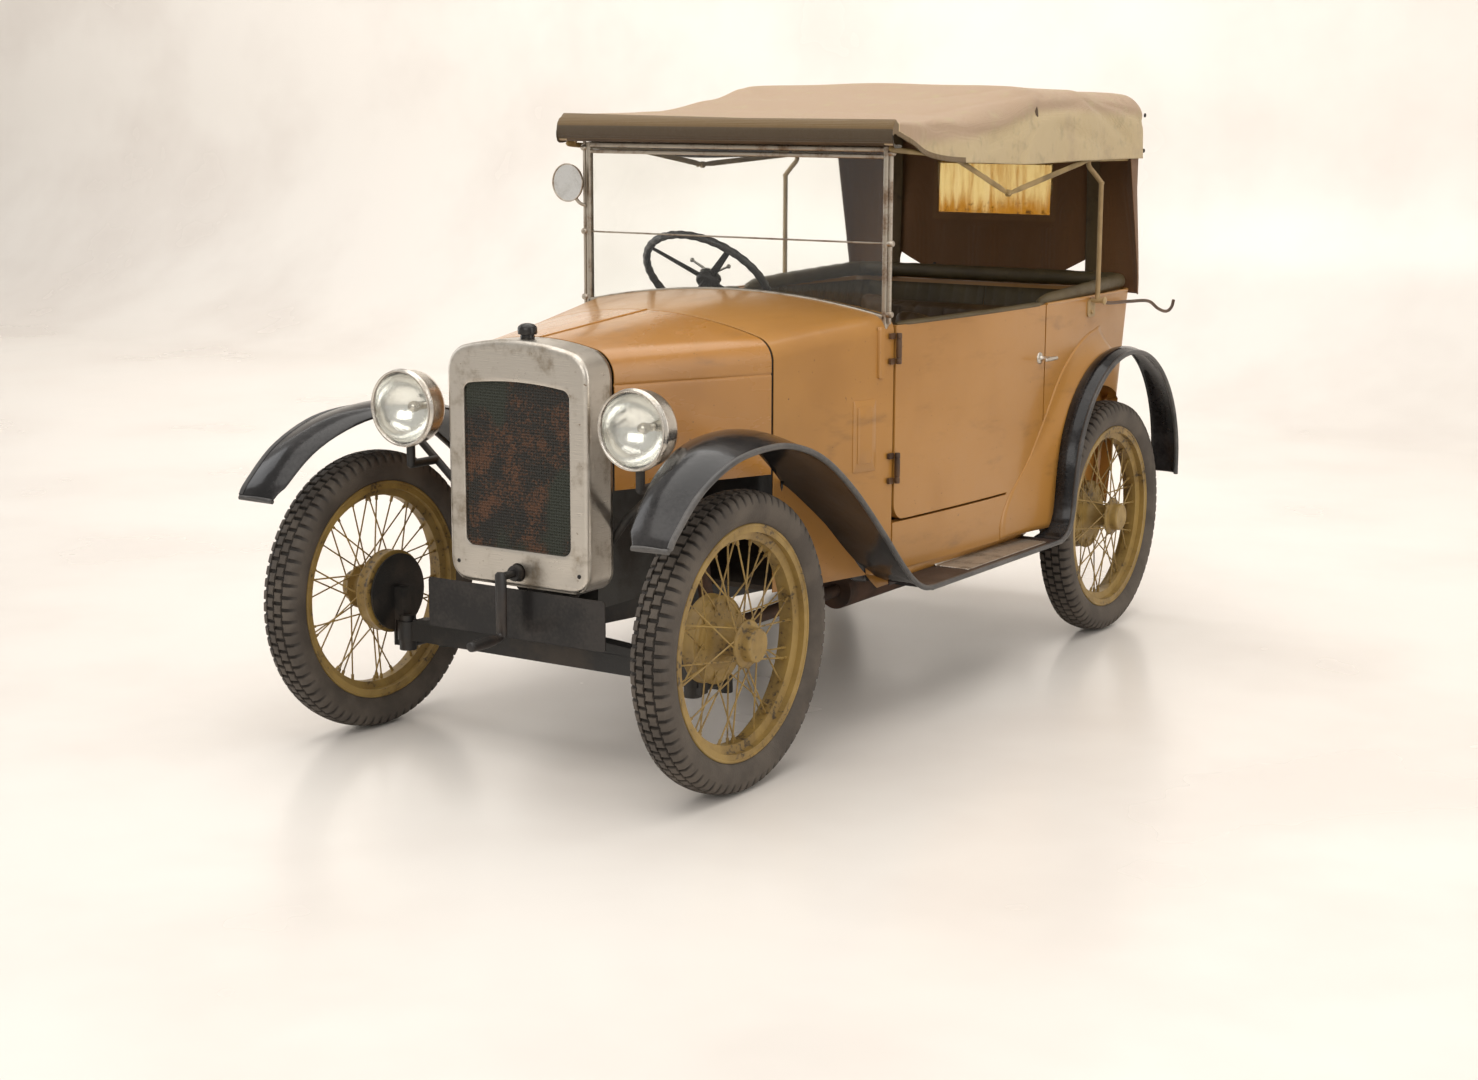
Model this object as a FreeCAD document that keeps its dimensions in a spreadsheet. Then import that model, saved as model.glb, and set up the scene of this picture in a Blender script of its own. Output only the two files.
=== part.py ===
import FreeCAD, Part
import math
import os
from FreeCAD import Placement, Rotation, Vector

# A small open four-seat touring car of the 1920s, in millimetres.
# It faces -Y, +X is its left-hand side and +Z is up. Every form is drawn with y counted from the
# front axle, and each sub-part is then placed so that the origin is under the middle of the car.

doc = FreeCAD.newDocument("TouringCar")

# Driving sizes
SIZES = {
    # overall
    "wheelbase": 1905, "track": 1016, "front_overhang": 345, "rear_overhang": 2390,
    "running_gap": 0.3, "panel_gap": 5.3, "sheet": 3,
    # road wheels
    "tyre_radius": 328, "tyre_width": 92, "bead_radius": 243, "rim_radius": 256, "rim_width": 66,
    "well_radius": 222, "rim_sheet": 4, "hub_radius": 30, "hub_flange_radius": 52, "hub_length": 84,
    "hub_cap_radius": 36, "hub_cap_face": 67, "spoke_width": 3.6, "spoke_count": 20,
    "drum_radius": 96, "drum_depth": 34, "drum_face": 34, "drum_wall": 6,
    "spindle_radius": 14, "backplate_radius": 90, "backplate_sheet": 4, "backplate_gap": 5,
    # front axle and steering
    "kingpin_offset": 405, "kingpin_radius": 9, "kingpin_height": 96, "axle_drop": 88, "beam_height": 44,
    "beam_depth": 24, "eye_radius": 24, "steering_arm": 130, "arm_radius": 9, "arm_drop": 36,
    "rod_radius": 8, "rod_eye": 15, "radius_arm": 11, "ball_behind": 560, "ball_radius": 24,
    "steering_wheel_radius": 187, "steering_rim": 11, "steering_wheel_x": -232, "steering_wheel_y": 1003,
    "steering_wheel_z": 1010, "column_rake": 45, "column_length": 860, "column_radius": 16, "boss_radius": 32,
    "boss_height": 26, "steering_spokes": 4, "steering_spoke_radius": 5,
    # chassis frame, springs and rear axle
    "frame_bottom": 294, "frame_height": 44, "frame_nose": 62, "frame_tail": 352, "frame_rail": 36,
    "frame_end": 1440, "cross_member": 60, "spring_width": 38, "spring_leaf": 7, "spring_leaves": 4,
    "front_spring_half": 372, "rear_spring_x": 300, "rear_spring_start": 1330, "rear_tube": 30,
    "differential": 96, "torque_tube": 26, "torque_tube_front": 965,
    # engine, gearbox and exhaust
    "engine_front": 62, "engine_rear": 396, "engine_half_width": 105, "engine_bottom": 338.3,
    "engine_top": 742, "gearbox_rear": 930, "gearbox_half_width": 92, "gearbox_top": 470,
    "pipe_radius": 17, "exhaust_x": 178, "exhaust_z": 230, "silencer_radius": 48, "silencer_front": 980,
    "silencer_length": 420, "tail_pipe_end": 2130, "manifold_z": 600,
    # radiator
    "radiator_front": -90, "radiator_half_width": 194, "radiator_top": 950, "radiator_bottom": 402,
    "radiator_arch": 620, "radiator_corner": 62, "radiator_base_corner": 48, "radiator_wall": 4,
    "grille_half_width": 145, "grille_bottom": 487, "grille_top": 858, "grille_arch": 900,
    "grille_corner": 20, "surround": 10, "core_front": 8, "crank_height": 437, "crank_hole": 19,
    "cap_radius": 21, "cap_height": 24, "neck_radius": 15, "neck_height": 10, "edge_round": 12,
    # bonnet and scuttle
    "bonnet_sheet": 4, "bonnet_sill": 625, "hinge_rod": 2.7, "hinge_clear": 3, "cowl_front": 400,
    "cowl_half_width": 355, "cowl_top": 985, "cowl_arch": 1100, "cowl_corner": 58,
    "cowl_rear": 785, "screen_half_width": 452, "screen_base": 1013, "screen_arch": 2260, "screen_corner": 48,
    "dash_y": 748, "dash_bottom": 800, "dash_sheet": 14, "bulkhead_sheet": 6,
    # body tub
    "body_bottom": 347, "waist_front": 945, "waist_rear": 955, "body_half_width": 497, "widest_share": 0.5385,
    "body_bow": 7.4e-5, "body_wall": 28, "tail_top": 2187, "tail_lean": 0.233, "tail_corner": 70,
    "tail_split": 395, "floor_sheet": 12, "kick_up": 1630, "rear_floor": 474,
    "arch_radius": 368, "arch_sheet": 6, "wheelhouse_x": 420,
    # doors
    "door_front": 790, "door_rear": 1530, "door_bottom": 470, "door_corner": 40, "door_knee_z": 635,
    "door_toe_y": 1335, "door_knee_bow": 22, "hinge_low": 600, "hinge_high": 890, "hinge_barrel": 7,
    "hinge_length": 46, "hinge_stand_off": 8, "handle_setback": 30, "handle_drop": 135,
    "handle_length": 74, "handle_radius": 6, "handle_stand_off": 34,
    # windscreen
    "windscreen_y": 766, "windscreen_half_width": 445, "windscreen_top": 1367, "upper_pane": 227,
    "windscreen_bar": 15, "windscreen_depth": 18, "glass_sheet": 5, "windscreen_foot": 935,
    # wings and running boards
    "rear_wing_width": 91, "wing_sheet": 4, "wing_lip": 14, "wing_crown": 12, "front_wing_inner": 350,
    "front_wing_radius": 427, "front_wing_crest": 20, "front_wing_back_radius": 560,
    "front_wing_slope": 41, "wing_foot_radius": 110, "wing_tip_inner": 465, "front_wing_waist": 400,
    "bonnet_side_room": 378,
    "rear_wing_radius": 355, "rear_wing_y": 1925, "rear_wing_z": 445, "rear_wing_start": 10,
    "rear_wing_tail": 415, "board_top": 327, "board_sheet": 12, "board_inner": 462,
    "board_iron_front": 830, "board_iron_rear": 1330, "board_iron": 12,
    "wing_stay_radius": 9, "wing_stay_y": 16,
    # lamps and plates
    "lamp_x": 319, "lamp_y": -106, "lamp_z": 779, "lamp_radius": 89, "lamp_depth": 90, "lamp_dome": 42,
    "lamp_rim": 10,
    "lamp_stem": 10, "lamp_foot_z": 628, "lens_radius": 80, "lens_sheet": 4,
    "plate_half_width": 247, "plate_bottom": 290, "plate_height": 112, "plate_sheet": 3, "plate_y": -104,
    "plate_corner": 8, "strap_spread": 150, "strap_width": 30,
    "rear_plate_x": -420, "rear_plate_half": 105, "rear_plate_bottom": 560, "rear_plate_height": 140,
    # starting handle and mirror
    "crank_radius": 9, "crank_throw": 137, "crank_arm_y": -150, "crank_grip": 110, "grip_radius": 12,
    "mirror_x": -485, "mirror_z": 1263, "mirror_radius": 49, "mirror_depth": 14, "mirror_arm": 5,
    # hood
    "hood_half_width": 490, "hood_sheet": 6, "hood_front": 700, "hood_front_z": 1399, "hood_bow_y": 1480,
    "hood_bow_z": 1528, "hood_top_rear": 2100, "hood_top_z": 1520, "hood_shoulder_y": 2188,
    "hood_shoulder_z": 1495, "hood_back_y": 2210, "valance_z": 1320, "valance_y": 1000, "hood_edge": 40,
    "hood_window_half": 187, "hood_window_low": 1159, "hood_window_high": 1305, "hood_window_sheet": 3,
    "iron_x": 512, "iron_y": 1830, "iron_foot_z": 950, "iron_radius": 7, "bow_radius": 9, "rest_tip_z": 896,
    "rest_low_z": 880, "rest_start_z": 932, "hood_bow_two_y": 1785, "link_knee_y": 1334, "link_knee_z": 1248,
    "link_radius": 5, "link_front_y": 1005, "link_right_z": 1303,
    # seats
    "seat_width": 400, "seat_depth": 430, "seat_front": 1070, "seat_base": 470, "cushion": 120,
    "seat_back": 90, "seat_back_top": 935, "seat_gap": 40, "rear_seat_front": 1740, "rear_cushion_top": 640,
    "rear_back_top": 930, "rear_seat_depth": 300,
    # spare wheel
    "spare_y": 2248, "spare_z": 598, "carrier_radius": 26,
}

sheet = doc.addObject("Spreadsheet::Sheet", "Sizes")
for row, (alias, value) in enumerate(SIZES.items(), start=1):
    sheet.set(f"A{row}", alias)
    sheet.set(f"B{row}", repr(value))
    sheet.setAlias(f"B{row}", alias)
doc.recompute()


class Size:
    """Reads a driving size from the sheet by its name."""

    def __getattr__(self, alias):
        return float(sheet.get(alias))


s = Size()
FAR = 3 * s.wheelbase
AXLE_SHIFT = "(Sizes.front_overhang - Sizes.rear_overhang) / 2"
half_track = s.track / 2
widest = s.cowl_rear + s.widest_share * (s.tail_top - s.cowl_rear)
wing_outer = s.body_half_width + s.rear_wing_width
handle_y, handle_z = s.door_rear - s.handle_setback, s.waist_front - s.handle_drop
windscreen_split = s.windscreen_top - s.upper_pane

# Drawing helpers
TURN = {"plan": Rotation(), "side": Rotation(Vector(1, 1, 1), 120), "front": Rotation(Vector(1, 0, 0), 90)}
NORMAL = {"plan": Vector(0, 0, 1), "side": Vector(1, 0, 0), "front": Vector(0, 1, 0)}
ROLE = {"plan": "XY_Plane", "side": "YZ_Plane", "front": "XZ_Plane"}
ALONG = {"X": Rotation(Vector(0, 1, 0), 90), "Y": Rotation(Vector(1, 0, 0), -90), "Z": Rotation()}
pieces = []


def flat(point):
    return Vector(point[0], point[1], 0)


def outline(start, *steps):
    """Curves from start through the steps: a point is a straight run, (mid, end) an arc."""
    curves = []
    here = start
    for step in steps:
        if isinstance(step[0], tuple):
            middle, end = step
            curves.append(Part.Arc(flat(here), flat(middle), flat(end)))
        else:
            end = step
            curves.append(Part.LineSegment(flat(here), flat(end)))
        here = end
    return curves


def polygon(*points):
    return outline(points[0], *points[1:], points[0])


def rectangle(low_u, low_v, high_u, high_v):
    return polygon((low_u, low_v), (high_u, low_v), (high_u, high_v), (low_u, high_v))


def corner_middle(centre, start, end):
    """The middle of a quarter-round corner whose centre and ends are given."""
    share = math.sqrt(0.5)
    return (centre[0] + share * (start[0] + end[0] - 2 * centre[0]),
            centre[1] + share * (start[1] + end[1] - 2 * centre[1]))


def rounded(low_u, low_v, high_u, high_v, radius):
    """A rectangle with round corners."""
    steps = []
    corners = [((high_u - radius, low_v + radius), (0, -1), (1, 0)),
               ((high_u - radius, high_v - radius), (1, 0), (0, 1)),
               ((low_u + radius, high_v - radius), (0, 1), (-1, 0)),
               ((low_u + radius, low_v + radius), (-1, 0), (0, -1))]
    for centre, first, last in corners:
        start = (centre[0] + radius * first[0], centre[1] + radius * first[1])
        end = (centre[0] + radius * last[0], centre[1] + radius * last[1])
        steps += [start, (corner_middle(centre, start, end), end)]
    return outline(steps[-1][1], *steps)


def placed_wire(curves, plane, level):
    wire = Part.Wire([curve.toShape() for curve in curves])
    wire.Placement = Placement(NORMAL[plane] * level, TURN[plane])
    return wire


def slab(curves, plane, low, high):
    """A closed outline pushed square to its plane, from one level to another."""
    return Part.Face(placed_wire(curves, plane, low)).extrude(NORMAL[plane] * (high - low))


def block(low, high):
    return Part.makeBox(high[0] - low[0], high[1] - low[1], high[2] - low[2], Vector(*low))


def turned_about_x(curves):
    face = Part.Face(Part.Wire([curve.toShape() for curve in curves]))
    return face.revolve(Vector(), Vector(1, 0, 0), 360)


def rod(start, end, radius):
    start, end = Vector(*start), Vector(*end)
    return Part.makeCylinder(radius, (end - start).Length, start, end - start)


def bent_rod(points, radius):
    """A round bar through the points, with a ball at each bend."""
    bar = rod(points[0], points[1], radius)
    for start, end in zip(points[1:], points[2:]):
        bar = bar.fuse(rod(start, end, radius)).fuse(Part.makeSphere(radius, Vector(*start)))
    return bar


def joined(shapes):
    return shapes[0].multiFuse(shapes[1:]).removeSplitter()


def mirrored(shape):
    return shape.mirror(Vector(), Vector(1, 0, 0))


def both_sides(shape):
    return Part.makeCompound([shape, mirrored(shape)])


def tie(obj, **formulas):
    """Binds properties to formulas of the driving sizes; a double underscore stands for a dot."""
    for name, formula in formulas.items():
        obj.setExpression(name.replace("__", "."), formula)
    return obj


def sub_part(obj, label):
    """Names a finished sub-part and sets it down in the car's own frame."""
    obj.Label = label
    pieces.append(tie(obj, Placement__Base__y=AXLE_SHIFT))
    return obj


def feature(label, shape):
    obj = doc.addObject("Part::Feature", label)
    obj.Shape = shape if shape.Placement.isIdentity() else Part.makeCompound([shape])
    return sub_part(obj, label)


def pair(label, left_shape):
    """The left-hand sub-part and its mirror image on the right."""
    feature(label + "_left", left_shape)
    feature(label + "_right", mirrored(left_shape))


def new_body(label):
    body = doc.addObject("PartDesign::Body", label)
    return body


def sketch_on(body, plane, curves, level="0"):
    """A sketch on one of the body's origin planes, moved along the plane's normal."""
    sketch = body.newObject("Sketcher::SketchObject", body.Name + "Sketch")
    origin_plane = [item for item in body.Origin.OriginFeatures if item.Role == ROLE[plane]][0]
    sketch.AttachmentSupport = [(origin_plane, "")]
    sketch.MapMode = "FlatFace"
    sketch.setExpression("AttachmentOffset.Base.z", level)
    sketch.addGeometry(curves, False)
    return sketch


def pad(body, sketch, length, both_ways=False):
    grown = body.newObject("PartDesign::Pad", body.Name + "Pad")
    grown.Profile = sketch
    grown.Midplane = both_ways
    tie(grown, Length=length)
    return grown


def pocket(body, sketch, length, both_ways=False):
    hollow = body.newObject("PartDesign::Pocket", body.Name + "Pocket")
    hollow.Profile = sketch
    hollow.Midplane = both_ways
    tie(hollow, Length=length)
    return hollow


# Body curves
def half_width(y):
    """Half of the body's width at the waist: a shallow bow, widest beside the seats."""
    return s.body_half_width - s.body_bow * (y - widest) ** 2


def tail_y(z):
    """The back panel leans: it lies further forward the lower it is."""
    return s.tail_top - s.tail_lean * (s.waist_rear - z)


def arched_top(half, crown, arch, corner):
    """An arched top between round corners that run smoothly into the arch and the upright sides.

    Returns the height where the side ends, and steps from there over the top to the other side."""
    arch_z = crown - arch
    corner_x = half - corner
    corner_z = arch_z + math.sqrt((arch - corner) ** 2 - corner_x ** 2)
    lean = math.atan2(corner_z - arch_z, corner_x)
    meet = (arch * math.cos(lean), arch_z + arch * math.sin(lean))
    turn = (corner_x + corner * math.cos(lean / 2), corner_z + corner * math.sin(lean / 2))
    steps = [((-turn[0], turn[1]), (-meet[0], meet[1])), ((0, crown), meet), (turn, (half, corner_z))]
    return corner_z, steps


def hoop(y, half, crown, arch, corner, inset):
    """One section of bonnet or scuttle: upright sides, round shoulders and an arched top."""
    half, base = half - inset, s.body_bottom - abs(inset)
    side_top, steps = arched_top(half, crown - inset, arch - inset, corner - inset)
    curves = outline((-half, base), (-half, side_top), *steps, (half, base), (-half, base))
    return placed_wire(curves, "front", y)


def radiator_hoop(y, inset=0):
    return hoop(y, s.radiator_half_width, s.radiator_top, s.radiator_arch, s.radiator_corner, inset)


def cowl_hoop(y, inset=0):
    return hoop(y, s.cowl_half_width, s.cowl_top, s.cowl_arch, s.cowl_corner, inset)


def screen_hoop(y, inset=0):
    return hoop(y, s.screen_half_width, s.screen_base, s.screen_arch, s.screen_corner, inset)


def plan_ring(z, inset):
    """The tub's plan at one height, with round rear corners."""
    rear = tail_y(z) - inset
    corner = s.tail_corner - inset / 2
    front, middle, bend = s.cowl_rear, (s.cowl_rear + rear) / 2, rear - corner
    wide = half_width(bend) - inset
    share = 1 - math.sqrt(0.5)
    curves = outline((-half_width(front) + inset, front),
                     ((-half_width(middle) + inset, middle), (-wide, bend)),
                     ((-wide + share * corner, rear - share * corner), (-wide + corner, rear)),
                     (wide - corner, rear),
                     ((wide - share * corner, rear - share * corner), (wide, bend)),
                     ((half_width(middle) - inset, middle), (half_width(front) - inset, front)),
                     (-half_width(front) + inset, front))
    return placed_wire(curves, "plan", z)


def tub(inset):
    """The whole body tub behind the scuttle as one solid, its walls moved in by inset."""
    return Part.makeLoft([plan_ring(s.body_bottom, inset), plan_ring(s.waist_rear, inset)], True, True)


# Chassis frame: two rails that spread from the nose to the rear springs, with cross-members
def rail_edge(y, outward):
    share = y / s.frame_end
    return s.frame_nose + (s.frame_tail - s.frame_nose) * share + outward


def bay(front, rear):
    """The open bay between two cross-members."""
    return polygon((-rail_edge(front, -s.frame_rail), front), (rail_edge(front, -s.frame_rail), front),
                   (rail_edge(rear, -s.frame_rail), rear), (-rail_edge(rear, -s.frame_rail), rear))


def chassis_frame():
    nose = -s.cross_member / 2
    body = new_body("chassis_rails")
    plan = polygon((-rail_edge(nose, 0), nose), (rail_edge(nose, 0), nose),
                   (rail_edge(s.frame_end, 0), s.frame_end), (-rail_edge(s.frame_end, 0), s.frame_end))
    pad(body, sketch_on(body, "plan", plan, "Sizes.frame_bottom"), "Sizes.frame_height")
    stations = [-nose, s.ball_behind, s.ball_behind + s.cross_member, s.frame_end - s.cross_member]
    bays = bay(stations[0], stations[1]) + bay(stations[2], stations[3])
    pocket(body, sketch_on(body, "plan", bays, "Sizes.frame_bottom"), "4 * Sizes.frame_height", True)
    doc.recompute()
    irons = []
    for y in (s.board_iron_front, s.board_iron_rear):
        start = rail_edge(y, -s.frame_rail / 2)
        top = s.board_top - s.board_sheet
        reach = wing_outer - s.rear_wing_width / 2
        irons.append(block((start, y, top - s.board_iron), (reach, y + s.frame_rail, top)))
    hanger = block((s.rear_spring_x - s.spring_width / 2, s.rear_spring_start, s.frame_bottom - s.spring_leaf),
                   (s.rear_spring_x + s.spring_width / 2, s.frame_end, s.frame_bottom))
    frame = body.Shape.multiFuse([shape for iron in irons for shape in (iron, mirrored(iron))]
                                 + [hanger, mirrored(hanger)])
    half = s.torque_tube + 2 * s.panel_gap
    notch = block((-half, s.frame_end - 2 * s.cross_member, s.tyre_radius - half + s.panel_gap), (half, FAR, FAR))
    return feature("chassis_frame", frame.removeSplitter().cut(notch))


chassis_frame()


# Front axle: a beam with upright eyes, radius arms to a ball on the cross-member
def front_axle():
    beam_z = s.tyre_radius - s.axle_drop
    low, high = beam_z - s.beam_height / 2, beam_z + s.beam_height / 2
    beam = block((-s.kingpin_offset, -s.beam_depth / 2, low), (s.kingpin_offset, s.beam_depth / 2, high))
    parts = [beam]
    for side in (1, -1):
        parts.append(rod((side * s.kingpin_offset, 0, low), (side * s.kingpin_offset, 0, high), s.eye_radius))
        reach = s.front_spring_half - s.eye_radius
        parts.append(rod((side * reach, 0, beam_z), (side * s.ball_radius / 2, s.ball_behind - s.ball_radius,
                                                    s.frame_bottom - s.ball_radius), s.radius_arm))
    ball = (0, s.ball_behind + s.cross_member / 4, s.frame_bottom - s.ball_radius)
    parts.append(Part.makeSphere(s.ball_radius, Vector(*ball)))
    parts.append(rod((0, s.ball_behind - 2 * s.ball_radius, ball[2]), ball, s.radius_arm))
    axle = joined(parts)
    for side in (1, -1):
        axle = axle.cut(rod((side * s.kingpin_offset, 0, 0), (side * s.kingpin_offset, 0, s.tyre_radius),
                            s.kingpin_radius + s.running_gap))
    return feature("front_axle", axle)


front_axle()


# Springs: one across the nose, and a quarter-elliptic one under each rail's end
def springs():
    leaf, depth, pack = s.spring_leaf, s.spring_width, s.spring_leaf * s.spring_leaves
    across, crown = s.front_spring_half, s.frame_bottom
    tip = s.tyre_radius - s.axle_drop + s.beam_height / 2 + leaf + s.running_gap
    front = slab(outline((-across, tip), ((0, crown), (across, tip)), (across, tip - leaf),
                         ((0, crown - pack), (-across, tip - leaf)), (-across, tip)), "front", -depth / 2, depth / 2)
    start, end, clamp = s.rear_spring_start, s.wheelbase, s.frame_end
    root, foot = s.frame_bottom - leaf, s.tyre_radius - s.rear_tube
    middle, middle_z = (clamp + end) / 2, root + (foot - root) / 4
    rear = slab(outline((start, root), (clamp, root), ((middle, middle_z), (end, foot)), (end, foot - leaf),
                        ((middle, middle_z - (pack + leaf) / 2), (clamp, root - pack)), (start, root - pack),
                        (start, root)),
                "side", s.rear_spring_x - depth / 2, s.rear_spring_x + depth / 2)
    return feature("springs", Part.makeCompound([front, rear, mirrored(rear)]))


springs()


# Rear axle: a tube with the differential, a torque tube forward and the brake backplates
def rear_axle():
    inner = half_track - s.drum_face - s.drum_depth - s.backplate_gap
    end, plate = half_track + s.hub_length / 2, inner - s.backplate_sheet
    bulge = s.differential
    half = [(inner, s.spindle_radius), (inner, s.backplate_radius), (plate, s.backplate_radius), (plate, s.rear_tube),
            (bulge, s.rear_tube)]
    near = [(-x, radius) for x, radius in reversed(half)]
    profile = outline((-end, 0), (end, 0), (end, s.spindle_radius), *half, ((0, bulge), near[0]), *near[1:],
                      (-end, s.spindle_radius), (-end, 0))
    axle = turned_about_x(profile)
    axle.translate(Vector(0, s.wheelbase, s.tyre_radius))
    centre = Vector(0, s.wheelbase, s.tyre_radius)
    tube_start = Vector(0, s.torque_tube_front, s.engine_bottom + s.torque_tube)
    line = (centre - tube_start).normalize()
    bell = 2.2 * bulge
    cone = Part.makeCone(s.torque_tube * 1.1, s.torque_tube * 2.2, bell * 0.75, centre - line * bell, line)
    tube = Part.makeCylinder(s.torque_tube, (centre - tube_start).Length - bell * 0.9, tube_start, line)
    return feature("rear_axle", joined([axle, cone, tube]))


rear_axle()


# Engine and gearbox: one closed mass under the bonnet and floor
def engine_block():
    low = s.engine_bottom
    engine = block((-s.engine_half_width, s.engine_front, low), (s.engine_half_width, s.engine_rear, s.engine_top))
    side = polygon((s.engine_rear, low), (s.gearbox_rear, low), (s.gearbox_rear, s.gearbox_top - 60),
                   (s.engine_rear + 60, s.gearbox_top + 60), (s.engine_rear, s.gearbox_top + 60))
    box = slab(side, "side", -s.gearbox_half_width, s.gearbox_half_width)
    return feature("engine_block", joined([engine, box]))


engine_block()


# Exhaust: down from the engine's side, a silencer under the floor and a tail pipe
def exhaust():
    x, z = s.exhaust_x, s.exhaust_z
    rear = s.silencer_front + s.silencer_length
    start_y = s.engine_rear - s.cross_member
    route = [(s.engine_half_width, start_y, s.manifold_z), (x, start_y, s.manifold_z),
             (x, s.engine_rear, z + s.frame_rail), (x, s.engine_rear + 2 * s.cross_member, z), (x, s.silencer_front, z)]
    pipe = bent_rod(route, s.pipe_radius)
    silencer = rod((x, s.silencer_front, z), (x, rear, z), s.silencer_radius)
    tail = rod((x, rear, z), (x, s.tail_pipe_end, z), s.pipe_radius * 0.8)
    return feature("exhaust", joined([pipe, silencer, tail]))


exhaust()


# Radiator: a bright shell with an arched opening, the core inside it and a filler cap
def arched_box(half, low, high, arch, corner, base_corner):
    """An upright outline with an arched top and four round corners."""
    side_top, steps = arched_top(half, high, arch, corner)
    share = (1 - math.sqrt(0.5)) * base_corner
    return outline((-half, low + base_corner), (-half, side_top), *steps, (half, low + base_corner),
                   ((half - share, low + share), (half - base_corner, low)), (-half + base_corner, low),
                   ((-half + share, low + share), (-half, low + base_corner)))


def radiator_outline(inset):
    return arched_box(s.radiator_half_width - inset, s.radiator_bottom + inset, s.radiator_top - inset,
                      s.radiator_arch - inset, s.radiator_corner - inset, s.radiator_base_corner - inset)


def grille_outline(inset=0):
    return arched_box(s.grille_half_width - inset, s.grille_bottom + inset, s.grille_top - inset,
                      s.grille_arch - inset, s.grille_corner - inset, s.grille_corner - inset)


def radiator_shell():
    body = new_body("radiator_shell")
    doc.recompute()
    box = pad(body, sketch_on(body, "front", radiator_outline(0)), "-Sizes.radiator_front")
    doc.recompute()
    front = [f"Edge{number}" for number, edge in enumerate(body.Shape.Edges, start=1)
             if edge.BoundBox.YMax < s.radiator_front + 1]
    rounding = body.newObject("PartDesign::Fillet", "ShellEdge")
    rounding.Base = (box, front)
    tie(rounding, Radius="Sizes.edge_round")
    pocket(body, sketch_on(body, "front", radiator_outline(s.radiator_wall)),
           "2 * (-Sizes.radiator_front - Sizes.surround)", True)
    pocket(body, sketch_on(body, "front", grille_outline()), "-4 * Sizes.radiator_front", True)
    hole = [Part.Circle(Vector(0, s.crank_height, 0), Vector(0, 0, 1), s.crank_hole)]
    pocket(body, sketch_on(body, "front", hole), "-4 * Sizes.radiator_front", True)
    return sub_part(body, "radiator_shell")


def radiator_core():
    inset = s.radiator_wall + s.running_gap
    front = s.radiator_front + s.surround
    core = slab(radiator_outline(inset), "front", front, -s.core_front)
    window = slab(grille_outline(s.running_gap), "front", s.radiator_front + s.surround / 2, front)
    tunnel = rod((0, 2 * s.radiator_front, s.crank_height), (0, s.core_front, s.crank_height), s.crank_hole)
    return feature("radiator_core", core.fuse(window).removeSplitter().cut(tunnel))


def radiator_cap():
    z = s.radiator_top
    neck_top = s.radiator_top + s.neck_height
    half_y = s.radiator_front / 2
    profile = polygon((0, s.radiator_top), (s.neck_radius, s.radiator_top), (s.neck_radius, neck_top),
                      (s.cap_radius, neck_top), (s.cap_radius, neck_top + s.cap_height * 0.7),
                      (s.cap_radius * 0.6, neck_top + s.cap_height), (0, neck_top + s.cap_height))
    turned = Part.Face(placed_wire(profile, "front", half_y)).revolve(Vector(0, half_y, z), Vector(0, 0, 1), 360)
    return feature("radiator_cap", turned)


radiator_shell()
radiator_core()
radiator_cap()


# Bonnet: two halves hinged on a rod along the top, and the scuttle behind them
bonnet_outer = Part.makeLoft([radiator_hoop(0), cowl_hoop(s.cowl_front)], True, True)
bonnet_inner = Part.makeLoft([radiator_hoop(0, s.bonnet_sheet), cowl_hoop(s.cowl_front, s.bonnet_sheet)], True, True)
scuttle_outer = Part.makeLoft([cowl_hoop(s.cowl_front), screen_hoop(s.cowl_rear)], True, True)
scuttle_inner = Part.makeLoft([cowl_hoop(s.cowl_front, s.body_wall), screen_hoop(s.cowl_rear, s.body_wall)],
                              True, True)


def bonnet_half():
    space = block((s.hinge_clear, s.panel_gap, s.bonnet_sill), (FAR, s.cowl_front - s.panel_gap, FAR))
    return bonnet_outer.cut(bonnet_inner).common(space)


def hinge_axis(side):
    return (side * (half_width(s.door_front) + s.hinge_stand_off), s.door_front)


def hinge_leaves(side):
    """The halves of the door hinges that the scuttle carries, above and below each door barrel."""
    x, y = hinge_axis(side)
    near, far = sorted((x, x - side * (s.hinge_stand_off + s.hinge_barrel)))
    leaves = []
    for z in (s.hinge_low, s.hinge_high):
        for step in (1, -1):
            inner = z + step * (s.hinge_length / 2 + s.running_gap)
            low, high = sorted((inner, inner + step * 2 * s.hinge_barrel))
            leaves.append(rod((x, y, low), (x, y, high), s.hinge_barrel))
            leaves.append(block((near, y - s.panel_gap - 15, low), (far, y - s.panel_gap, high)))
    return leaves


def steering_line():
    """The steering wheel's centre and the column's direction, up towards the driver."""
    rake = math.radians(s.column_rake)
    return (Vector(s.steering_wheel_x, s.steering_wheel_y, s.steering_wheel_z),
            Vector(0, math.cos(rake), math.sin(rake)))


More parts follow.
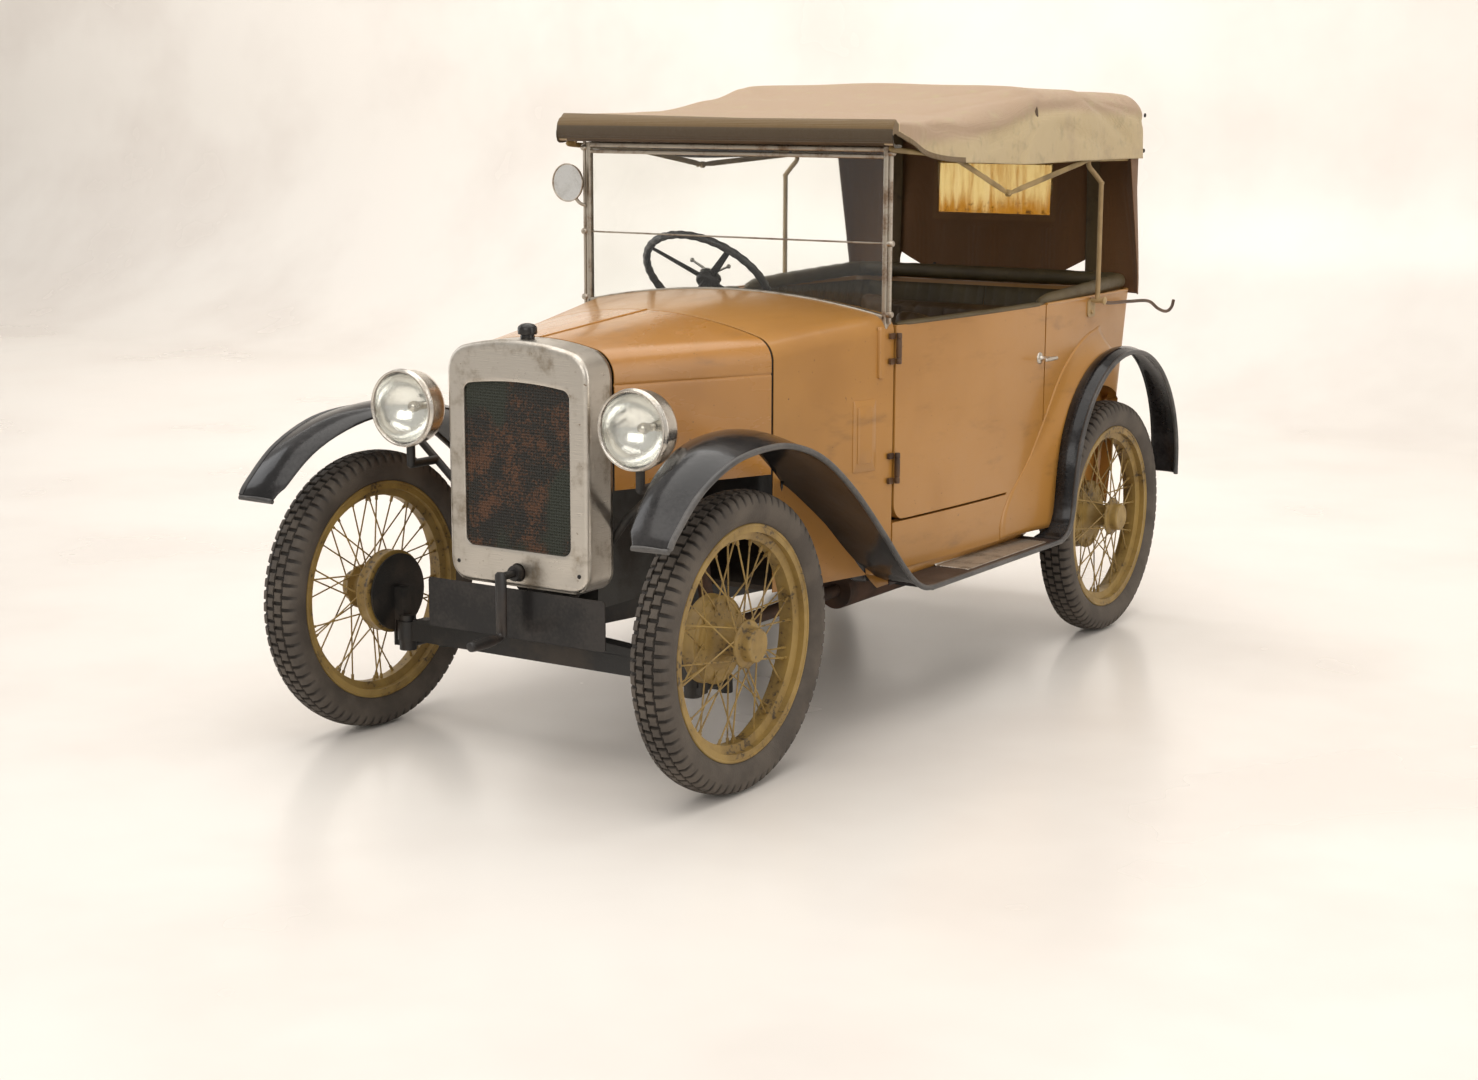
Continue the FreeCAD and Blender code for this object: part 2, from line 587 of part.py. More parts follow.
def scuttle():
    shell = scuttle_outer.cut(scuttle_inner)
    bulkhead = scuttle_outer.common(block((-FAR, s.cowl_front, 0), (FAR, s.cowl_front + s.bulkhead_sheet, FAR)))
    opening = block((-s.gearbox_half_width - 30, 0, 0),
                    (s.gearbox_half_width + 30, s.cowl_rear - 100, s.engine_top + 30))
    dash = scuttle_outer.common(block((-FAR, s.dash_y, s.dash_bottom), (FAR, s.dash_y + s.dash_sheet, FAR)))
    floor_cut = block((-s.cowl_half_width + s.body_wall, 0, 0), (s.cowl_half_width - s.body_wall, FAR,
                                                                 s.body_bottom + s.body_wall))
    rod_line = rod((0, 0, s.radiator_top), (0, s.cowl_front, s.cowl_top), s.hinge_rod)
    centre, axis = steering_line()
    column_space = Part.makeCylinder(s.column_radius + s.panel_gap, FAR, centre - axis * FAR, axis)
    whole = joined([shell.cut(floor_cut), bulkhead.cut(opening).cut(column_space), dash, rod_line,
                    *hinge_leaves(1), *hinge_leaves(-1)])
    return feature("scuttle", whole)


pair("bonnet", bonnet_half())
scuttle()


# Body tub: side walls with wheelhouses and door openings, and the leaning back panel
def door_outline(grow):
    """The door in side view: square at the hinge, its rear lower corner sweeping up over the arch."""
    front, rear, low = s.door_front - grow, s.door_rear + grow, s.door_bottom - grow
    sweep = math.atan2(s.door_knee_z - s.door_bottom, s.door_rear - s.door_toe_y)
    knee = s.door_knee_z - grow * math.tan((math.pi / 2 - sweep) / 2)
    toe = s.door_toe_y + grow * math.tan(sweep / 2)
    top = s.waist_rear + 10 * grow + 10
    bow = s.door_knee_bow
    middle = ((rear + toe) / 2 + bow * math.sin(sweep), (knee + low) / 2 - bow * math.cos(sweep))
    corner = s.door_corner
    share = (1 - math.sqrt(0.5)) * corner
    return outline((front, low + corner), ((front + share, low + share), (front + corner, low)), (toe, low),
                   (middle, (rear, knee)), (rear, top), (front, top), (front, low + corner))


def waist_line():
    """Everything below the waist in side view."""
    return polygon((s.cowl_rear, 0), (FAR, 0), (FAR, s.waist_rear), (s.tail_top, s.waist_rear),
                   (s.cowl_rear, s.waist_front))


tub_wall = tub(0).cut(tub(s.body_wall)).common(slab(waist_line(), "side", -FAR, FAR))


def side_wall():
    wall = tub_wall.common(block((s.tail_split, 0, 0), (FAR, FAR, FAR)))
    wall = wall.cut(slab(door_outline(s.panel_gap), "side", 0, FAR))
    hub = (s.wheelbase, s.tyre_radius)
    inner, outer = s.wheelhouse_x, half_width(s.wheelbase)
    house = rod((inner, *hub), (outer, *hub), s.arch_radius)
    hollow = rod((inner + s.arch_sheet, *hub), (FAR, *hub), s.arch_radius - s.arch_sheet)
    above = block((0, s.kick_up, s.body_bottom), (FAR, FAR, FAR))
    house = house.common(above).common(tub(0)).cut(rod((0, *hub), (FAR, *hub), s.rear_tube + 3 * s.panel_gap))
    return wall.fuse(house).cut(hollow).removeSplitter()


def back_panel():
    middle = block((-s.tail_split, s.tail_top / 2, 0), (s.tail_split, FAR, FAR))
    carrier = rod((0, tail_y(s.spare_z) - s.body_wall / 2, s.spare_z), (0, s.spare_y - s.hub_length / 2, s.spare_z),
                  s.carrier_radius)
    stub = rod((0, tail_y(s.spare_z), s.spare_z), (0, s.spare_y + s.hub_length / 3, s.spare_z),
               s.spindle_radius)
    return feature("back_panel", joined([tub_wall.common(middle), carrier, stub]))


pair("side", side_wall())
back_panel()


# Floor: flat at the front with a tunnel over the gearbox, raised over the rear axle
def floor_pan():
    low, high, sheet_z = s.body_bottom, s.body_bottom + s.floor_sheet, s.floor_sheet
    inset = s.body_wall + s.running_gap
    side = polygon((s.cowl_rear, low), (s.kick_up + sheet_z, low), (s.kick_up + sheet_z, s.rear_floor - sheet_z),
                   (FAR, s.rear_floor - sheet_z), (FAR, s.rear_floor), (s.kick_up, s.rear_floor),
                   (s.kick_up, high), (s.cowl_rear, high))
    rear = tub(inset).common(slab(side, "side", -FAR, FAR))
    room = s.wheelhouse_x - s.running_gap
    for sign in (1, -1):
        near, far = sorted((sign * room, sign * FAR))
        rear = rear.cut(block((near, s.wheelbase - s.arch_radius - 2, 0), (far, FAR, FAR)))
    front_wide = s.cowl_half_width - inset
    rear_wide = s.screen_half_width - inset
    start = s.cowl_front + s.bulkhead_sheet + s.running_gap
    front = slab(polygon((-front_wide, start), (front_wide, start), (rear_wide, s.cowl_rear),
                         (-rear_wide, s.cowl_rear)), "plan", low, high)
    half, wall = s.gearbox_half_width + 18, 4
    tunnel_top = s.gearbox_top + 90
    end = s.gearbox_rear + 20
    tunnel = block((-half - wall, start, low), (half + wall, end + wall, tunnel_top))
    hollow = block((-half, start - wall, 0), (half, end, tunnel_top - wall))
    shaft_half, shaft_top = s.torque_tube + 8, s.engine_bottom + 2 * s.torque_tube + 8
    shaft = block((-shaft_half - wall, end, low), (shaft_half + wall, s.kick_up + 1, shaft_top + wall))
    shaft_hollow = block((-shaft_half, end - wall, 0), (shaft_half, s.kick_up + 2 * sheet_z, shaft_top))
    return feature("floor", joined([front, rear, tunnel, shaft]).cut(hollow).cut(shaft_hollow))


floor_pan()


# Doors: as thick as the walls, hinged on barrels that stand outside the front edge
def door():
    x, y = hinge_axis(1)
    parts = [tub_wall.common(slab(door_outline(0), "side", s.tail_split, FAR))]
    for z in (s.hinge_low, s.hinge_high):
        low, high = z - s.hinge_length / 2, z + s.hinge_length / 2
        near = x - s.hinge_stand_off - 6
        parts.append(rod((x, y, low), (x, y, high), s.hinge_barrel))
        parts.append(block((near, y + 1, low), (x, y + s.hinge_barrel, high)))
        strap = block((near, y + s.hinge_barrel - 4, low + 8), (x, y + 90, high - 8))
        parts.append(strap.common(tub(-s.sheet)).cut(tub(s.body_wall / 2)))
    grip_x = half_width(handle_y) + s.handle_stand_off
    inner = half_width(handle_y) - s.body_wall / 2
    half = s.handle_length / 2
    parts.append(rod((inner, handle_y, handle_z), (grip_x, handle_y, handle_z),
                     s.handle_radius))
    parts.append(rod((grip_x, handle_y - half, handle_z),
                     (grip_x, handle_y + half, handle_z), s.handle_radius))
    return joined(parts)


pair("door", door())


# Windscreen: a two-pane frame on the scuttle, with its glass
def pane_outline(low_arch, low, high, clear):
    half = s.windscreen_half_width - s.windscreen_bar + clear
    return outline((-half, low), ((0, low + low_arch), (half, low)), (half, high), (-half, high), (-half, low))


def pane_shapes(clear):
    """The lower and the upper opening, grown or shrunk by clear, as (arch, low, high)."""
    bar = s.windscreen_bar
    lower = (s.screen_base - s.windscreen_foot - 26, s.windscreen_foot + 40 - clear, windscreen_split - bar / 2 + clear)
    upper = (0.01, windscreen_split + bar / 2 - clear, s.windscreen_top - bar + clear)
    return [pane_outline(*lower, clear), pane_outline(*upper, clear)]


def windscreen_frame():
    front, rear = s.windscreen_y - s.windscreen_depth / 2, s.windscreen_y + s.windscreen_depth / 2
    half = s.windscreen_half_width
    frame = slab(rectangle(-half, s.windscreen_foot, half, s.windscreen_top), "front", front, rear)
    frame = frame.cut(scuttle_outer)
    for curves in pane_shapes(0):
        frame = frame.cut(slab(curves, "front", front - 1, rear + 1))
    return feature("windscreen_frame", frame)


def windscreen_glass():
    front, rear = s.windscreen_y - s.glass_sheet / 2, s.windscreen_y + s.glass_sheet / 2
    panes = [slab(curves, "front", front, rear) for curves in pane_shapes(-s.running_gap)]
    return feature("windscreen_glass", Part.makeCompound(panes))


windscreen_frame()
windscreen_glass()


# Wings: crowned sheets swept along their side views, with a turned-down outer edge
def swept_wing(path, inner, normal):
    """Sweeps the crowned section along the path, which starts with the given outward normal."""
    start = path[0].value(path[0].FirstParameter)
    start = Vector(0, start.x, start.y)
    outward = Vector(0, normal[0], normal[1])
    crown, sheet_t, lip = s.wing_crown, s.wing_sheet, s.wing_lip
    outer = wing_outer

    def at(x, height):
        return Vector(x, 0, 0) + start + outward * height

    middle = (inner + outer) / 2
    top = Part.Arc(at(inner, 0), at(middle, crown), at(outer, -crown))
    under = Part.Arc(at(outer - sheet_t, -crown - sheet_t), at(middle, crown - sheet_t), at(inner, -sheet_t))
    lines = [Part.LineSegment(at(outer, -crown), at(outer, -crown - lip)),
             Part.LineSegment(at(outer, -crown - lip), at(outer - sheet_t, -crown - lip)),
             Part.LineSegment(at(outer - sheet_t, -crown - lip), at(outer - sheet_t, -crown - sheet_t)),
             Part.LineSegment(at(inner, -sheet_t), at(inner, 0))]
    profile = Part.Wire([edge.toShape() for edge in (top, lines[0], lines[1], lines[2], under, lines[3])])
    spine = Part.Wire([curve.toShape() for curve in path])
    spine.Placement = Placement(Vector(), TURN["side"])
    return spine.makePipeShell([profile], True, False)


def front_wing():
    radius, axle_z, crest = s.front_wing_radius, s.tyre_radius - 6, s.front_wing_crest
    tip_angle = math.pi - math.acos(s.front_overhang / (radius + s.wing_crown))
    tip_y, tip_z = radius * math.cos(tip_angle), axle_z + radius * math.sin(tip_angle)
    top_z = axle_z + radius
    back, slope = s.front_wing_back_radius, math.radians(s.front_wing_slope)
    bend = (crest + back * math.sin(slope), top_z - back * (1 - math.cos(slope)))
    half_slope = slope / 2
    bend_middle = (crest + back * math.sin(half_slope), top_z - back * (1 - math.cos(half_slope)))
    foot = s.wing_foot_radius
    foot_drop = foot * (1 - math.cos(slope))
    straight = (bend[1] - s.board_top - foot_drop) / math.tan(slope)
    foot_start = (bend[0] + straight, s.board_top + foot_drop)
    foot_end = (foot_start[0] + foot * math.sin(slope), s.board_top)
    foot_middle = (foot_end[0] - foot * math.sin(half_slope), s.board_top + foot * (1 - math.cos(half_slope)))
    quarter = (tip_angle + math.pi / 2) / 2
    path = outline((tip_y, tip_z),
                   ((radius * math.cos(quarter), axle_z + radius * math.sin(quarter)), (0, top_z)),
                   (crest, top_z), (bend_middle, bend), foot_start, (foot_middle, foot_end))
    normal = (math.cos(tip_angle), math.sin(tip_angle))
    wing = swept_wing(path, s.front_wing_inner, normal)
    plan = polygon((s.wing_tip_inner, -s.front_overhang - 20), (FAR, -s.front_overhang - 20), (FAR, FAR),
                   (s.front_wing_inner - 5, FAR), (s.front_wing_inner - 5, s.cowl_front),
                   (s.cowl_half_width + 2 * s.panel_gap, s.cowl_front), (s.bonnet_side_room, 0.75 * s.cowl_front),
                   (s.front_wing_waist, 0), (s.wing_tip_inner - 20, tip_y / 2))
    beside_body = Part.makeLoft([cowl_hoop(s.cowl_front, -s.running_gap), screen_hoop(s.cowl_rear, -s.running_gap)],
                                True, True)
    return wing.common(slab(plan, "plan", 0, FAR)).cut(beside_body).cut(tub(-s.running_gap)), foot_end


front_wing_left, front_wing_foot = front_wing()
feature("front_wings", both_sides(front_wing_left))


def rear_wing():
    radius, centre = s.rear_wing_radius, (s.rear_wing_y, s.rear_wing_z)
    begin = math.radians(180 - s.rear_wing_start)
    rise = s.rear_wing_tail - centre[1]
    finish = math.asin(rise / radius)
    first = (centre[0] + radius * math.cos(begin), centre[1] + radius * math.sin(begin))
    last = (centre[0] + radius * math.cos(finish), s.rear_wing_tail)
    middle_angle = (begin + finish) / 2
    middle = (centre[0] + radius * math.cos(middle_angle), centre[1] + radius * math.sin(middle_angle))
    steep = math.radians(90 - s.rear_wing_start)
    foot = s.wing_foot_radius * 0.6
    drop = foot * (1 - math.cos(steep))
    run = (first[1] - s.board_top - drop) / math.tan(steep)
    foot_end = (first[0] - run, s.board_top + drop)
    foot_start = (foot_end[0] - foot * math.sin(steep), s.board_top)
    foot_middle = (foot_start[0] + foot * math.sin(steep / 2), s.board_top + foot * (1 - math.cos(steep / 2)))
    path = outline(foot_start, (foot_middle, foot_end), first, (middle, last))
    inner = half_width(widest) + s.running_gap
    wing = swept_wing(path, inner, (0, 1))
    return wing, foot_start


rear_wing_left, rear_wing_foot = rear_wing()
feature("rear_wings", both_sides(rear_wing_left))


# Running boards between the wings
def running_boards():
    low, high = s.board_top - s.board_sheet, s.board_top
    front, rear = front_wing_foot[0] + s.running_gap, rear_wing_foot[0] - s.running_gap
    board = block((s.board_inner, front, low), (wing_outer, rear, high))
    return feature("running_boards", both_sides(board))


running_boards()


# Wing stays with the lamp brackets
def wing_stays():
    y, radius = s.wing_stay_y, s.wing_stay_radius
    rail_top, outer = s.frame_bottom + s.frame_height + s.running_gap, rail_edge(0, 0)
    low = (outer - radius, y, rail_top + radius)
    bracket = block((outer - 3 * radius, y - radius, rail_top), (outer, y + radius, rail_top + radius))
    shelf_z = s.tyre_radius - 6 + s.front_wing_radius - s.wing_sheet - radius
    knee = (s.radiator_half_width + 30, y, s.lamp_foot_z - 60)
    top = (s.front_wing_waist + 20, y, shelf_z - 1)
    bar = bent_rod([low, knee, top], radius)
    on_bar = s.lamp_x
    share = (on_bar - knee[0]) / (top[0] - knee[0])
    seat_z = knee[2] + share * (top[2] - knee[2])
    foot = (s.lamp_x, s.lamp_y + s.lamp_depth / 2 - s.lamp_stem, seat_z)
    bowl_bottom = s.lamp_z - s.lamp_radius + s.lamp_rim / 2 - s.running_gap
    arm = bent_rod([(s.lamp_x, y, seat_z), foot, (foot[0], foot[1], bowl_bottom)], s.lamp_stem)
    return feature("wing_stays", both_sides(joined([bar, arm, bracket])))


wing_stays()


# Headlamps: shallow bowls with a rim, and their glasses
def headlamps():
    back, rim = s.lamp_y + s.lamp_depth, s.lamp_rim
    drum, seat = s.lamp_radius - s.lamp_rim / 2, s.lens_radius - s.lamp_rim / 2
    dome_start, ledge, inside = back - s.lamp_dome, s.lamp_y + rim, s.lamp_y + 2 * rim
    dome_radius = (drum ** 2 + s.lamp_dome ** 2) / (2 * s.lamp_dome)
    half_angle = math.asin(drum / dome_radius) / 2
    dome_middle = (dome_radius * math.sin(half_angle), back - dome_radius * (1 - math.cos(half_angle)))
    profile = outline((0, inside), (seat, inside), (seat, ledge), (s.lens_radius, ledge), (s.lens_radius, s.lamp_y),
                      (s.lamp_radius, s.lamp_y), (s.lamp_radius, ledge), (drum, ledge), (drum, dome_start),
                      (dome_middle, (0, back)), (0, inside))
    centre = Vector(s.lamp_x, 0, s.lamp_z)
    face = Part.Face(Part.Wire([curve.toShape() for curve in profile]))
    bowl = face.revolve(Vector(), Vector(0, 1, 0), 360)
    bowl.translate(centre)
    return feature("headlamps", both_sides(bowl))


def headlamp_lenses():
    gap = s.running_gap
    low = s.lamp_y + s.lamp_rim - gap - s.lens_sheet
    lens = rod((s.lamp_x, low, s.lamp_z), (s.lamp_x, low + s.lens_sheet, s.lamp_z), s.lens_radius - gap)
    return feature("headlamp_lenses", both_sides(lens))


headlamps()
headlamp_lenses()


# Number plates: blank, one before the radiator and one beside the spare wheel
def number_plates():
    back, spread, wide = s.plate_y + s.plate_sheet, s.strap_spread, s.strap_width
    low, high, on_frame = s.frame_bottom + wide / 3, s.frame_bottom + wide, -s.cross_member / 2
    front = slab(rounded(-s.plate_half_width, s.plate_bottom, s.plate_half_width,
                         s.plate_bottom + s.plate_height, s.plate_corner), "front", s.plate_y, back)
    arm = block((-spread, back, low), (wide - spread, on_frame, high))
    strap = arm.fuse(mirrored(arm)).fuse(block((-spread, on_frame - s.sheet, low), (spread, on_frame, high)))
    low, x = s.rear_plate_bottom, s.rear_plate_x
    y = s.rear_wing_y + s.rear_wing_radius + 10
    rear = slab(rounded(x - s.rear_plate_half, low, x + s.rear_plate_half, low + s.rear_plate_height,
                        s.plate_corner), "front", y, y + s.plate_sheet)
    centre, half = low + s.rear_plate_height / 2, wide / 3
    bar = block((x - half, tail_y(centre) - s.body_wall, centre - half), (x + half, y, centre + half))
    bar = bar.cut(tub(-s.running_gap))
    solids = [joined([front, strap]), joined([rear, bar])]
    return feature("number_plates", Part.makeCompound(solids))


number_plates()


# Starting handle: hangs from its shaft through the radiator shell
def starting_handle():
    z = s.crank_height
    grip_z = z - s.crank_throw
    parts = [rod((0, s.engine_front, z), (0, s.crank_arm_y, z), s.crank_radius),
             Part.makeSphere(s.crank_radius * 1.3, Vector(0, s.crank_arm_y, z)),
             rod((0, s.crank_arm_y, z), (0, s.crank_arm_y, grip_z), s.crank_radius),
             Part.makeSphere(s.crank_radius, Vector(0, s.crank_arm_y, grip_z)),
             rod((0, s.crank_arm_y, grip_z), (0, s.crank_arm_y - s.crank_grip, grip_z), s.grip_radius)]
    return feature("starting_handle", joined(parts))


starting_handle()


# Mirror on the right screen post
def mirror():
    y = s.windscreen_y - s.windscreen_depth
    face = rod((s.mirror_x, y, s.mirror_z), (s.mirror_x, y - s.mirror_depth, s.mirror_z), s.mirror_radius)
    post = (-s.windscreen_half_width + 6, s.windscreen_y - s.windscreen_depth / 2, s.mirror_z - 60)
    arm = bent_rod([post, (s.mirror_x + 20, y - 20, s.mirror_z - 40), (s.mirror_x, y - s.mirror_depth / 2,
                                                                      s.mirror_z - 30)], s.mirror_arm)
    return feature("mirror", joined([face, arm.cut(windscreen_space())]))


def windscreen_space():
    front, rear = s.windscreen_y - s.windscreen_depth / 2, s.windscreen_y + s.windscreen_depth / 2
    half = s.windscreen_half_width
    return slab(rectangle(-half, s.windscreen_foot, half, s.windscreen_top), "front", front, rear)


mirror()


# Hood: canvas over bows, side valances, a back curtain with a window, and the irons that carry it
def hood_outline(inset):
    """Side view of the hood's top and its rear shoulder, moved in by inset."""
    low = s.valance_z
    return polygon((s.hood_front + inset, s.hood_front_z - inset), (s.hood_bow_y, s.hood_bow_z - inset),
                   (s.hood_top_rear, s.hood_top_z - inset), (s.hood_shoulder_y - inset, s.hood_shoulder_z - inset),
                   (s.hood_back_y - inset, low), (s.valance_y, low),
                   (s.hood_front + 25 + inset, s.hood_front_z - 14))


def soft_edged(shape, above, radius):
    """Rounds the edges that run along the hood above a height."""
    along = [edge for edge in shape.Edges if edge.BoundBox.XLength < 1 and edge.BoundBox.ZMin > above]
    return shape.makeFillet(radius, along)


def hood_canvas():
    half, skin = s.hood_half_width, s.hood_sheet
    top = soft_edged(slab(hood_outline(0), "side", -half, half), s.hood_front_z - 1, s.hood_edge)
    void_side = polygon((s.hood_front - 50, s.hood_front_z - 40), (s.hood_front - 50, s.hood_front_z - skin - 20),
                        (s.hood_front + skin, s.hood_front_z - skin),
                        (s.hood_bow_y, s.hood_bow_z - skin), (s.hood_top_rear, s.hood_top_z - skin),
                        (s.hood_shoulder_y - skin, s.hood_shoulder_z - skin), (s.hood_back_y - skin, s.valance_z - 1),
                        (s.hood_front - 50, s.valance_z - 1))
    void = soft_edged(slab(void_side, "side", -half + skin, half - skin), s.hood_front_z - skin - 1,
                      s.hood_edge - skin)
    curtain = block((-half + skin, s.hood_back_y - skin, s.waist_rear), (half - skin, s.hood_back_y,
                                                                        s.valance_z + skin))
    window = block((-s.hood_window_half, 0, s.hood_window_low), (s.hood_window_half, FAR, s.hood_window_high))
    canvas = top.cut(void).fuse(curtain).removeSplitter().cut(window)
    return feature("hood_canvas", canvas)


def hood_window():
    gap, middle = s.running_gap, s.hood_back_y - s.hood_sheet / 2
    pane = block((-s.hood_window_half + gap, middle - s.hood_window_sheet / 2, s.hood_window_low + gap),
                 (s.hood_window_half - gap, middle + s.hood_window_sheet / 2, s.hood_window_high - gap))
    return feature("hood_window", pane)


def hood_bow(y, top_z, foot_z):
    half = s.hood_half_width - s.hood_sheet - s.bow_radius - 2
    z = top_z - s.hood_sheet - s.bow_radius - 1
    corner = 0.75 * s.hood_edge
    return bent_rod([(-half, y, foot_z), (-half, y, z - corner), (corner - half, y, z), (half - corner, y, z),
                     (half, y, z - corner), (half, y, foot_z)], s.bow_radius)


def hood_frame():
    half = s.hood_half_width - s.hood_sheet - s.bow_radius - 2
    link_z = s.valance_z + 10
    rail_half, rail_y = half - s.hood_edge / 2, s.hood_front + s.hood_edge / 2
    rail = block((-rail_half, s.hood_front + s.hood_sheet + 4, s.hood_front_z - 30),
                 (rail_half, s.hood_front + s.hood_edge, s.hood_front_z - s.hood_sheet - 2))
    side_front_y, side_front_z = rail_y + s.hood_edge, s.hood_front_z - s.hood_edge
    share = (s.hood_bow_y - s.link_front_y) / (s.hood_bow_y - side_front_y)
    link_front_z = link_z + share * (side_front_z - link_z)
    parts = [hood_bow(s.hood_bow_y, s.hood_bow_z, link_z), hood_bow(s.hood_bow_two_y, s.hood_top_z, link_z),
             hood_bow(s.hood_top_rear - 10, s.hood_top_z, link_z), rail]
    for side in (1, -1):
        x = side * half
        parts.append(bent_rod([(x, s.hood_top_rear - 10, link_z), (x, s.hood_bow_two_y, link_z),
                               (x, s.hood_bow_y, link_z), (x, side_front_y, side_front_z),
                               (side * rail_half, rail_y, s.hood_front_z - s.hood_edge / 2)], s.iron_radius))
        knee_z = s.link_knee_z if side > 0 else s.link_right_z
        parts.append(bent_rod([(x, s.link_front_y, link_front_z), (x, s.link_knee_y, knee_z),
                               (x, s.iron_y, link_z)], s.link_radius))
        foot_x = side * s.iron_x
        elbow_z = s.valance_z - s.iron_radius - s.panel_gap
        parts.append(bent_rod([(x, s.iron_y, link_z), (x, s.iron_y, elbow_z), (foot_x, s.iron_y, elbow_z - s.hood_edge),
                               (foot_x, s.iron_y, s.iron_foot_z)], s.iron_radius))
        rear = s.rear_overhang - s.iron_radius
        parts.append(bent_rod([(foot_x, s.iron_y, s.iron_foot_z),
                               (foot_x, s.iron_y + 90, s.rest_start_z), (foot_x, s.tail_top, s.rest_start_z - 8),
                               (foot_x, rear - 75, s.rest_low_z), (foot_x, rear, s.rest_tip_z)], s.iron_radius))
        parts.append(Part.makeSphere(s.iron_radius, Vector(foot_x, rear, s.rest_tip_z)))
        near, far = sorted((side * (half_width(s.iron_y) - 0), foot_x))
        parts.append(block((near, s.iron_y - 20, s.waist_rear - 60), (far, s.iron_y + 20, s.waist_rear - 10))
                     .cut(tub(-s.running_gap)))
    return feature("hood_frame", joined(parts))


hood_canvas()
hood_window()
hood_frame()


# Seats: two at the front and a bench over the rear axle
def seats():
    """A cushion, a back and a plain base for each front seat, standing on the floor."""
    cushions, bases = [], []
    floor_top = s.body_bottom + s.floor_sheet
    base_top = s.seat_base
    for side in (1, -1):
        near, far = sorted((side * s.seat_gap / 2, side * (s.seat_gap / 2 + s.seat_width)))
        front, rear = s.seat_front, s.seat_front + s.seat_depth
        cushion = block((near, front, base_top), (far, rear, base_top + s.cushion))
        rest = slab(polygon((rear - s.seat_back, base_top + s.cushion), (rear, base_top + s.cushion),
                            (rear + 70, s.seat_back_top), (rear + 70 - s.seat_back, s.seat_back_top)),
                    "side", near, far)
        cushions.append(cushion.fuse(rest).removeSplitter())
        bases.append(block((near + 30, front + 30, floor_top), (far - 30, rear - 30, base_top)))
    return feature("front_seats", Part.makeCompound(cushions)), feature("seat_bases", Part.makeCompound(bases))


def rear_seat():
    half = s.wheelhouse_x - 14
    front = s.rear_seat_front
    top = s.rear_cushion_top
    profile = polygon((front, s.rear_floor), (tail_y(s.rear_floor) - s.body_wall - 12, s.rear_floor),
                      (tail_y(s.rear_back_top) - s.body_wall - 12, s.rear_back_top),
                      (tail_y(s.rear_back_top) - s.body_wall - 12 - s.seat_back, s.rear_back_top),
                      (front + s.rear_seat_depth - 20, top), (front, top))
    return feature("rear_seat", slab(profile, "side", -half, half))


seats()
rear_seat()


# Steering column and wheel
wheel_centre, column_axis = steering_line()


def steering_column():
    boss_base = wheel_centre - column_axis * (s.boss_height / 2 + s.running_gap)
    start = boss_base - column_axis * s.column_length
    tube = Part.makeCylinder(s.column_radius, s.column_length, start, column_axis)
    box_low = (s.steering_wheel_x - 40, start.y - 60, start.z - 50)
    box_high = (s.steering_wheel_x + 40, start.y + 8, start.z + 36)
    bracket = block((box_low[0], start.y - 45, s.frame_bottom + 12),
                    (-rail_edge(start.y - 5, s.running_gap), start.y - 5, box_low[2] + 6))
    stub = Part.makeCylinder(s.spindle_radius / 2, s.boss_height * 0.6, boss_base, column_axis)
    return feature("steering_column", joined([tube, block(box_low, box_high), bracket, stub]))


def steering_wheel():
    ring = Part.makeTorus(s.steering_wheel_radius - s.steering_rim, s.steering_rim)
    boss = Part.makeCylinder(s.boss_radius, s.boss_height, Vector(0, 0, -s.boss_height / 2))
    parts = [ring, boss]
    count = int(s.steering_spokes)
    for number in range(count):
        angle = math.radians(45 + 360 * number / count)
        end = (math.cos(angle) * (s.steering_wheel_radius - s.steering_rim),
               math.sin(angle) * (s.steering_wheel_radius - s.steering_rim), 0)
        parts.append(rod((0, 0, 0), end, s.steering_spoke_radius))
    bore = Part.makeCylinder(s.spindle_radius / 2 + s.running_gap, s.boss_height * 0.7, Vector(0, 0, -s.boss_height / 2))
    wheel = joined(parts).cut(bore)
    wheel.Placement = Placement(wheel_centre, Rotation(Vector(0, 0, 1), column_axis))
    return feature("steering_wheel", wheel)


steering_column()
steering_wheel()


# Knuckles: kingpin, stub axle, backplate and steering arm; the track rod joins their arms
def knuckle():
    x, z = s.kingpin_offset, s.tyre_radius
    beam_z = z - s.axle_drop
    low, high = beam_z - s.beam_height / 2, beam_z + s.beam_height / 2
    plate_x = half_track - s.drum_face - s.drum_depth - s.backplate_gap
    arm_z = beam_z - s.arm_drop
    pin = rod((x, 0, low - 2), (x, 0, high + 2), s.kingpin_radius)
    collar_low = rod((x, 0, arm_z - s.arm_radius - 2), (x, 0, low - 1), s.eye_radius - 4)
    collar_high = rod((x, 0, high + 1), (x, 0, high + 14), s.eye_radius - 4)
    web = block((x, -14, high + 1), (plate_x, 14, z + 14))
    foot = block((x + 4, -12, low - 16), (plate_x, 12, low - 1))
    upright = block((plate_x - 6, -14, low - 16), (plate_x, 14, z + 14))
    plate = rod((plate_x - s.backplate_sheet, 0, z), (plate_x, 0, z), s.backplate_radius)
    stub = rod((plate_x - 6, 0, z), (half_track + s.hub_length / 2, 0, z), s.spindle_radius)
    arm = rod((x, 0, arm_z), (x, s.steering_arm, arm_z), s.arm_radius)
    eye = rod((x, s.steering_arm, arm_z - s.arm_radius - 1), (x, s.steering_arm, arm_z + s.arm_radius + 1),
              s.rod_eye)
    return joined([pin, collar_low, collar_high, web, foot, upright, plate, stub, arm, eye])


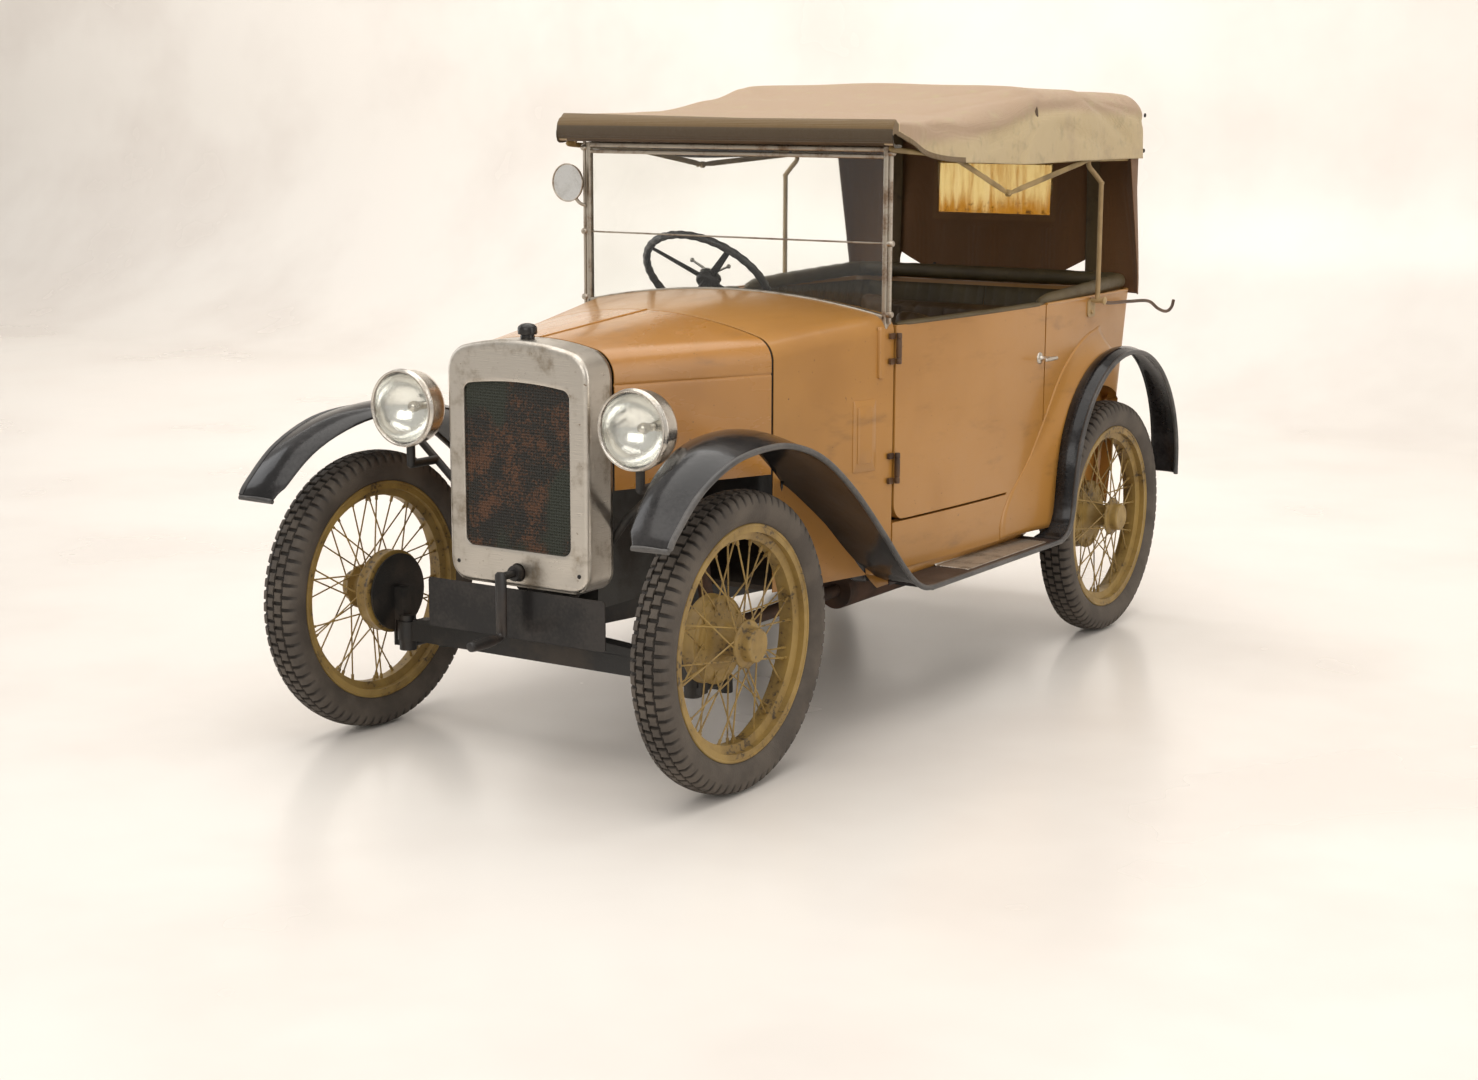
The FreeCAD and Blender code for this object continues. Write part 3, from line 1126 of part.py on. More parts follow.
def track_rod():
    arm_z = s.tyre_radius - s.axle_drop - s.arm_drop
    half = s.kingpin_offset
    z = arm_z - s.arm_radius - 1 - s.running_gap - s.rod_radius - 1
    parts = [rod((-half, s.steering_arm, z), (half, s.steering_arm, z), s.rod_radius)]
    for side in (1, -1):
        parts.append(rod((side * half, s.steering_arm, z - s.rod_radius - 1),
                         (side * half, s.steering_arm, z + s.rod_radius + 1), s.rod_eye))
    return feature("track_rod", joined(parts))


pair("knuckle", knuckle())
track_rod()


# Tyres and wire wheels: a tyre, a well-base rim, spokes laced to the hub, and the brake drum
def tyre_profile():
    half, bead = s.tyre_width / 2, s.rim_width / 2 - s.rim_sheet - s.running_gap
    outer, low = s.tyre_radius, s.bead_radius
    belly = (outer + s.rim_radius) / 2 - 6
    tread = half * 0.78
    return outline((-bead, low), (-bead, s.rim_radius + 2), ((-half, belly), (-tread, outer - 9)),
                   ((0, outer), (tread, outer - 9)), ((half, belly), (bead, s.rim_radius + 2)), (bead, low),
                   (-bead, low))


def rim_profile():
    half, wall = s.rim_width / 2, s.rim_sheet
    seat, well, lip = s.bead_radius - s.running_gap, s.well_radius, s.rim_radius
    drop = half * 0.5
    return polygon((-half, lip), (-half + wall, lip), (-half + wall, seat), (-drop, seat), (-drop + 6, well + wall),
                   (drop - 6, well + wall), (drop, seat), (half - wall, seat), (half - wall, lip), (half, lip),
                   (half, seat - wall), (drop + 3, seat - wall), (drop - 3, well), (-drop + 3, well),
                   (-drop - 3, seat - wall), (-half, seat - wall))


def spoke(angle, hub_x, hub_radius, lean, rim_x):
    """One square spoke from a hub flange to the rim's well, leaning along the hub's tangent."""
    start = Vector(hub_x, hub_radius * math.cos(angle), hub_radius * math.sin(angle))
    reach = s.well_radius + s.rim_sheet / 2
    end = Vector(rim_x, reach * math.cos(angle + lean), reach * math.sin(angle + lean))
    side = s.spoke_width
    bar = Part.makeBox(side, side, (end - start).Length, Vector(-side / 2, -side / 2, 0))
    bar.Placement = Placement(start, Rotation(Vector(0, 0, 1), end - start))
    return bar


def wheel_shape(with_drum):
    rim = turned_about_x(rim_profile())
    inner_x, outer_x = -s.drum_face + 6, s.hub_length / 2 - 6
    hub = rod((-s.drum_face, 0, 0), (s.hub_length / 2, 0, 0), s.hub_radius)
    flanges = [rod((inner_x - 3, 0, 0), (inner_x + 3, 0, 0), s.hub_flange_radius + 14),
               rod((outer_x - 3, 0, 0), (outer_x + 3, 0, 0), s.hub_flange_radius)]
    cap = rod((s.hub_length / 2, 0, 0), (s.hub_cap_face, 0, 0), s.hub_cap_radius)
    spokes = []
    count = int(s.spoke_count)
    for number in range(count):
        angle = 2 * math.pi * number / count
        lean = math.radians(34) * (1 if number % 2 else -1)
        spokes.append(spoke(angle, outer_x, s.hub_flange_radius - 3, lean, 2))
        spokes.append(spoke(angle + math.pi / count, inner_x, s.hub_flange_radius + 11, lean * 0.9, -2))
    parts = [rim, hub, *flanges, cap, *spokes]
    if with_drum:
        face = -s.drum_face
        drum = rod((face - s.drum_depth, 0, 0), (face + s.drum_wall, 0, 0), s.drum_radius)
        parts.append(drum.cut(rod((face - s.drum_depth - 1, 0, 0), (face, 0, 0), s.drum_radius - s.drum_wall)))
    bore = rod((-FAR, 0, 0), (s.hub_length / 2 + 2, 0, 0), s.spindle_radius + s.running_gap)
    return joined(parts).cut(bore)


road_wheel = wheel_shape(True)
spare_wheel_shape = wheel_shape(False)
tyre_shape = turned_about_x(tyre_profile())
CORNERS = {"front_left": (1, 0), "front_right": (-1, 0), "rear_left": (1, 1), "rear_right": (-1, 1)}


def set_wheel(shape, side, y):
    """Copies a wheel or tyre to its corner; its outer face looks away from the car."""
    copy = shape.copy()
    turn = Rotation() if side > 0 else Rotation(Vector(0, 0, 1), 180)
    copy.Placement = Placement(Vector(side * half_track, y, s.tyre_radius), turn)
    return copy


for corner, (side, rear) in CORNERS.items():
    feature("wheel_" + corner, set_wheel(road_wheel, side, rear * s.wheelbase))
    feature("tyre_" + corner, set_wheel(tyre_shape, side, rear * s.wheelbase))


def spare(shape):
    copy = shape.copy()
    copy.Placement = Placement(Vector(0, s.spare_y, s.spare_z), Rotation(Vector(0, 0, 1), 90))
    return copy


feature("spare_wheel", spare(spare_wheel_shape))
feature("spare_tyre", spare(tyre_shape))

# Checks and files
doc.recompute()
for obj in doc.Objects:
    if "Invalid" in obj.State or "Error" in obj.State:
        raise RuntimeError(f"{obj.Label} failed to build: {obj.getStatusString()}")
os.makedirs("parts", exist_ok=True)
bad = [obj.Label for obj in pieces
       if obj.Shape.isNull() or not obj.Shape.isValid() or not obj.Shape.Solids]
if bad:
    raise RuntimeError(f"not valid solids: {bad}")
for obj in pieces:
    obj.Shape.exportStep(f"parts/{obj.Label}.step")
whole = Part.makeCompound([obj.Shape for obj in pieces])
print(len(pieces), "sub-parts; box", whole.BoundBox)
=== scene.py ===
import math

import bmesh
import bpy
import numpy as np
from mathutils import Matrix, Vector


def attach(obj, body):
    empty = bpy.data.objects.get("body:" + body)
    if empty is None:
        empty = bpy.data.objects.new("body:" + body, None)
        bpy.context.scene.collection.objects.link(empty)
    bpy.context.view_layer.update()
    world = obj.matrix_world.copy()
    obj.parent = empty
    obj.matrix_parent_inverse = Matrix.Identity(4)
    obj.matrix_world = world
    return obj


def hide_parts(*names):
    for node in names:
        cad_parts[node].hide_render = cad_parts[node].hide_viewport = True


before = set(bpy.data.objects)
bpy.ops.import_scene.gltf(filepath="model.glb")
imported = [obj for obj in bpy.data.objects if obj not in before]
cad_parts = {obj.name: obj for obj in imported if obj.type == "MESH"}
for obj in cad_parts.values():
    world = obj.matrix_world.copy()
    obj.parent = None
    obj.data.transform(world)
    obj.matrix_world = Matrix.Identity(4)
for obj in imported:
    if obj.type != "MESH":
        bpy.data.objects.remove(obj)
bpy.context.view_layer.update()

# Every length is in metres. The car faces -Y, its left is +X, and shapes are drawn
# with y counted from the front axle; lay_down moves them to the frame's own origin.
FRONT_AXLE = -1.0225
WHEELBASE = 1.905


# The showroom floor and wall
# A pale polished floor that runs up into a plain warm wall, neither of them part of
# the car.
class Tone:
    """One socket of a finish. Sums and products with it add Math nodes, so a pattern reads as a formula."""

    def __init__(self, tree, socket):
        self.tree = tree
        self.socket = socket

    def make(self, kind, settings=None, out=0, **inputs):
        """Adds a node of a kind: its settings come first, then the values or links of its sockets."""
        added = self.tree.nodes.new(kind)
        for name, value in (settings or {}).items():
            if name == "stops":
                stops = added.color_ramp.elements
                while len(stops) < len(value):
                    stops.new(1.0)
                for stop, (place, colour) in zip(stops, value):
                    stop.position = place
                    stop.color = (*colour, 1.0)
            else:
                setattr(added, name, value)
        for name, value in inputs.items():
            by_identifier = {item.identifier: item for item in added.inputs}
            target = by_identifier.get(name) or added.inputs[name.replace("_", " ")]
            if isinstance(value, Tone):
                self.tree.links.new(value.socket, target)
            elif isinstance(value, tuple) and len(value) == 3 and target.type == "RGBA":
                target.default_value = (*value, 1.0)
            else:
                target.default_value = value
        return Tone(self.tree, added.outputs[out]) if added.outputs else None

    def math(self, operation, *others, first=True):
        """A Math node of this socket and others; first=False puts this socket second."""
        added = self.tree.nodes.new("ShaderNodeMath")
        added.operation = operation
        items = [self, *others] if first else [*others, self]
        for target, value in zip(added.inputs, items):
            if isinstance(value, Tone):
                self.tree.links.new(value.socket, target)
            else:
                target.default_value = value
        return Tone(self.tree, added.outputs[0])

    def __add__(self, other):
        return self.math("ADD", other)

    __radd__ = __add__

    def __mul__(self, other):
        return self.math("MULTIPLY", other)

    __rmul__ = __mul__

    def __sub__(self, other):
        return self.math("SUBTRACT", other)

    def __rsub__(self, other):
        return self.math("SUBTRACT", other, first=False)

    def step(self, low, high):
        """0 below low and 1 above high, rising smoothly between; low above high turns it round."""
        return self.make("ShaderNodeMapRange", {"interpolation_type": "SMOOTHSTEP"}, Value=self,
                         From_Min=low, From_Max=high)

    def pick(self, off, on):
        """The colour off where this is 0 and on where it is 1."""
        return self.make("ShaderNodeMix", {"data_type": "RGBA"}, out=2, Factor_Float=self, A_Color=off,
                         B_Color=on)


def new_finish(name):
    """A material with its shader; returns it, its node tree as a Tone, and Object coordinates."""
    material = bpy.data.materials.new(name)
    material.use_nodes = True
    tree = material.node_tree
    tree.nodes.clear()
    start = Tone(tree, None)
    place = start.make("ShaderNodeTexCoord", out="Object")
    return material, start, place


def noise(place, scale, detail=3.0, roughness=0.55, stretch=None):
    """A smooth noise from about 0.2 to 0.8, this many waves to a metre; stretch scales each axis."""
    if stretch is not None:
        place = place.make("ShaderNodeMapping", Vector=place, Scale=stretch)
    return place.make("ShaderNodeTexNoise", Vector=place, Scale=scale, Detail=detail,
                      Roughness=roughness)


def surface(start, material, bump=None, bump_depth=0.001, **values):
    """Joins a Principled shader to the material: fixed numbers stay on its own sockets."""
    if bump is not None:
        values["Normal"] = start.make("ShaderNodeBump", Strength=1.0, Distance=bump_depth, Height=bump)
    shader = start.make("ShaderNodeBsdfPrincipled", **values)
    start.make("ShaderNodeOutputMaterial", Surface=shader)
    return material


def floor_finish():
    """Off-white sealed floor with faint cloudy patches in colour and gloss."""
    material, start, place = new_finish("showroom_floor")
    cloud = noise(place, 0.9, 4.0)
    colour = cloud.step(0.35, 0.7).pick((0.86, 0.82, 0.77), (0.78, 0.73, 0.68))
    return surface(start, material, Base_Color=colour, Roughness=cloud * 0.25 + 0.12,
                   Specular_IOR_Level=0.35)


def stage_mesh(name, points, faces, finish):
    mesh = bpy.data.meshes.new(name)
    mesh.from_pydata(points, [], faces)
    piece = bpy.data.objects.new(name, mesh)
    bpy.context.scene.collection.objects.link(piece)
    mesh.materials.append(finish)
    for polygon in mesh.polygons:
        polygon.use_smooth = True
    return piece


def sweep_floor():
    """A flat floor that turns up into the wall on a quarter round, as one strip of rows along x."""
    turn = np.linspace(0, np.pi / 2, 13)
    radius, wall_y = 1.5, 6.5
    y = np.concatenate([[-14.0], wall_y - radius + radius * np.sin(turn), [wall_y]])
    z = np.concatenate([[0.0], radius - radius * np.cos(turn), [9.0]])
    points = [(x, yy, zz) for yy, zz in zip(y, z) for x in (-16.0, 16.0)]
    faces = [(2 * row, 2 * row + 1, 2 * row + 3, 2 * row + 2) for row in range(len(y) - 1)]
    return stage_mesh("floor", points, faces, floor_finish())


sweep_floor()


# Camera and light
# The camera stands where the photograph was taken from, and broad soft lamps hang over
# and beside the car as in a daylit hall.
def set_camera():
    """A camera from its direction: yaw from +Y, pitch and roll, then a sideways shift of its plate."""
    yaw, pitch, roll = map(math.radians, (-30.76, -10.63, 0.63))
    ahead = Vector((math.sin(yaw) * math.cos(pitch), math.cos(yaw) * math.cos(pitch), math.sin(pitch)))
    level = ahead.cross(Vector((0, 0, 1))).normalized()
    upright = level.cross(ahead)
    right = level * math.cos(roll) + upright * math.sin(roll)
    up = upright * math.cos(roll) - level * math.sin(roll)
    data = bpy.data.cameras.new("camera")
    data.sensor_width, data.lens = 36.0, 54.33
    data.shift_x, data.shift_y = -0.0634, 0.002
    camera = bpy.data.objects.new("camera", data)
    bpy.context.scene.collection.objects.link(camera)
    turn = Matrix((right, up, -ahead)).transposed().to_4x4()
    camera.matrix_world = Matrix.Translation((3.065, -3.883 + FRONT_AXLE, 1.417)) @ turn
    bpy.context.scene.camera = camera


def soft_lamp(name, place, aim, size, power, colour=(1.0, 1.0, 1.0)):
    data = bpy.data.lights.new(name, "AREA")
    data.shape, data.size, data.size_y = "RECTANGLE", size[0], size[1]
    data.energy, data.color = power, colour
    lamp = bpy.data.objects.new(name, data)
    bpy.context.scene.collection.objects.link(lamp)
    lamp.location = place
    lamp.rotation_mode = "QUATERNION"
    lamp.rotation_quaternion = (Vector(aim) - Vector(place)).to_track_quat("-Z", "Y")


set_camera()
soft_lamp("lamp_above", (0.0, -0.5, 5.2), (0.0, 0.0, 0.0), (6.0, 7.0), 230.0, (1.0, 0.97, 0.93))
soft_lamp("lamp_front", (1.5, -6.5, 3.4), (0.0, -1.0, 0.6), (4.5, 2.4), 80.0, (1.0, 0.98, 0.95))
soft_lamp("lamp_left", (6.5, -0.5, 3.0), (0.0, 0.0, 0.6), (2.6, 6.0), 90.0, (1.0, 0.97, 0.93))
soft_lamp("lamp_right", (-6.0, -1.5, 2.6), (0.0, 0.0, 0.8), (2.4, 5.0), 60.0, (0.97, 0.98, 1.0))
soft_lamp("lamp_wall", (-5.5, 2.6, 5.0), (-5.5, 6.5, 1.0), (9.0, 2.0), 200.0, (1.0, 0.98, 0.95))
world = bpy.data.worlds.new("hall")
world.use_nodes = True
world.node_tree.nodes["Background"].inputs["Color"].default_value = (1.0, 0.96, 0.91, 1.0)
world.node_tree.nodes["Background"].inputs["Strength"].default_value = 0.6
bpy.context.scene.world = world
bpy.context.scene.view_settings.view_transform = "Standard"


# Chassis, axles, springs and engine
# Pressed and forged steel under black paint gone brown with road dirt, an iron engine
# and gearbox filmed with oil, and a rusty exhaust. They are bolted and riveted together.
def dress(nodes, finish):
    """Gives solids that keep their own shape a finish."""
    for node in nodes:
        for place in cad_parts[node].material_slots:
            place.material = finish


def iron_finish(name, paint, dirt, shine):
    """Old paint with dirt in broad clouds and a fine gritty bump."""
    material, start, place = new_finish(name)
    cloud = noise(place, 9.0, 5.0)
    grit = noise(place, 160.0, 2.0)
    colour = cloud.step(0.42, 0.68).pick(paint, dirt)
    return surface(start, material, grit * 0.5 + cloud, 0.0012, Base_Color=colour,
                   Roughness=cloud * 0.3 + shine)


chassis_black = iron_finish("chassis_black", (0.012, 0.011, 0.010), (0.045, 0.034, 0.025), 0.34)
engine_grey = iron_finish("engine_grey", (0.060, 0.058, 0.052), (0.030, 0.022, 0.016), 0.40)
exhaust_rust = iron_finish("exhaust_rust", (0.085, 0.040, 0.020), (0.030, 0.020, 0.015), 0.60)
dress(["chassis_frame", "front_axle", "springs", "rear_axle", "knuckle_left", "knuckle_right",
       "track_rod",
       "wing_stays"], chassis_black)
dress(["engine_block"], engine_grey)
dress(["exhaust"], exhaust_rust)


# Road wheels
# A well-base steel rim laced to a turned hub with forty wire spokes, the brake drum
# riveted behind, all brushed with khaki paint that holds dirt in its corners.
def curve_through(points, count):
    """A smooth line of count points through control points: on each span a cubic whose slope at an
    end is half the run between that end's neighbours."""
    points = np.asarray(points, float)
    ends = np.concatenate([[2 * points[0] - points[1]], points, [2 * points[-1] - points[-2]]])
    along = np.linspace(0, len(points) - 1, count)
    span = np.minimum(along.astype(int), len(points) - 2)
    t = (along - span)[:, None]
    a, b, c, d = (ends[span + shift] for shift in range(4))
    return 0.5 * (2 * b + (c - a) * t + (2 * a - 5 * b + 4 * c - d) * t ** 2
                  + (3 * b - a - 3 * c + d) * t ** 3)


def grid(points, round_rows=False, round_columns=False):
    """Points in rows and columns and the four-cornered faces between them; round_ joins last to first."""
    rows, columns = points.shape[:2]
    here = np.arange(rows * columns).reshape(rows, columns)
    below, beside = np.roll(here, -1, 0), np.roll(here, -1, 1)
    corner = np.roll(below, -1, 1)
    faces = np.stack([here, below, corner, beside], -1)
    faces = faces if round_rows else faces[:-1]
    faces = faces if round_columns else faces[:, :-1]
    return points.reshape(-1, 3), faces.reshape(-1, 4)


def lathe(profile, count=96, closed=False):
    """A profile of (along, radius) pairs turned about X, one column for each angle."""
    along, radius = np.asarray(profile, float).T
    angle = np.linspace(0, 2 * np.pi, count, endpoint=False)
    points = np.stack([along[:, None] + 0 * angle, radius[:, None] * np.cos(angle),
                       radius[:, None] * np.sin(angle)], -1)
    return grid(points, closed, True)


def rods(starts, ends, radius, sides=6):
    """Many straight round rods at once: a ring of sides points about each end, and faces across it."""
    starts, ends = np.atleast_2d(starts).astype(float), np.atleast_2d(ends).astype(float)
    line = ends - starts
    line = line / np.linalg.norm(line, axis=1, keepdims=True)
    helper = np.where(np.abs(line[:, :1]) < 0.9, [[1.0, 0, 0]], [[0, 1.0, 0]])
    first = np.cross(line, helper)
    first = first / np.linalg.norm(first, axis=1, keepdims=True)
    second = np.cross(line, first)
    angle = np.linspace(0, 2 * np.pi, sides, endpoint=False)
    ring = radius * (first[:, None] * np.cos(angle)[:, None] + second[:, None] * np.sin(angle)[:, None])
    points = np.stack([starts[:, None] + ring, ends[:, None] + ring], 1)
    near = np.arange(sides)
    side_faces = np.stack([near, np.roll(near, -1), np.roll(near, -1) + sides, near + sides], -1)
    caps = [[0, k + 2, k + 1, k] for k in range(1, sides - 2, 2)]
    caps += [[sides, sides + k, sides + k + 1, sides + k + 2] for k in range(1, sides - 2, 2)]
    one = np.concatenate([side_faces, caps])
    faces = one[None] + (np.arange(len(starts)) * 2 * sides)[:, None, None]
    return points.reshape(-1, 3), faces.reshape(-1, 4)


def tube(path, radius, sides=12, flat=(0.0, 0.0, 1.0), closed=False, squash=1.0):
    """A round bar along a path: each ring lies square to the path's run, which is its central
    difference; flat is a direction the path never follows, and squash thins the bar along it."""
    path = np.asarray(path, float)
    run = np.roll(path, -1, 0) - np.roll(path, 1, 0) if closed else np.gradient(path, axis=0)
    run = run / np.linalg.norm(run, axis=1, keepdims=True)
    first = np.cross(run, flat)
    first = first / np.linalg.norm(first, axis=1, keepdims=True)
    second = np.cross(run, first)
    angle = np.linspace(0, 2 * np.pi, sides, endpoint=False)
    radius = np.broadcast_to(np.asarray(radius, float), (len(path),))[:, None, None]
    ring = radius * (first[:, None] * np.cos(angle)[:, None]
                     + squash * second[:, None] * np.sin(angle)[:, None])
    points = path[:, None] + ring
    if closed:
        return grid(points, True, True)
    points = np.concatenate([path[:1, None] + 0 * ring[:1], points, path[-1:, None] + 0 * ring[-1:]])
    return grid(points, False, True)


def set_down(parts, side=1, at=(0.0, 0.0, 0.0), axis="x"):
    """Places parts drawn about X: they face along axis, or against it where side is -1."""
    placed = []
    for points, faces in parts:
        x, y, z = points.T
        x, y = side * x, side * y
        turned = {"x": (x, y, z), "y": (-y, x, z), "z": (-z, y, x)}[axis]
        placed.append((np.stack(turned, -1) + np.asarray(at), faces))
    return placed


def lay_down(name, parts, finish, body, nodes=(), field=None, sharp=40, thick=0.0, even=True,
             edge=0.0):
    """Makes one piece of the car from parts of (points, faces), given with y from the front axle:
    doubles merged, faces turned outwards, edges sharper than sharp degrees kept crisp. thick gives a
    sheet its wall inwards, of even depth at folds unless even is off, edge rounds its rims, and field is
    a value at each point."""
    counts = [len(points) for points, _ in parts]
    starts = np.cumsum([0, *counts[:-1]])
    points = np.concatenate([points for points, _ in parts]) + [0.0, FRONT_AXLE, 0.0]
    faces = np.concatenate([faces + start for (_, faces), start in zip(parts, starts)])
    mesh = bpy.data.meshes.new(name)
    mesh.from_pydata(points.tolist(), [], faces.tolist())
    if field is not None:
        mesh.attributes.new("depth", "FLOAT", "POINT").data.foreach_set("value",
                                                                        np.asarray(field, np.float32))
    form = bmesh.new()
    form.from_mesh(mesh)
    bmesh.ops.remove_doubles(form, verts=form.verts, dist=0.00002)
    bmesh.ops.dissolve_degenerate(form, edges=form.edges, dist=0.00001)
    bmesh.ops.recalc_face_normals(form, faces=form.faces)
    form.to_mesh(mesh)
    form.free()
    mesh.polygons.foreach_set("use_smooth", np.ones(len(mesh.polygons), bool))
    mesh.set_sharp_from_angle(angle=math.radians(sharp))
    mesh.materials.append(finish)
    made = bpy.data.objects.new(name, mesh)
    bpy.context.scene.collection.objects.link(made)
    if thick:
        wall = made.modifiers.new("wall", "SOLIDIFY")
        wall.thickness, wall.offset = thick, -1.0
        wall.use_even_offset = even
    if edge:
        rim = made.modifiers.new("rim", "BEVEL")
        rim.width, rim.segments, rim.limit_method, rim.angle_limit = edge, 2, "ANGLE", math.radians(50)
        rim.harden_normals = True
    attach(made, body)
    if nodes:
        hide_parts(*nodes)
    return made


def khaki_finish():
    """Brushed khaki-gold paint, darker with dirt in clouds and streaks, on a slightly uneven coat."""
    material, start, place = new_finish("wheel_khaki")
    cloud = noise(place, 14.0, 5.0)
    fine = noise(place, 90.0, 3.0)
    paint = cloud.step(0.35, 0.65).pick((0.330, 0.215, 0.060), (0.225, 0.142, 0.040))
    colour = (fine * cloud).step(0.30, 0.42).pick(paint, (0.060, 0.040, 0.020))
    return surface(start, material, fine, 0.0006, Base_Color=colour, Roughness=cloud * 0.3 + 0.32)


RIM_SECTION = np.array([(-33, 239), (-33, 256), (-29, 256), (-29, 243.4), (-17, 243), (-11, 226),
                        (11, 226), (17, 243),
                        (29, 243.4), (29, 256), (33, 256), (33, 239), (19, 239), (13, 222), (-13, 222),
                        (-19, 239)]) / 1000
LIP_RING = 0.0036
HUB_SECTION = np.array([(-34, 0), (-34, 66), (-30, 67), (-27, 62), (-25, 44), (-12, 32), (18, 30),
                        (30, 34), (33, 51),
                        (37, 53), (41, 50), (43, 39), (46, 37.5), (63, 37.5), (66, 35.5), (66.6, 30),
                        (66, 27), (67, 0)]) / 1000
DRUM_SECTION = np.array([(-68, 80), (-68, 96), (-64, 98), (-60, 95.5), (-38, 95), (-35, 97), (-32, 94),
                         (-29, 86),
                         (-31, 80), (-28.5, 74), (-28, 60), (-34, 30)]) / 1000
SPOKES = 20


def soften(section, share=0.25):
    """Cuts each corner of a line of points with two points, a share of the run before and after it."""
    before, corner, after = section[:-2], section[1:-1], section[2:]
    pair = np.stack([corner + share * (before - corner), corner + share * (after - corner)], 1)
    return np.concatenate([section[:1], pair.reshape(-1, section.shape[1]), section[-1:]])


def wire_spokes():
    """Four sets of ten straight wires from two hub flanges to the rim's well, leaning both ways, each
    ending in a nipple a little thicker than the wire."""
    number = np.arange(SPOKES)
    lean = np.radians(34) * np.where(number % 2, 1.0, -1.0)
    wires, nipples = [], []
    for hub_x, hub_r, rim_x, offset, share in ((0.036, 0.049, 0.004, 0.0, 1.0),
                                               (-0.030, 0.063, -0.004, 0.5, 0.9)):
        start_angle = 2 * np.pi * (number + offset) / SPOKES
        end_angle = start_angle + lean * share
        starts = np.stack([np.full(SPOKES, hub_x), hub_r * np.cos(start_angle),
                           hub_r * np.sin(start_angle)], -1)
        ends = np.stack([np.full(SPOKES, rim_x), 0.223 * np.cos(end_angle), 0.223 * np.sin(end_angle)],
                        -1)
        wires.append(rods(starts, ends, 0.0019, 6))
        nipples.append(rods(ends + 0.075 * (starts - ends), ends, 0.0036, 6))
    return wires + nipples


def wheel_parts(with_drum=True):
    angle = np.linspace(0, 2 * np.pi, 120, endpoint=False)
    lips = [np.stack([np.full(120, x), 0.2545 * np.cos(angle), 0.2545 * np.sin(angle)],
                     -1) for x in (-0.0315, 0.0315)]
    parts = [lathe(RIM_SECTION, 120, True), lathe(soften(HUB_SECTION), 48)]
    parts += [tube(ring, LIP_RING, 8, (1.0, 0.0, 0.0), True) for ring in lips]
    if with_drum:
        parts.append(lathe(soften(DRUM_SECTION), 80))
    return parts + wire_spokes()


wheel_khaki = khaki_finish()
HALF_TRACK, WHEEL_Z = 0.508, 0.328
CORNERS = {"front_left": (1, 0.0), "front_right": (-1, 0.0), "rear_left": (1, WHEELBASE),
           "rear_right": (-1, WHEELBASE)}
for corner, (side, axle_y) in CORNERS.items():
    hub = (side * HALF_TRACK, axle_y, WHEEL_Z)
    lay_down("wire_wheel_" + corner, set_down(wheel_parts(), side, hub), wheel_khaki, corner + "_wheel",
             ["wheel_" + corner])


# Tyres
# Tall narrow covers with staggered rows of blocks, zigzag grooves between them and bars over the shoulders;
# grey-brown rubber, painted darker in the grooves as shade, and scuffed on the blocks.
TREADS = 72
PITCH_PLACES = np.array([0.0, 0.10, 0.17, 0.50, 0.83, 0.90])
SLOT = np.array([1.0, 1.0, 0.0, 0.0, 0.0, 1.0])
ZIGZAG = np.array([-1.0, -0.75, -0.55, 1.0, -0.55, -0.75])
# Each line across the tread: mm from the middle, radius in mm, groove depth share, slot depth share,
# zigzag in mm, and the shift along the tread as a share of the pitch.
TREAD_LINES = np.array([(1.3, 328.0, 1, 0, 1.6, 0.0), (2.1, 328.0, 0, 1, 1.6, 0.25),
                        (10.5, 327.5, 0, 1, 0.0, 0.25),
                        (18.9, 326.0, 0, 1, -1.6, 0.25), (19.7, 326.0, 1, 0, -1.6, 0.25),
                        (23.0, 325.2, 1, 0, 1.2, 0.75), (23.8, 325.0, 0, 1, 1.2, 0.75),
                        (30.0, 323.3, 0, 1, 0.0, 0.75), (36.5, 320.6, 0, 1, 0.0, 0.75),
                        (41.5, 314.5, 0, 0.8, 0.0, 0.75), (45.0, 305.0, 0, 0.45, 0.0, 0.75)])
SIDEWALL = np.array([(46.0, 299), (46.2, 292), (45.6, 284), (44.0, 276), (41.0, 269), (37.2, 263.5),
                     (33.8, 259.5),
                     (30.5, 257.6), (28.6, 254), (28.6, 243.2)])
GROOVE = 0.0062


def tyre_part():
    """A cover as rows across by columns round. A line's radius drops by the groove depth where its
    groove share is 1 and, in the slots of each pitch, by its slot share; a triangle wave moves it
    sideways."""
    half = np.concatenate([TREAD_LINES, [(x, r, 0, 0, 0, 0.75) for x, r in SIDEWALL]])
    other = half[::-1].copy()
    other[:, 0] *= -1
    other[:, 5] *= -1
    lines = np.concatenate([other, half])
    across, radius, groove, slot, zigzag, shift = lines.T
    side = np.sign(across)
    place = (np.arange(TREADS)[:, None] + PITCH_PLACES).ravel()
    cut = np.maximum(groove[:, None], slot[:, None] * np.tile(SLOT, TREADS))
    angle = 2 * np.pi * (place[None] + shift[:, None]) / TREADS
    depth = radius[:, None] / 1000 - GROOVE * cut
    x = (across[:, None] + (side * zigzag)[:, None] * np.tile(ZIGZAG, TREADS)) / 1000
    points = np.stack([x, depth * np.cos(angle), depth * np.sin(angle)], -1)
    return grid(points, False, True), cut.ravel()


def rubber_finish():
    """Brown-grey rubber: painted shade darkening the grooves from the depth value, scuffs and mottling from
    noise.
    """
    material, start, place = new_finish("tyre_rubber")
    cloud = noise(place, 11.0, 5.0)
    fine = noise(place, 240.0, 2.0)
    depth = start.make("ShaderNodeAttribute", {"attribute_name": "depth"}, out="Fac")
    worn = cloud.step(0.35, 0.7).pick((0.062, 0.050, 0.040), (0.105, 0.086, 0.068))
    # The grooves take a near-black colour: painted shade in the recesses.
    colour = depth.pick(worn, (0.026, 0.021, 0.017))
    return surface(start, material, fine + cloud, 0.0008, Base_Color=colour,
                   Roughness=cloud * 0.2 + 0.62)


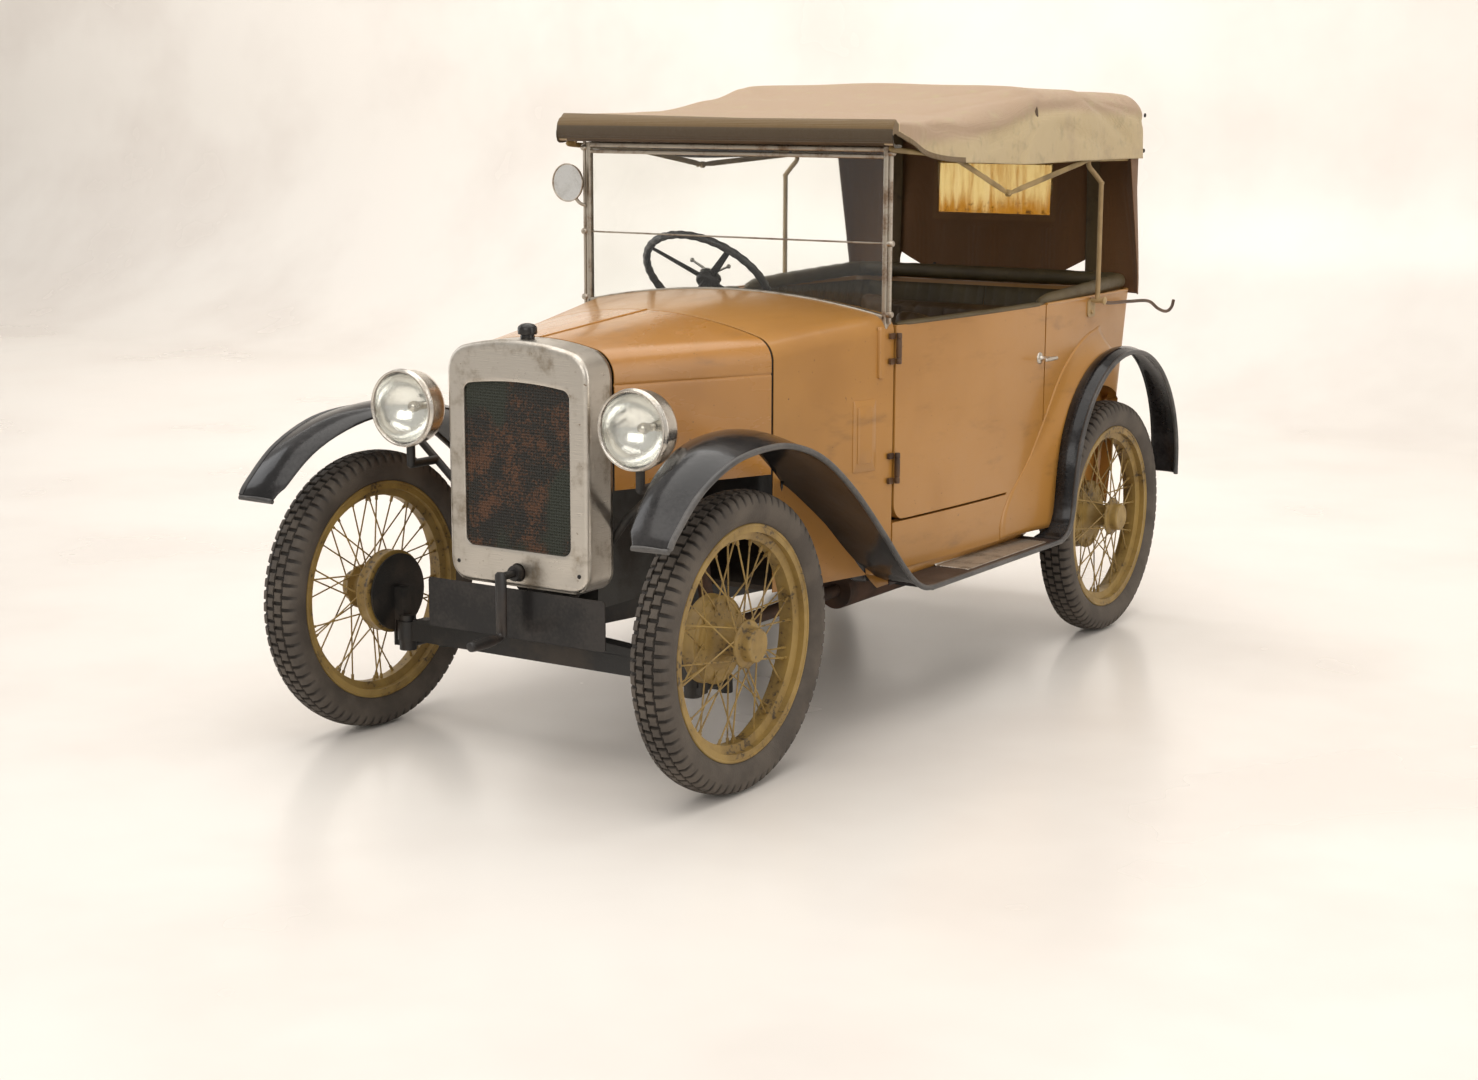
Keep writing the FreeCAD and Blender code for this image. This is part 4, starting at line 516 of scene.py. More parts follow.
tyre_rubber = rubber_finish()
cover, cut_depth = tyre_part()
for corner, (side, axle_y) in CORNERS.items():
    hub = (side * HALF_TRACK, axle_y, WHEEL_Z)
    lay_down("tyre_cover_" + corner, set_down([cover], side, hub), tyre_rubber, corner + "_wheel",
             ["tyre_" + corner], field=cut_depth, sharp=55)


# Spare wheel
# The same wheel without a drum, hung tyre and all on a stub behind the body, and held
# by its hub.
SPARE_PLACE = (0.0, 2.248, 0.598)
lay_down("spare_wire_wheel", set_down(wheel_parts(False), at=SPARE_PLACE, axis="y"), wheel_khaki, "car",
         ["spare_wheel"])
lay_down("spare_cover", set_down([cover], at=SPARE_PLACE, axis="y"), tyre_rubber, "car",
         ["spare_tyre"],
         field=cut_depth, sharp=55)


# Radiator
# A nickel-plated shell pressed over a honeycomb core: a flat band round the opening, a
# soft outer edge and plain sides. The plate is dull and scratched, with dents low on the
# left, a hole for the starting handle and a black filler cap.
def arch_line(half, crown, arch, corner, counts=(14, 8)):
    """An arched top from its middle, over its round corner, to the start of the upright side."""
    arch_z = crown - arch
    corner_x = half - corner
    corner_z = arch_z + math.sqrt((arch - corner) ** 2 - corner_x ** 2)
    lean = math.atan2(corner_z - arch_z, corner_x)
    over = np.linspace(math.pi / 2, lean, counts[0])
    turn = np.linspace(lean, 0.0, counts[1] + 1)[1:]
    return np.concatenate([np.stack([arch * np.cos(over), arch_z + arch * np.sin(over)], -1),
                           np.stack([corner_x + corner * np.cos(turn),
                                     corner_z + corner * np.sin(turn)], -1)])


def arched_loop(half, low, crown, arch, corner, base):
    """A closed upright outline: arched top, straight sides and round lower corners."""
    top = arch_line(half, crown, arch, corner)
    side = np.linspace(top[-1], (half, low + base), 25)[1:]
    turn = np.linspace(0.0, -math.pi / 2, 9)[1:]
    foot = np.stack([half - base + base * np.cos(turn), low + base + base * np.sin(turn)], -1)
    under = np.linspace(foot[-1], (0.0, low), 20)[1:]
    right = np.concatenate([top, side, foot, under])
    return np.concatenate([right, right[-2:0:-1] * [-1, 1]])


def shell_loop(inset):
    return arched_loop(0.194 - inset, 0.402 + inset, 0.950 - inset, 0.620 - inset, 0.062 - inset,
                       0.048 - inset)


def grille_loop(inset):
    return arched_loop(0.145 - inset, 0.487 + inset, 0.858 - inset, 0.900 - inset, 0.020 - inset,
                       0.020 - inset)


def stood(loop, y):
    """A loop of (x, z) pairs at one y, or at one y for each point."""
    return np.stack([loop[:, 0], np.broadcast_to(y, len(loop)), loop[:, 1]], -1)


CRANK_Z, CRANK_HOLE = 0.437, 0.019


def radiator_shell():
    """Rows from inside the opening, over its lip and the flat band, round the edge and back along the
    side; the band's middle columns below the opening give way to a round hole."""
    face_y, soft = -0.090, 0.012
    lip = [stood(grille_loop(inset), y) for inset, y in ((0.0, -0.080), (0.0, -0.0872),
                                                         (-0.001, -0.0892))]
    inner, outer = grille_loop(-0.0035), shell_loop(soft)
    shares = np.linspace(0.0, 1.0, 11)[:, None, None]
    band = inner + (outer - inner) * shares
    dents = sum(depth * np.exp(-((band[..., 0] - x) ** 2 + (band[..., 1] - z) ** 2) / size ** 2)
                for x, z, size, depth in ((0.168, 0.480, 0.014, 0.0022), (0.152, 0.447, 0.020, 0.0018),
                                          (-0.100, 0.440, 0.026, 0.0012),
                                          (0.172, 0.610, 0.016, 0.0012)))
    face = [stood(row, face_y + dent) for row, dent in zip(band, dents)]
    bend = np.linspace(0.0, math.pi / 2, 7)[1:]
    edge = [stood(shell_loop(soft * (1 - math.sin(a))),
                  face_y + soft * (1 - math.cos(a))) for a in bend]
    side = [stood(shell_loop(0.0), y) for y in np.linspace(face_y + soft, 0.0, 9)[1:]]
    rows = np.stack(lip + face + edge + side)
    points, faces = grid(rows, False, True)
    count, middle, half = rows.shape[1], rows.shape[1] // 2, 4
    first, last = len(lip) + 2, len(lip) + len(face) - 1
    row, column = np.divmod(np.arange(len(faces)), count)
    kept = (row < first) | (row >= last) | (column < middle - half) | (column >= middle + half)
    left, right = middle + half, middle - half
    ring = np.concatenate([rows[first, right:left], rows[first:last, left], rows[last, left:right:-1],
                           rows[last:first:-1, right]])
    away = ring[:, [0, 2]] - [0.0, CRANK_Z]
    away = away / np.linalg.norm(away, axis=1, keepdims=True)
    rims = [stood([0.0, CRANK_Z] + away * radius, y) for radius, y in
            ((CRANK_HOLE + 0.002, face_y), (CRANK_HOLE, face_y + 0.002), (CRANK_HOLE, face_y + 0.010))]
    return [(points, faces[kept]), grid(np.stack([ring, *rims]), False, True)]


def nickel_finish():
    """Dull plate: bright where it is polished, browned and pitted in spots, and finely scratched."""
    material, start, place = new_finish("nickel_plate")
    cloud = noise(place, 11.0, 6.0, 0.65)
    spots = noise(place, 70.0, 3.0, 0.7)
    scratches = noise(place, 30.0, 2.0, 0.6, (1.0, 1.0, 14.0))
    colour = cloud.step(0.50, 0.72).pick((0.58, 0.54, 0.48), (0.30, 0.25, 0.19))
    colour = spots.step(0.66, 0.74).pick(colour, (0.20, 0.13, 0.08))
    rough = cloud * 0.35 + scratches * 0.12 + 0.10
    return surface(start, material, scratches + spots * 0.6, 0.0005, Base_Color=colour, Metallic=1.0,
                   Roughness=rough)


def honeycomb():
    """A field of small square cells set cornerwise: a grid whose points step in at the middle of each
    cell, wrapped round behind into a closed core."""
    pitch, half, low, high, front = 0.0066, 0.160, 0.420, 0.884, -0.0850
    x = np.linspace(-half, half, 2 * round(half / pitch) * 2 + 1)
    z = np.linspace(low, high, 2 * round((high - low) / pitch) + 1)
    odd = (np.arange(len(x))[None] // 2 + np.arange(len(z))[:, None] // 2) % 2
    inside = (np.arange(len(x))[None] % 2) * (np.arange(len(z))[:, None] % 2)
    xx, zz = np.meshgrid(x, z)
    depth = front + 0.0030 * inside + 0.0006 * odd
    depth[[0, -1]] = depth[:, [0, -1]] = front + 0.006
    face = np.stack([xx, depth, zz], -1)
    corners = np.array([(-half, low), (half, low), (half, high), (-half, high)])
    box = grid(np.stack([stood(corners, front + 0.006), stood(corners, -0.008)]), False, True)
    back = (stood(corners, -0.008), np.array([[0, 1, 2, 3]]))
    return [grid(face), box, back]


def core_finish():
    """Brown rust and near-black patches mottled over the tinned cells, with dark green-grey clouds."""
    material, start, place = new_finish("radiator_core")
    cloud = noise(place, 16.0, 6.0, 0.7)
    fine = noise(place, 150.0, 2.0, 0.6)
    rust = (cloud + fine * 0.7).step(0.80, 1.00).pick((0.012, 0.010, 0.006), (0.095, 0.040, 0.016))
    colour = noise(place, 7.0, 2.0).step(0.50, 0.62).pick(rust, (0.020, 0.024, 0.014))
    return surface(start, material, fine, 0.0008, Base_Color=colour, Roughness=cloud * 0.2 + 0.5)


def gloss_finish(name, paint, dust, shine=0.10, relief=0.0003):
    """Hard gloss paint with a faint swirl of dust and a clear coat."""
    material, start, place = new_finish(name)
    cloud = noise(place, 7.0, 5.0)
    fine = noise(place, 120.0, 2.0)
    colour = (cloud + fine * 0.3).step(0.55, 0.85).pick(paint, dust)
    return surface(start, material, noise(place, 26.0, 2.0) + fine * 0.2, relief, Base_Color=colour,
                   Roughness=cloud * 0.25 + shine, Coat_Weight=0.1, Coat_Roughness=0.08,
                   Specular_IOR_Level=0.3)


nickel = nickel_finish()
core_rust = core_finish()
black_gloss = gloss_finish("black_enamel", (0.010, 0.009, 0.009), (0.045, 0.040, 0.036))
lay_down("radiator_surround", radiator_shell(), nickel, "car", ["radiator_shell"],
         thick=0.003)
lay_down("honeycomb_core", honeycomb(), core_rust, "car", ["radiator_core"],
         sharp=20)
CAP = np.array([(0, 0), (0, 0.0155), (0.004, 0.0160), (0.009, 0.0150), (0.010, 0.0205), (0.013, 0.0215),
                (0.024, 0.0212), (0.028, 0.0190), (0.032, 0.0135), (0.034, 0.0060), (0.0345, 0)])
lay_down("filler_cap", set_down([lathe(CAP, 48)], at=(0.0, -0.045, 0.950), axis="z"), black_gloss,
         "car",
         ["radiator_cap"])
SCREW = np.array([(-0.0030, 0.0), (-0.0026, 0.0035), (0.0, 0.0052), (0.0026, 0.0035), (0.0030, 0.0)])
lay_down("shell_screws", [part for x in (-0.168, 0.168) for part in
                          set_down([lathe(soften(SCREW), 16)], at=(x, -0.0895, 0.446), axis="y")],
         black_gloss, "car")


# Headlamps, plates and starting handle
# Drum-shaped lamps on short stems from the wing stays, with a beaded rim, clear glass and
# a silvered reflector. The plates are blank black sheet, and the starting handle hangs
# from its shaft below the core.
BOWL = np.array([(-0.0985, 0.0800), (-0.0995, 0.0835), (-0.1035, 0.0865), (-0.1060, 0.0855),
                 (-0.1055, 0.0815),
                 (-0.1000, 0.0795), (-0.0940, 0.0885), (-0.0905, 0.0890), (-0.0885, 0.0865),
                 (-0.0880, 0.0840),
                 (-0.0600, 0.0838), (-0.0500, 0.0818), (-0.0400, 0.0765), (-0.0300, 0.0650),
                 (-0.0230, 0.0480),
                 (-0.0180, 0.0260), (-0.0162, 0.0080), (-0.0160, 0.0)])
REFLECTOR = np.array([(-0.0985, 0.0795), (-0.0900, 0.0790), (-0.0750, 0.0730), (-0.0580, 0.0610),
                      (-0.0440, 0.0450),
                      (-0.0350, 0.0270), (-0.0315, 0.0120), (-0.0310, 0.0)])
GLASS = np.array([(-0.0970, 0.0), (-0.0970, 0.0788), (-0.0992, 0.0790), (-0.1003, 0.0720),
                  (-0.1030, 0.0500),
                  (-0.1045, 0.0250), (-0.1050, 0.0)])
BULB = np.array([(-0.0310, 0.0), (-0.0310, 0.0085), (-0.0480, 0.0085), (-0.0520, 0.0105),
                 (-0.0600, 0.0125),
                 (-0.0680, 0.0095), (-0.0715, 0.0)])
LAMP_X, LAMP_Z = 0.319, 0.779


def lamp_pair(section, count=72):
    """A turned form at both lamps, facing along Y."""
    return [part for side in (1, -1) for part in
            set_down([lathe(section, count)], at=(side * LAMP_X, 0.0, LAMP_Z), axis="y")]


def bright_finish(name, colour, dull, shine):
    """Bright metal, clouded in patches and finely pitted."""
    material, start, place = new_finish(name)
    cloud = noise(place, 18.0, 5.0, 0.6)
    fine = noise(place, 210.0, 2.0)
    tone = (cloud + fine * 0.25).step(0.58, 0.85).pick(colour, dull)
    return surface(start, material, fine, 0.0003, Base_Color=tone, Metallic=1.0,
                   Roughness=cloud * 0.3 + shine)


def clear_finish(name, colour, rough):
    """Clear pane with a breath of dust on it."""
    material, start, place = new_finish(name)
    dust = noise(place, 12.0, 5.0)
    return surface(start, material, Base_Color=colour, Roughness=dust * rough + 0.01, IOR=1.45,
                   Transmission_Weight=1.0)


lamp_silver = bright_finish("lamp_silver", (0.66, 0.62, 0.56), (0.40, 0.34, 0.27), 0.12)
mirror_silver = bright_finish("mirror_silver", (0.90, 0.89, 0.86), (0.74, 0.72, 0.68), 0.02)
lamp_glass = clear_finish("lamp_glass", (0.97, 0.98, 0.96), 0.04)
lay_down("lamp_bowls", lamp_pair(soften(BOWL)), lamp_silver, "car", ["headlamps"])
lay_down("lamp_reflectors", lamp_pair(REFLECTOR), mirror_silver, "car")
lay_down("lamp_bulbs", lamp_pair(soften(BULB), 24), lamp_silver, "car")
lay_down("lamp_glasses", lamp_pair(GLASS), lamp_glass, "car", ["headlamp_lenses"])


def crank_parts():
    """Round shaft, flat arm and barrel grip in one line, bent at each corner over a short round."""
    corner = [(0, 0.062, CRANK_Z), (0, -0.120, CRANK_Z), (0, -0.141, CRANK_Z - 0.002),
              (0, -0.150, CRANK_Z - 0.014),
              (0, -0.150, 0.320), (0, -0.153, 0.306), (0, -0.164, 0.300), (0, -0.185, 0.300)]
    bar = tube(curve_through(corner, 60), 0.009, 14, (1.0, 0.0, 0.0))
    arm = tube([(0, -0.150, z) for z in (CRANK_Z + 0.010, CRANK_Z + 0.004, 0.306, 0.300)],
               [0.0090, 0.0150, 0.0140, 0.0090], 16, (0.0, 1.0, 0.0), squash=0.6)
    grip = np.array([(-0.259, 0.0), (-0.259, 0.008), (-0.255, 0.0115), (-0.235, 0.0125),
                     (-0.205, 0.0130),
                     (-0.178, 0.0115), (-0.172, 0.0095), (-0.171, 0.0)])
    collar = np.array([(-0.108, 0.009), (-0.108, 0.0165), (-0.104, 0.018), (-0.090, 0.018),
                       (-0.086, 0.0165),
                       (-0.086, 0.009)])
    turned = set_down([lathe(soften(grip), 28)], at=(0, 0, 0.300), axis="y")
    return [bar, arm] + turned + set_down([lathe(collar, 28)], at=(0, 0, CRANK_Z), axis="y")


handle_iron = iron_finish("handle_iron", (0.018, 0.016, 0.015), (0.050, 0.036, 0.028), 0.28)
lay_down("starting_crank", crank_parts(), handle_iron, "car", ["starting_handle"])
dress(["number_plates"], gloss_finish("plate_black", (0.012, 0.011, 0.011), (0.035, 0.030, 0.027),
                                      0.22))


# Bonnet and scuttle
# Hand-beaten panels lofted from the radiator's arch to the wider scuttle: two bonnet halves
# hinged on a rod down the middle, each with a folded line along its shoulder, and the
# scuttle with a ventilator hatch at the left. Ochre paint, thin and crazed with age.
SILL_Z = 0.347
COWL_Y, SCREEN_Y = 0.400, 0.785


def hoop_line(section, levels):
    """Half of a hoop from the middle of its top, then down its side at the given heights."""
    side = np.stack([np.full(len(levels), section[0]), levels], -1)
    return np.concatenate([arch_line(*section, (22, 10)), side])


RADIATOR_HOOP = (0.194, 0.950, 0.620, 0.062)
COWL_HOOP = (0.355, 0.985, 1.100, 0.058)
SCREEN_HOOP = (0.452, 1.013, 2.260, 0.048)


def lofted(first, last, first_y, last_y, rows, levels):
    """Straight rulings between two hoops, as rows of points along the car."""
    a, b = stood(hoop_line(first, levels), first_y), stood(hoop_line(last, levels), last_y)
    return a + (b - a) * rows[:, None, None]


FOLD_Z = 0.856


def bonnet_half():
    """The left half: its rows run from the radiator to the scuttle; the shoulder fold is a shallow groove."""
    rows = np.linspace(0.0055 / COWL_Y, 1.0 - 0.0055 / COWL_Y, 28)
    fold = FOLD_Z + np.array([0.0060, 0.0030, 0.0015, 0.0, -0.0015, -0.0030, -0.0060])
    levels = np.concatenate([[0.866], fold, np.linspace(0.840, 0.640, 18), [0.630, 0.625]])
    points = lofted(RADIATOR_HOOP, COWL_HOOP, 0.0, COWL_Y, rows, levels)
    groove = 0.0020 * np.exp(-((points[...,
                                       2] - FOLD_Z) / 0.0022) ** 2) * (np.arange(points.shape[1]) > 30)
    points[..., 0] = np.maximum(points[..., 0], 0.0035) - groove
    return grid(points)


def facing(parts, side):
    """Parts drawn on the left, or their mirror image where side is -1."""
    return [(points * [side, 1.0, 1.0], faces) for points, faces in parts]


def ochre_finish(name, paint, worn, rough):
    """Old hand-brushed ochre: warmer and darker in clouds, scuffed in streaks, spotted and finely crazed."""
    material, start, place = new_finish(name)
    cloud = noise(place, 2.6, 5.0)
    streak = noise(place, 9.0, 4.0, 0.6, (1.0, 0.45, 1.6))
    speck = noise(place, 95.0, 2.0, 0.7)
    craze = start.make("ShaderNodeTexVoronoi", {"feature": "DISTANCE_TO_EDGE"}, Vector=place,
                       Scale=260.0)
    colour = cloud.step(0.38, 0.66).pick(paint, worn)
    colour = streak.step(0.56, 0.78).pick(colour, tuple(0.80 * part for part in worn))
    colour = speck.step(0.71, 0.78).pick(colour, (0.10, 0.050, 0.018))
    height = noise(place, 6.0, 3.0) * 2.0 + streak * 0.4 + craze.step(0.0, 0.08) * 0.04
    return surface(start, material, height, 0.0010, Base_Color=colour, Roughness=streak * 0.28 + rough,
                   Coat_Weight=cloud.step(0.75, 0.35) * 0.55, Coat_Roughness=0.16)


OCHRE, OCHRE_WORN = (0.43, 0.190, 0.032), (0.375, 0.170, 0.040)
bonnet_ochre = ochre_finish("bonnet_ochre", OCHRE, OCHRE_WORN, 0.14)
body_ochre = ochre_finish("body_ochre", (0.43, 0.200, 0.038), (0.37, 0.172, 0.038), 0.26)
for label, side in (("left", 1), ("right", -1)):
    lay_down("bonnet_panel_" + label, facing([bonnet_half()], side), bonnet_ochre, "bonnet_" + label,
             ["bonnet_" + label], thick=0.0035, edge=0.001)


def scuttle_shell():
    """The whole scuttle from foot to foot over the top, one column to each point of the hoop."""
    rows = np.concatenate([np.linspace(0.0, 0.90, 20), [0.93, 0.96, 0.985, 1.0]])
    left = lofted(COWL_HOOP, SCREEN_HOOP, COWL_Y, SCREEN_Y, rows, np.linspace(0.866, SILL_Z, 40))
    right = left[:, :0:-1] * [-1.0, 1.0, 1.0]
    return grid(np.concatenate([right, left], 1))


def scuttle_side_x(y):
    """Half of the scuttle's width at its upright side."""
    return 0.355 + (0.452 - 0.355) * (y - COWL_Y) / (SCREEN_Y - COWL_Y)


def rounded_loop(low, high, radius, count=6):
    """A rectangle with round corners in its own plane, counted round from its lower right."""
    low, high = np.asarray(low, float), np.asarray(high, float)
    corners = [(high[0] - radius, low[1] + radius, -90), (high[0] - radius, high[1] - radius, 0),
               (low[0] + radius, high[1] - radius, 90), (low[0] + radius, low[1] + radius, 180)]
    points = []
    for u, v, start in corners:
        angle = np.radians(start + np.linspace(0.0, 90.0, count))
        points.append(np.stack([u + radius * np.cos(angle), v + radius * np.sin(angle)], -1))
    return np.concatenate(points)


def plate_on(loops, place):
    """A raised plate: loops from its foot up to its face, each (y, z, height), closed over the last."""
    rows = [np.stack(place(loop[:, 0], loop[:, 1], height), -1) for loop, height in loops]
    last = loops[-1][0]
    middle = last.mean(0)
    rows += [np.stack(place(*(middle + (last - middle) * share).T, loops[-1][1]), -1)
             for share in (0.5, 0.0)]
    return grid(np.stack(rows), False, True)


def hatch_parts():
    """A slim frame and the flap inside it, both standing just proud of the scuttle's left side."""
    def place(y, z, height):
        return scuttle_side_x(y) + height, y, z

    outer = [(rounded_loop((0.651 + i, 0.600 + i), (0.726 - i, 0.773 - i), 0.004), h)
             for i, h in ((0.0, -0.0010), (0.0, 0.0012), (0.0010, 0.0020))]
    inner = [(rounded_loop((0.664 + i, 0.620 + i), (0.712 - i, 0.757 - i), 0.003), h)
             for i, h in ((0.0, -0.0010), (0.0, 0.0032), (0.0010, 0.0042))]
    return [plate_on(outer, place), plate_on(inner, place)]


def hinge_parts(side, door_half):
    """Barrels and leaves of the two door hinges: the ends belong to the scuttle, the middles to the door."""
    parts = []
    x, y, radius = HINGE_X, 0.790, 0.0068
    for z in (0.600, 0.890):
        spans = [(-0.0228, 0.0228)] if door_half else [(-0.0372, -0.0234), (0.0234, 0.0372)]
        for low, high in spans:
            shape = soften(np.array([(low, 0.0), (low, radius), (high, radius), (high, 0.0)]), 0.12)
            parts += set_down([lathe(shape, 16)], at=(side * x, y, z), axis="z")
            direction = 1 if door_half else -1
            reach = 0.060 if door_half else 0.021
            base = y + direction * (0.005 if door_half else 0.0052)
            ends = sorted((base, base + direction * reach))
            loop = rounded_loop((ends[0], z + low), (ends[1], z + high), 0.003 if door_half else 0.002)

            def place(yy, zz, height, side=side, x=x):
                return side * (x - 0.0096 + height) + 0 * yy, yy, zz

            parts.append(plate_on([(loop, -0.004), (loop, 0.0015), (loop, 0.0030)], place))
    return parts


def body_half(y):
    """Half of the body's width at the waist."""
    return 0.497 - 0.074 * (y - 1.540) ** 2


HINGE_X = float(body_half(0.790)) + 0.008
hinge_brown = iron_finish("hinge_brown", (0.105, 0.052, 0.022), (0.050, 0.026, 0.014), 0.35)
lay_down("scuttle_panel", [scuttle_shell()], body_ochre, "car", ["scuttle"], thick=0.003,
         edge=0.001)
lay_down("scuttle_hatch", hatch_parts(), body_ochre, "car", edge=0.0006)
lay_down("scuttle_hinges", hinge_parts(1, False) + hinge_parts(-1, False), hinge_brown, "car")
HINGE_ROD = np.array([(0, y, 0.950 + 0.035 * y / COWL_Y) for y in np.linspace(0.0, COWL_Y, 12)])
lay_down("bonnet_hinge_rod", [tube(HINGE_ROD, 0.0026, 10)], bonnet_ochre, "car")


def bulkhead_sheet(section, y, low, inset):
    """A flat sheet filling a hoop, in rows from the middle of its outline to a low line."""
    edge = hoop_line([size - inset for size in section], np.linspace(0.855, low, 12))
    x, z = edge[:, 0], edge[:, 1]
    shares = np.linspace(-1.0, 1.0, 17)
    points = np.stack([shares * x[:, None], np.full((len(x), 17), y), z[:, None] + 0 * shares], -1)
    return grid(points)


DASH_HOOP = tuple(a + (b - a) * 0.90 for a, b in zip(COWL_HOOP, SCREEN_HOOP))
dash_wood = iron_finish("dash_black", (0.016, 0.012, 0.010), (0.040, 0.026, 0.018), 0.30)
lay_down("bulkhead", [bulkhead_sheet(COWL_HOOP, 0.402, 0.480, 0.004)], chassis_black, "car",
         thick=0.003)
lay_down("dashboard", [bulkhead_sheet(DASH_HOOP, 0.750, 0.800, 0.004)], dash_wood, "car",
         thick=0.012,
         edge=0.002)


# Body sides, back and doors
# Steel panels on a timber frame: a waist that bows out beside the seats, a leaning back
# with round corners, wheel arches let into the sides, and a door on each side whose rear
# corner sweeps up over the arch. The doors hang on the hinges and shut flush.
ARCH_Y, ARCH_Z, ARCH_R = WHEELBASE, 0.328, 0.368
TAIL_LEAN, TAIL_TOP, CORNER_R = 0.233, 2.187, 0.070
WALL = 0.026


def waist_z(y):
    """Height of the waist, rising gently to the rear."""
    return 0.945 + 0.010 * np.clip((y - 0.785) / 1.402, 0.0, 1.0)


def tail_at(z):
    """Y of the back panel at a height."""
    return TAIL_TOP - TAIL_LEAN * (0.955 - z)


def sweep_edge(z, grow):
    """Y of the door's rear edge at a height: upright above the knee, then the bowed sweep down to the toe;
    grow moves the edge outwards."""
    knee, toe = np.array([1.530, 0.635]), np.array([1.335, 0.470])
    run = toe - knee
    out = np.array([-run[1], run[0]]) / np.linalg.norm(run)
    share = np.linspace(0.0, 1.0, 60)[:, None]
    curve = knee + run * share - out * (grow + 0.088 * share * (1.0 - share))
    return np.where(z > curve[0, 1], knee[0] + grow, np.interp(z, curve[::-1, 1], curve[::-1, 0]))


SIDE_END, BEND_TOP = 1.600, TAIL_TOP - CORNER_R
ROUND = CORNER_R * math.pi / 2
BACK_START = BEND_TOP + ROUND


def tub_points(along, z, inset=0.0):
    """Points of the tub's outer face, moved in by inset. along runs back down the left side as y does,
    round the corner as arc length, and over the leaning back panel towards the right."""
    along, z = np.broadcast_arrays(along, z)
    bend = tail_at(z) - CORNER_R
    side_y = np.where(along < SIDE_END, along,
                      SIDE_END + (along - SIDE_END) / (BEND_TOP - SIDE_END) * (bend - SIDE_END))
    turn = np.clip((along - BEND_TOP) / ROUND, 0.0, 1.0) * math.pi / 2
    centre_x = body_half(bend) - CORNER_R
    on_side = along <= BEND_TOP
    x = np.where(on_side, body_half(side_y) - inset, centre_x + (CORNER_R - inset) * np.cos(turn))
    y = np.where(on_side, side_y, bend + (CORNER_R - inset) * np.sin(turn))
    x = x - np.maximum(along - BACK_START, 0.0)
    return np.stack([x, y, z], -1)


def closed_sheet(outer, inner):
    """A panel with a wall: its outer and inner faces and the edge all round between them."""
    def border(rows):
        return np.concatenate([rows[0], rows[1:, -1], rows[-1, -2::-1], rows[-2:0:-1, 0]])

    return [grid(outer), grid(inner), grid(np.stack([border(outer), border(inner)]), False, True)]


def door_panel():
    low = 0.470
    z = np.concatenate([low + np.array([0, 0.001, 0.003, 0.007, 0.014, 0.022, 0.030, 0.040]),
                        np.linspace(0.520, 0.620, 8), np.linspace(0.628, 0.650, 5),
                        np.linspace(0.680, 0.944, 12)])
    rise = np.clip(0.040 - (z - low), 0.0, 0.040)
    first = 0.830 - np.sqrt(0.040 ** 2 - rise ** 2)
    share = np.linspace(0.0, 1.0, 44)
    y = first[:, None] + (sweep_edge(z, 0.0) - first)[:, None] * share
    top = np.clip((z - 0.680) / (0.944 - 0.680), 0.0, 1.0)[:, None]
    height = z[:, None] + top * (waist_z(y) - 0.944)
    return closed_sheet(tub_points(y, height), tub_points(y, height, WALL))


def door_handle():
    """The T handle: a turned stem through a round plate, with a crossbar thicker at its middle."""
    x, y, z = float(body_half(1.500)), 1.500, 0.810
    stem = np.array([(-0.004, 0.0), (-0.004, 0.016), (0.002, 0.016), (0.004, 0.012), (0.006, 0.007),
                     (0.018, 0.0055),
                     (0.029, 0.0065), (0.034, 0.0060), (0.038, 0.0)])
    bar = np.array([(-0.036, 0.0), (-0.036, 0.0035), (-0.034, 0.0052), (-0.024, 0.0048), (0.0, 0.0062),
                    (0.024, 0.0048), (0.034, 0.0052), (0.036, 0.0035), (0.036, 0.0)])
    parts = set_down([lathe(soften(stem), 24)], at=(x, y, z))
    return parts + set_down([lathe(soften(bar), 20)], at=(x + 0.034, y, z), axis="y")


def arch_low(along):
    """Height of the side's lower edge: the sill, or the wheel arch over it."""
    y = tub_points(along, 0.655)[..., 1]
    rise = ARCH_R ** 2 - (y - ARCH_Y) ** 2
    return np.where(rise > 0, np.maximum(SILL_Z, ARCH_Z + np.sqrt(np.maximum(rise, 0.0))), SILL_Z)


def side_panel():
    """The sill, the quarter behind the door and the round corner as one sheet: its columns stand on the
    sill or the arch and end at the door's gap or the waist."""
    gap, step = 0.0053, 0.0005
    to_back = BACK_START + float(body_half(BEND_TOP)) - CORNER_R - 0.395
    arch_end = BEND_TOP + ROUND * 0.62
    along = np.concatenate([np.linspace(0.786, 1.325, 28), np.linspace(1.335, 1.530, 24),
                            [1.5353, 1.5353 + step],
                            np.linspace(1.548, 2.100, 34), np.linspace(BEND_TOP, arch_end, 8),
                            [arch_end + step], np.linspace(arch_end + 0.010, to_back, 8)])
    z_fine = np.linspace(0.4647, 0.640, 60)
    top = np.interp(along, sweep_edge(z_fine, gap), z_fine)
    top = np.where(along > 1.5355, waist_z(np.minimum(along, 2.187)), top)
    low = np.where(along > arch_end, SILL_Z, arch_low(along))
    low = np.minimum(low, top - 0.004)
    share = np.linspace(0.0, 1.0, 13)
    z = low[:, None] + (top - low)[:, None] * share
    spread = np.broadcast_to(along[:, None], z.shape)
    return closed_sheet(tub_points(spread, z), tub_points(spread, z, WALL))


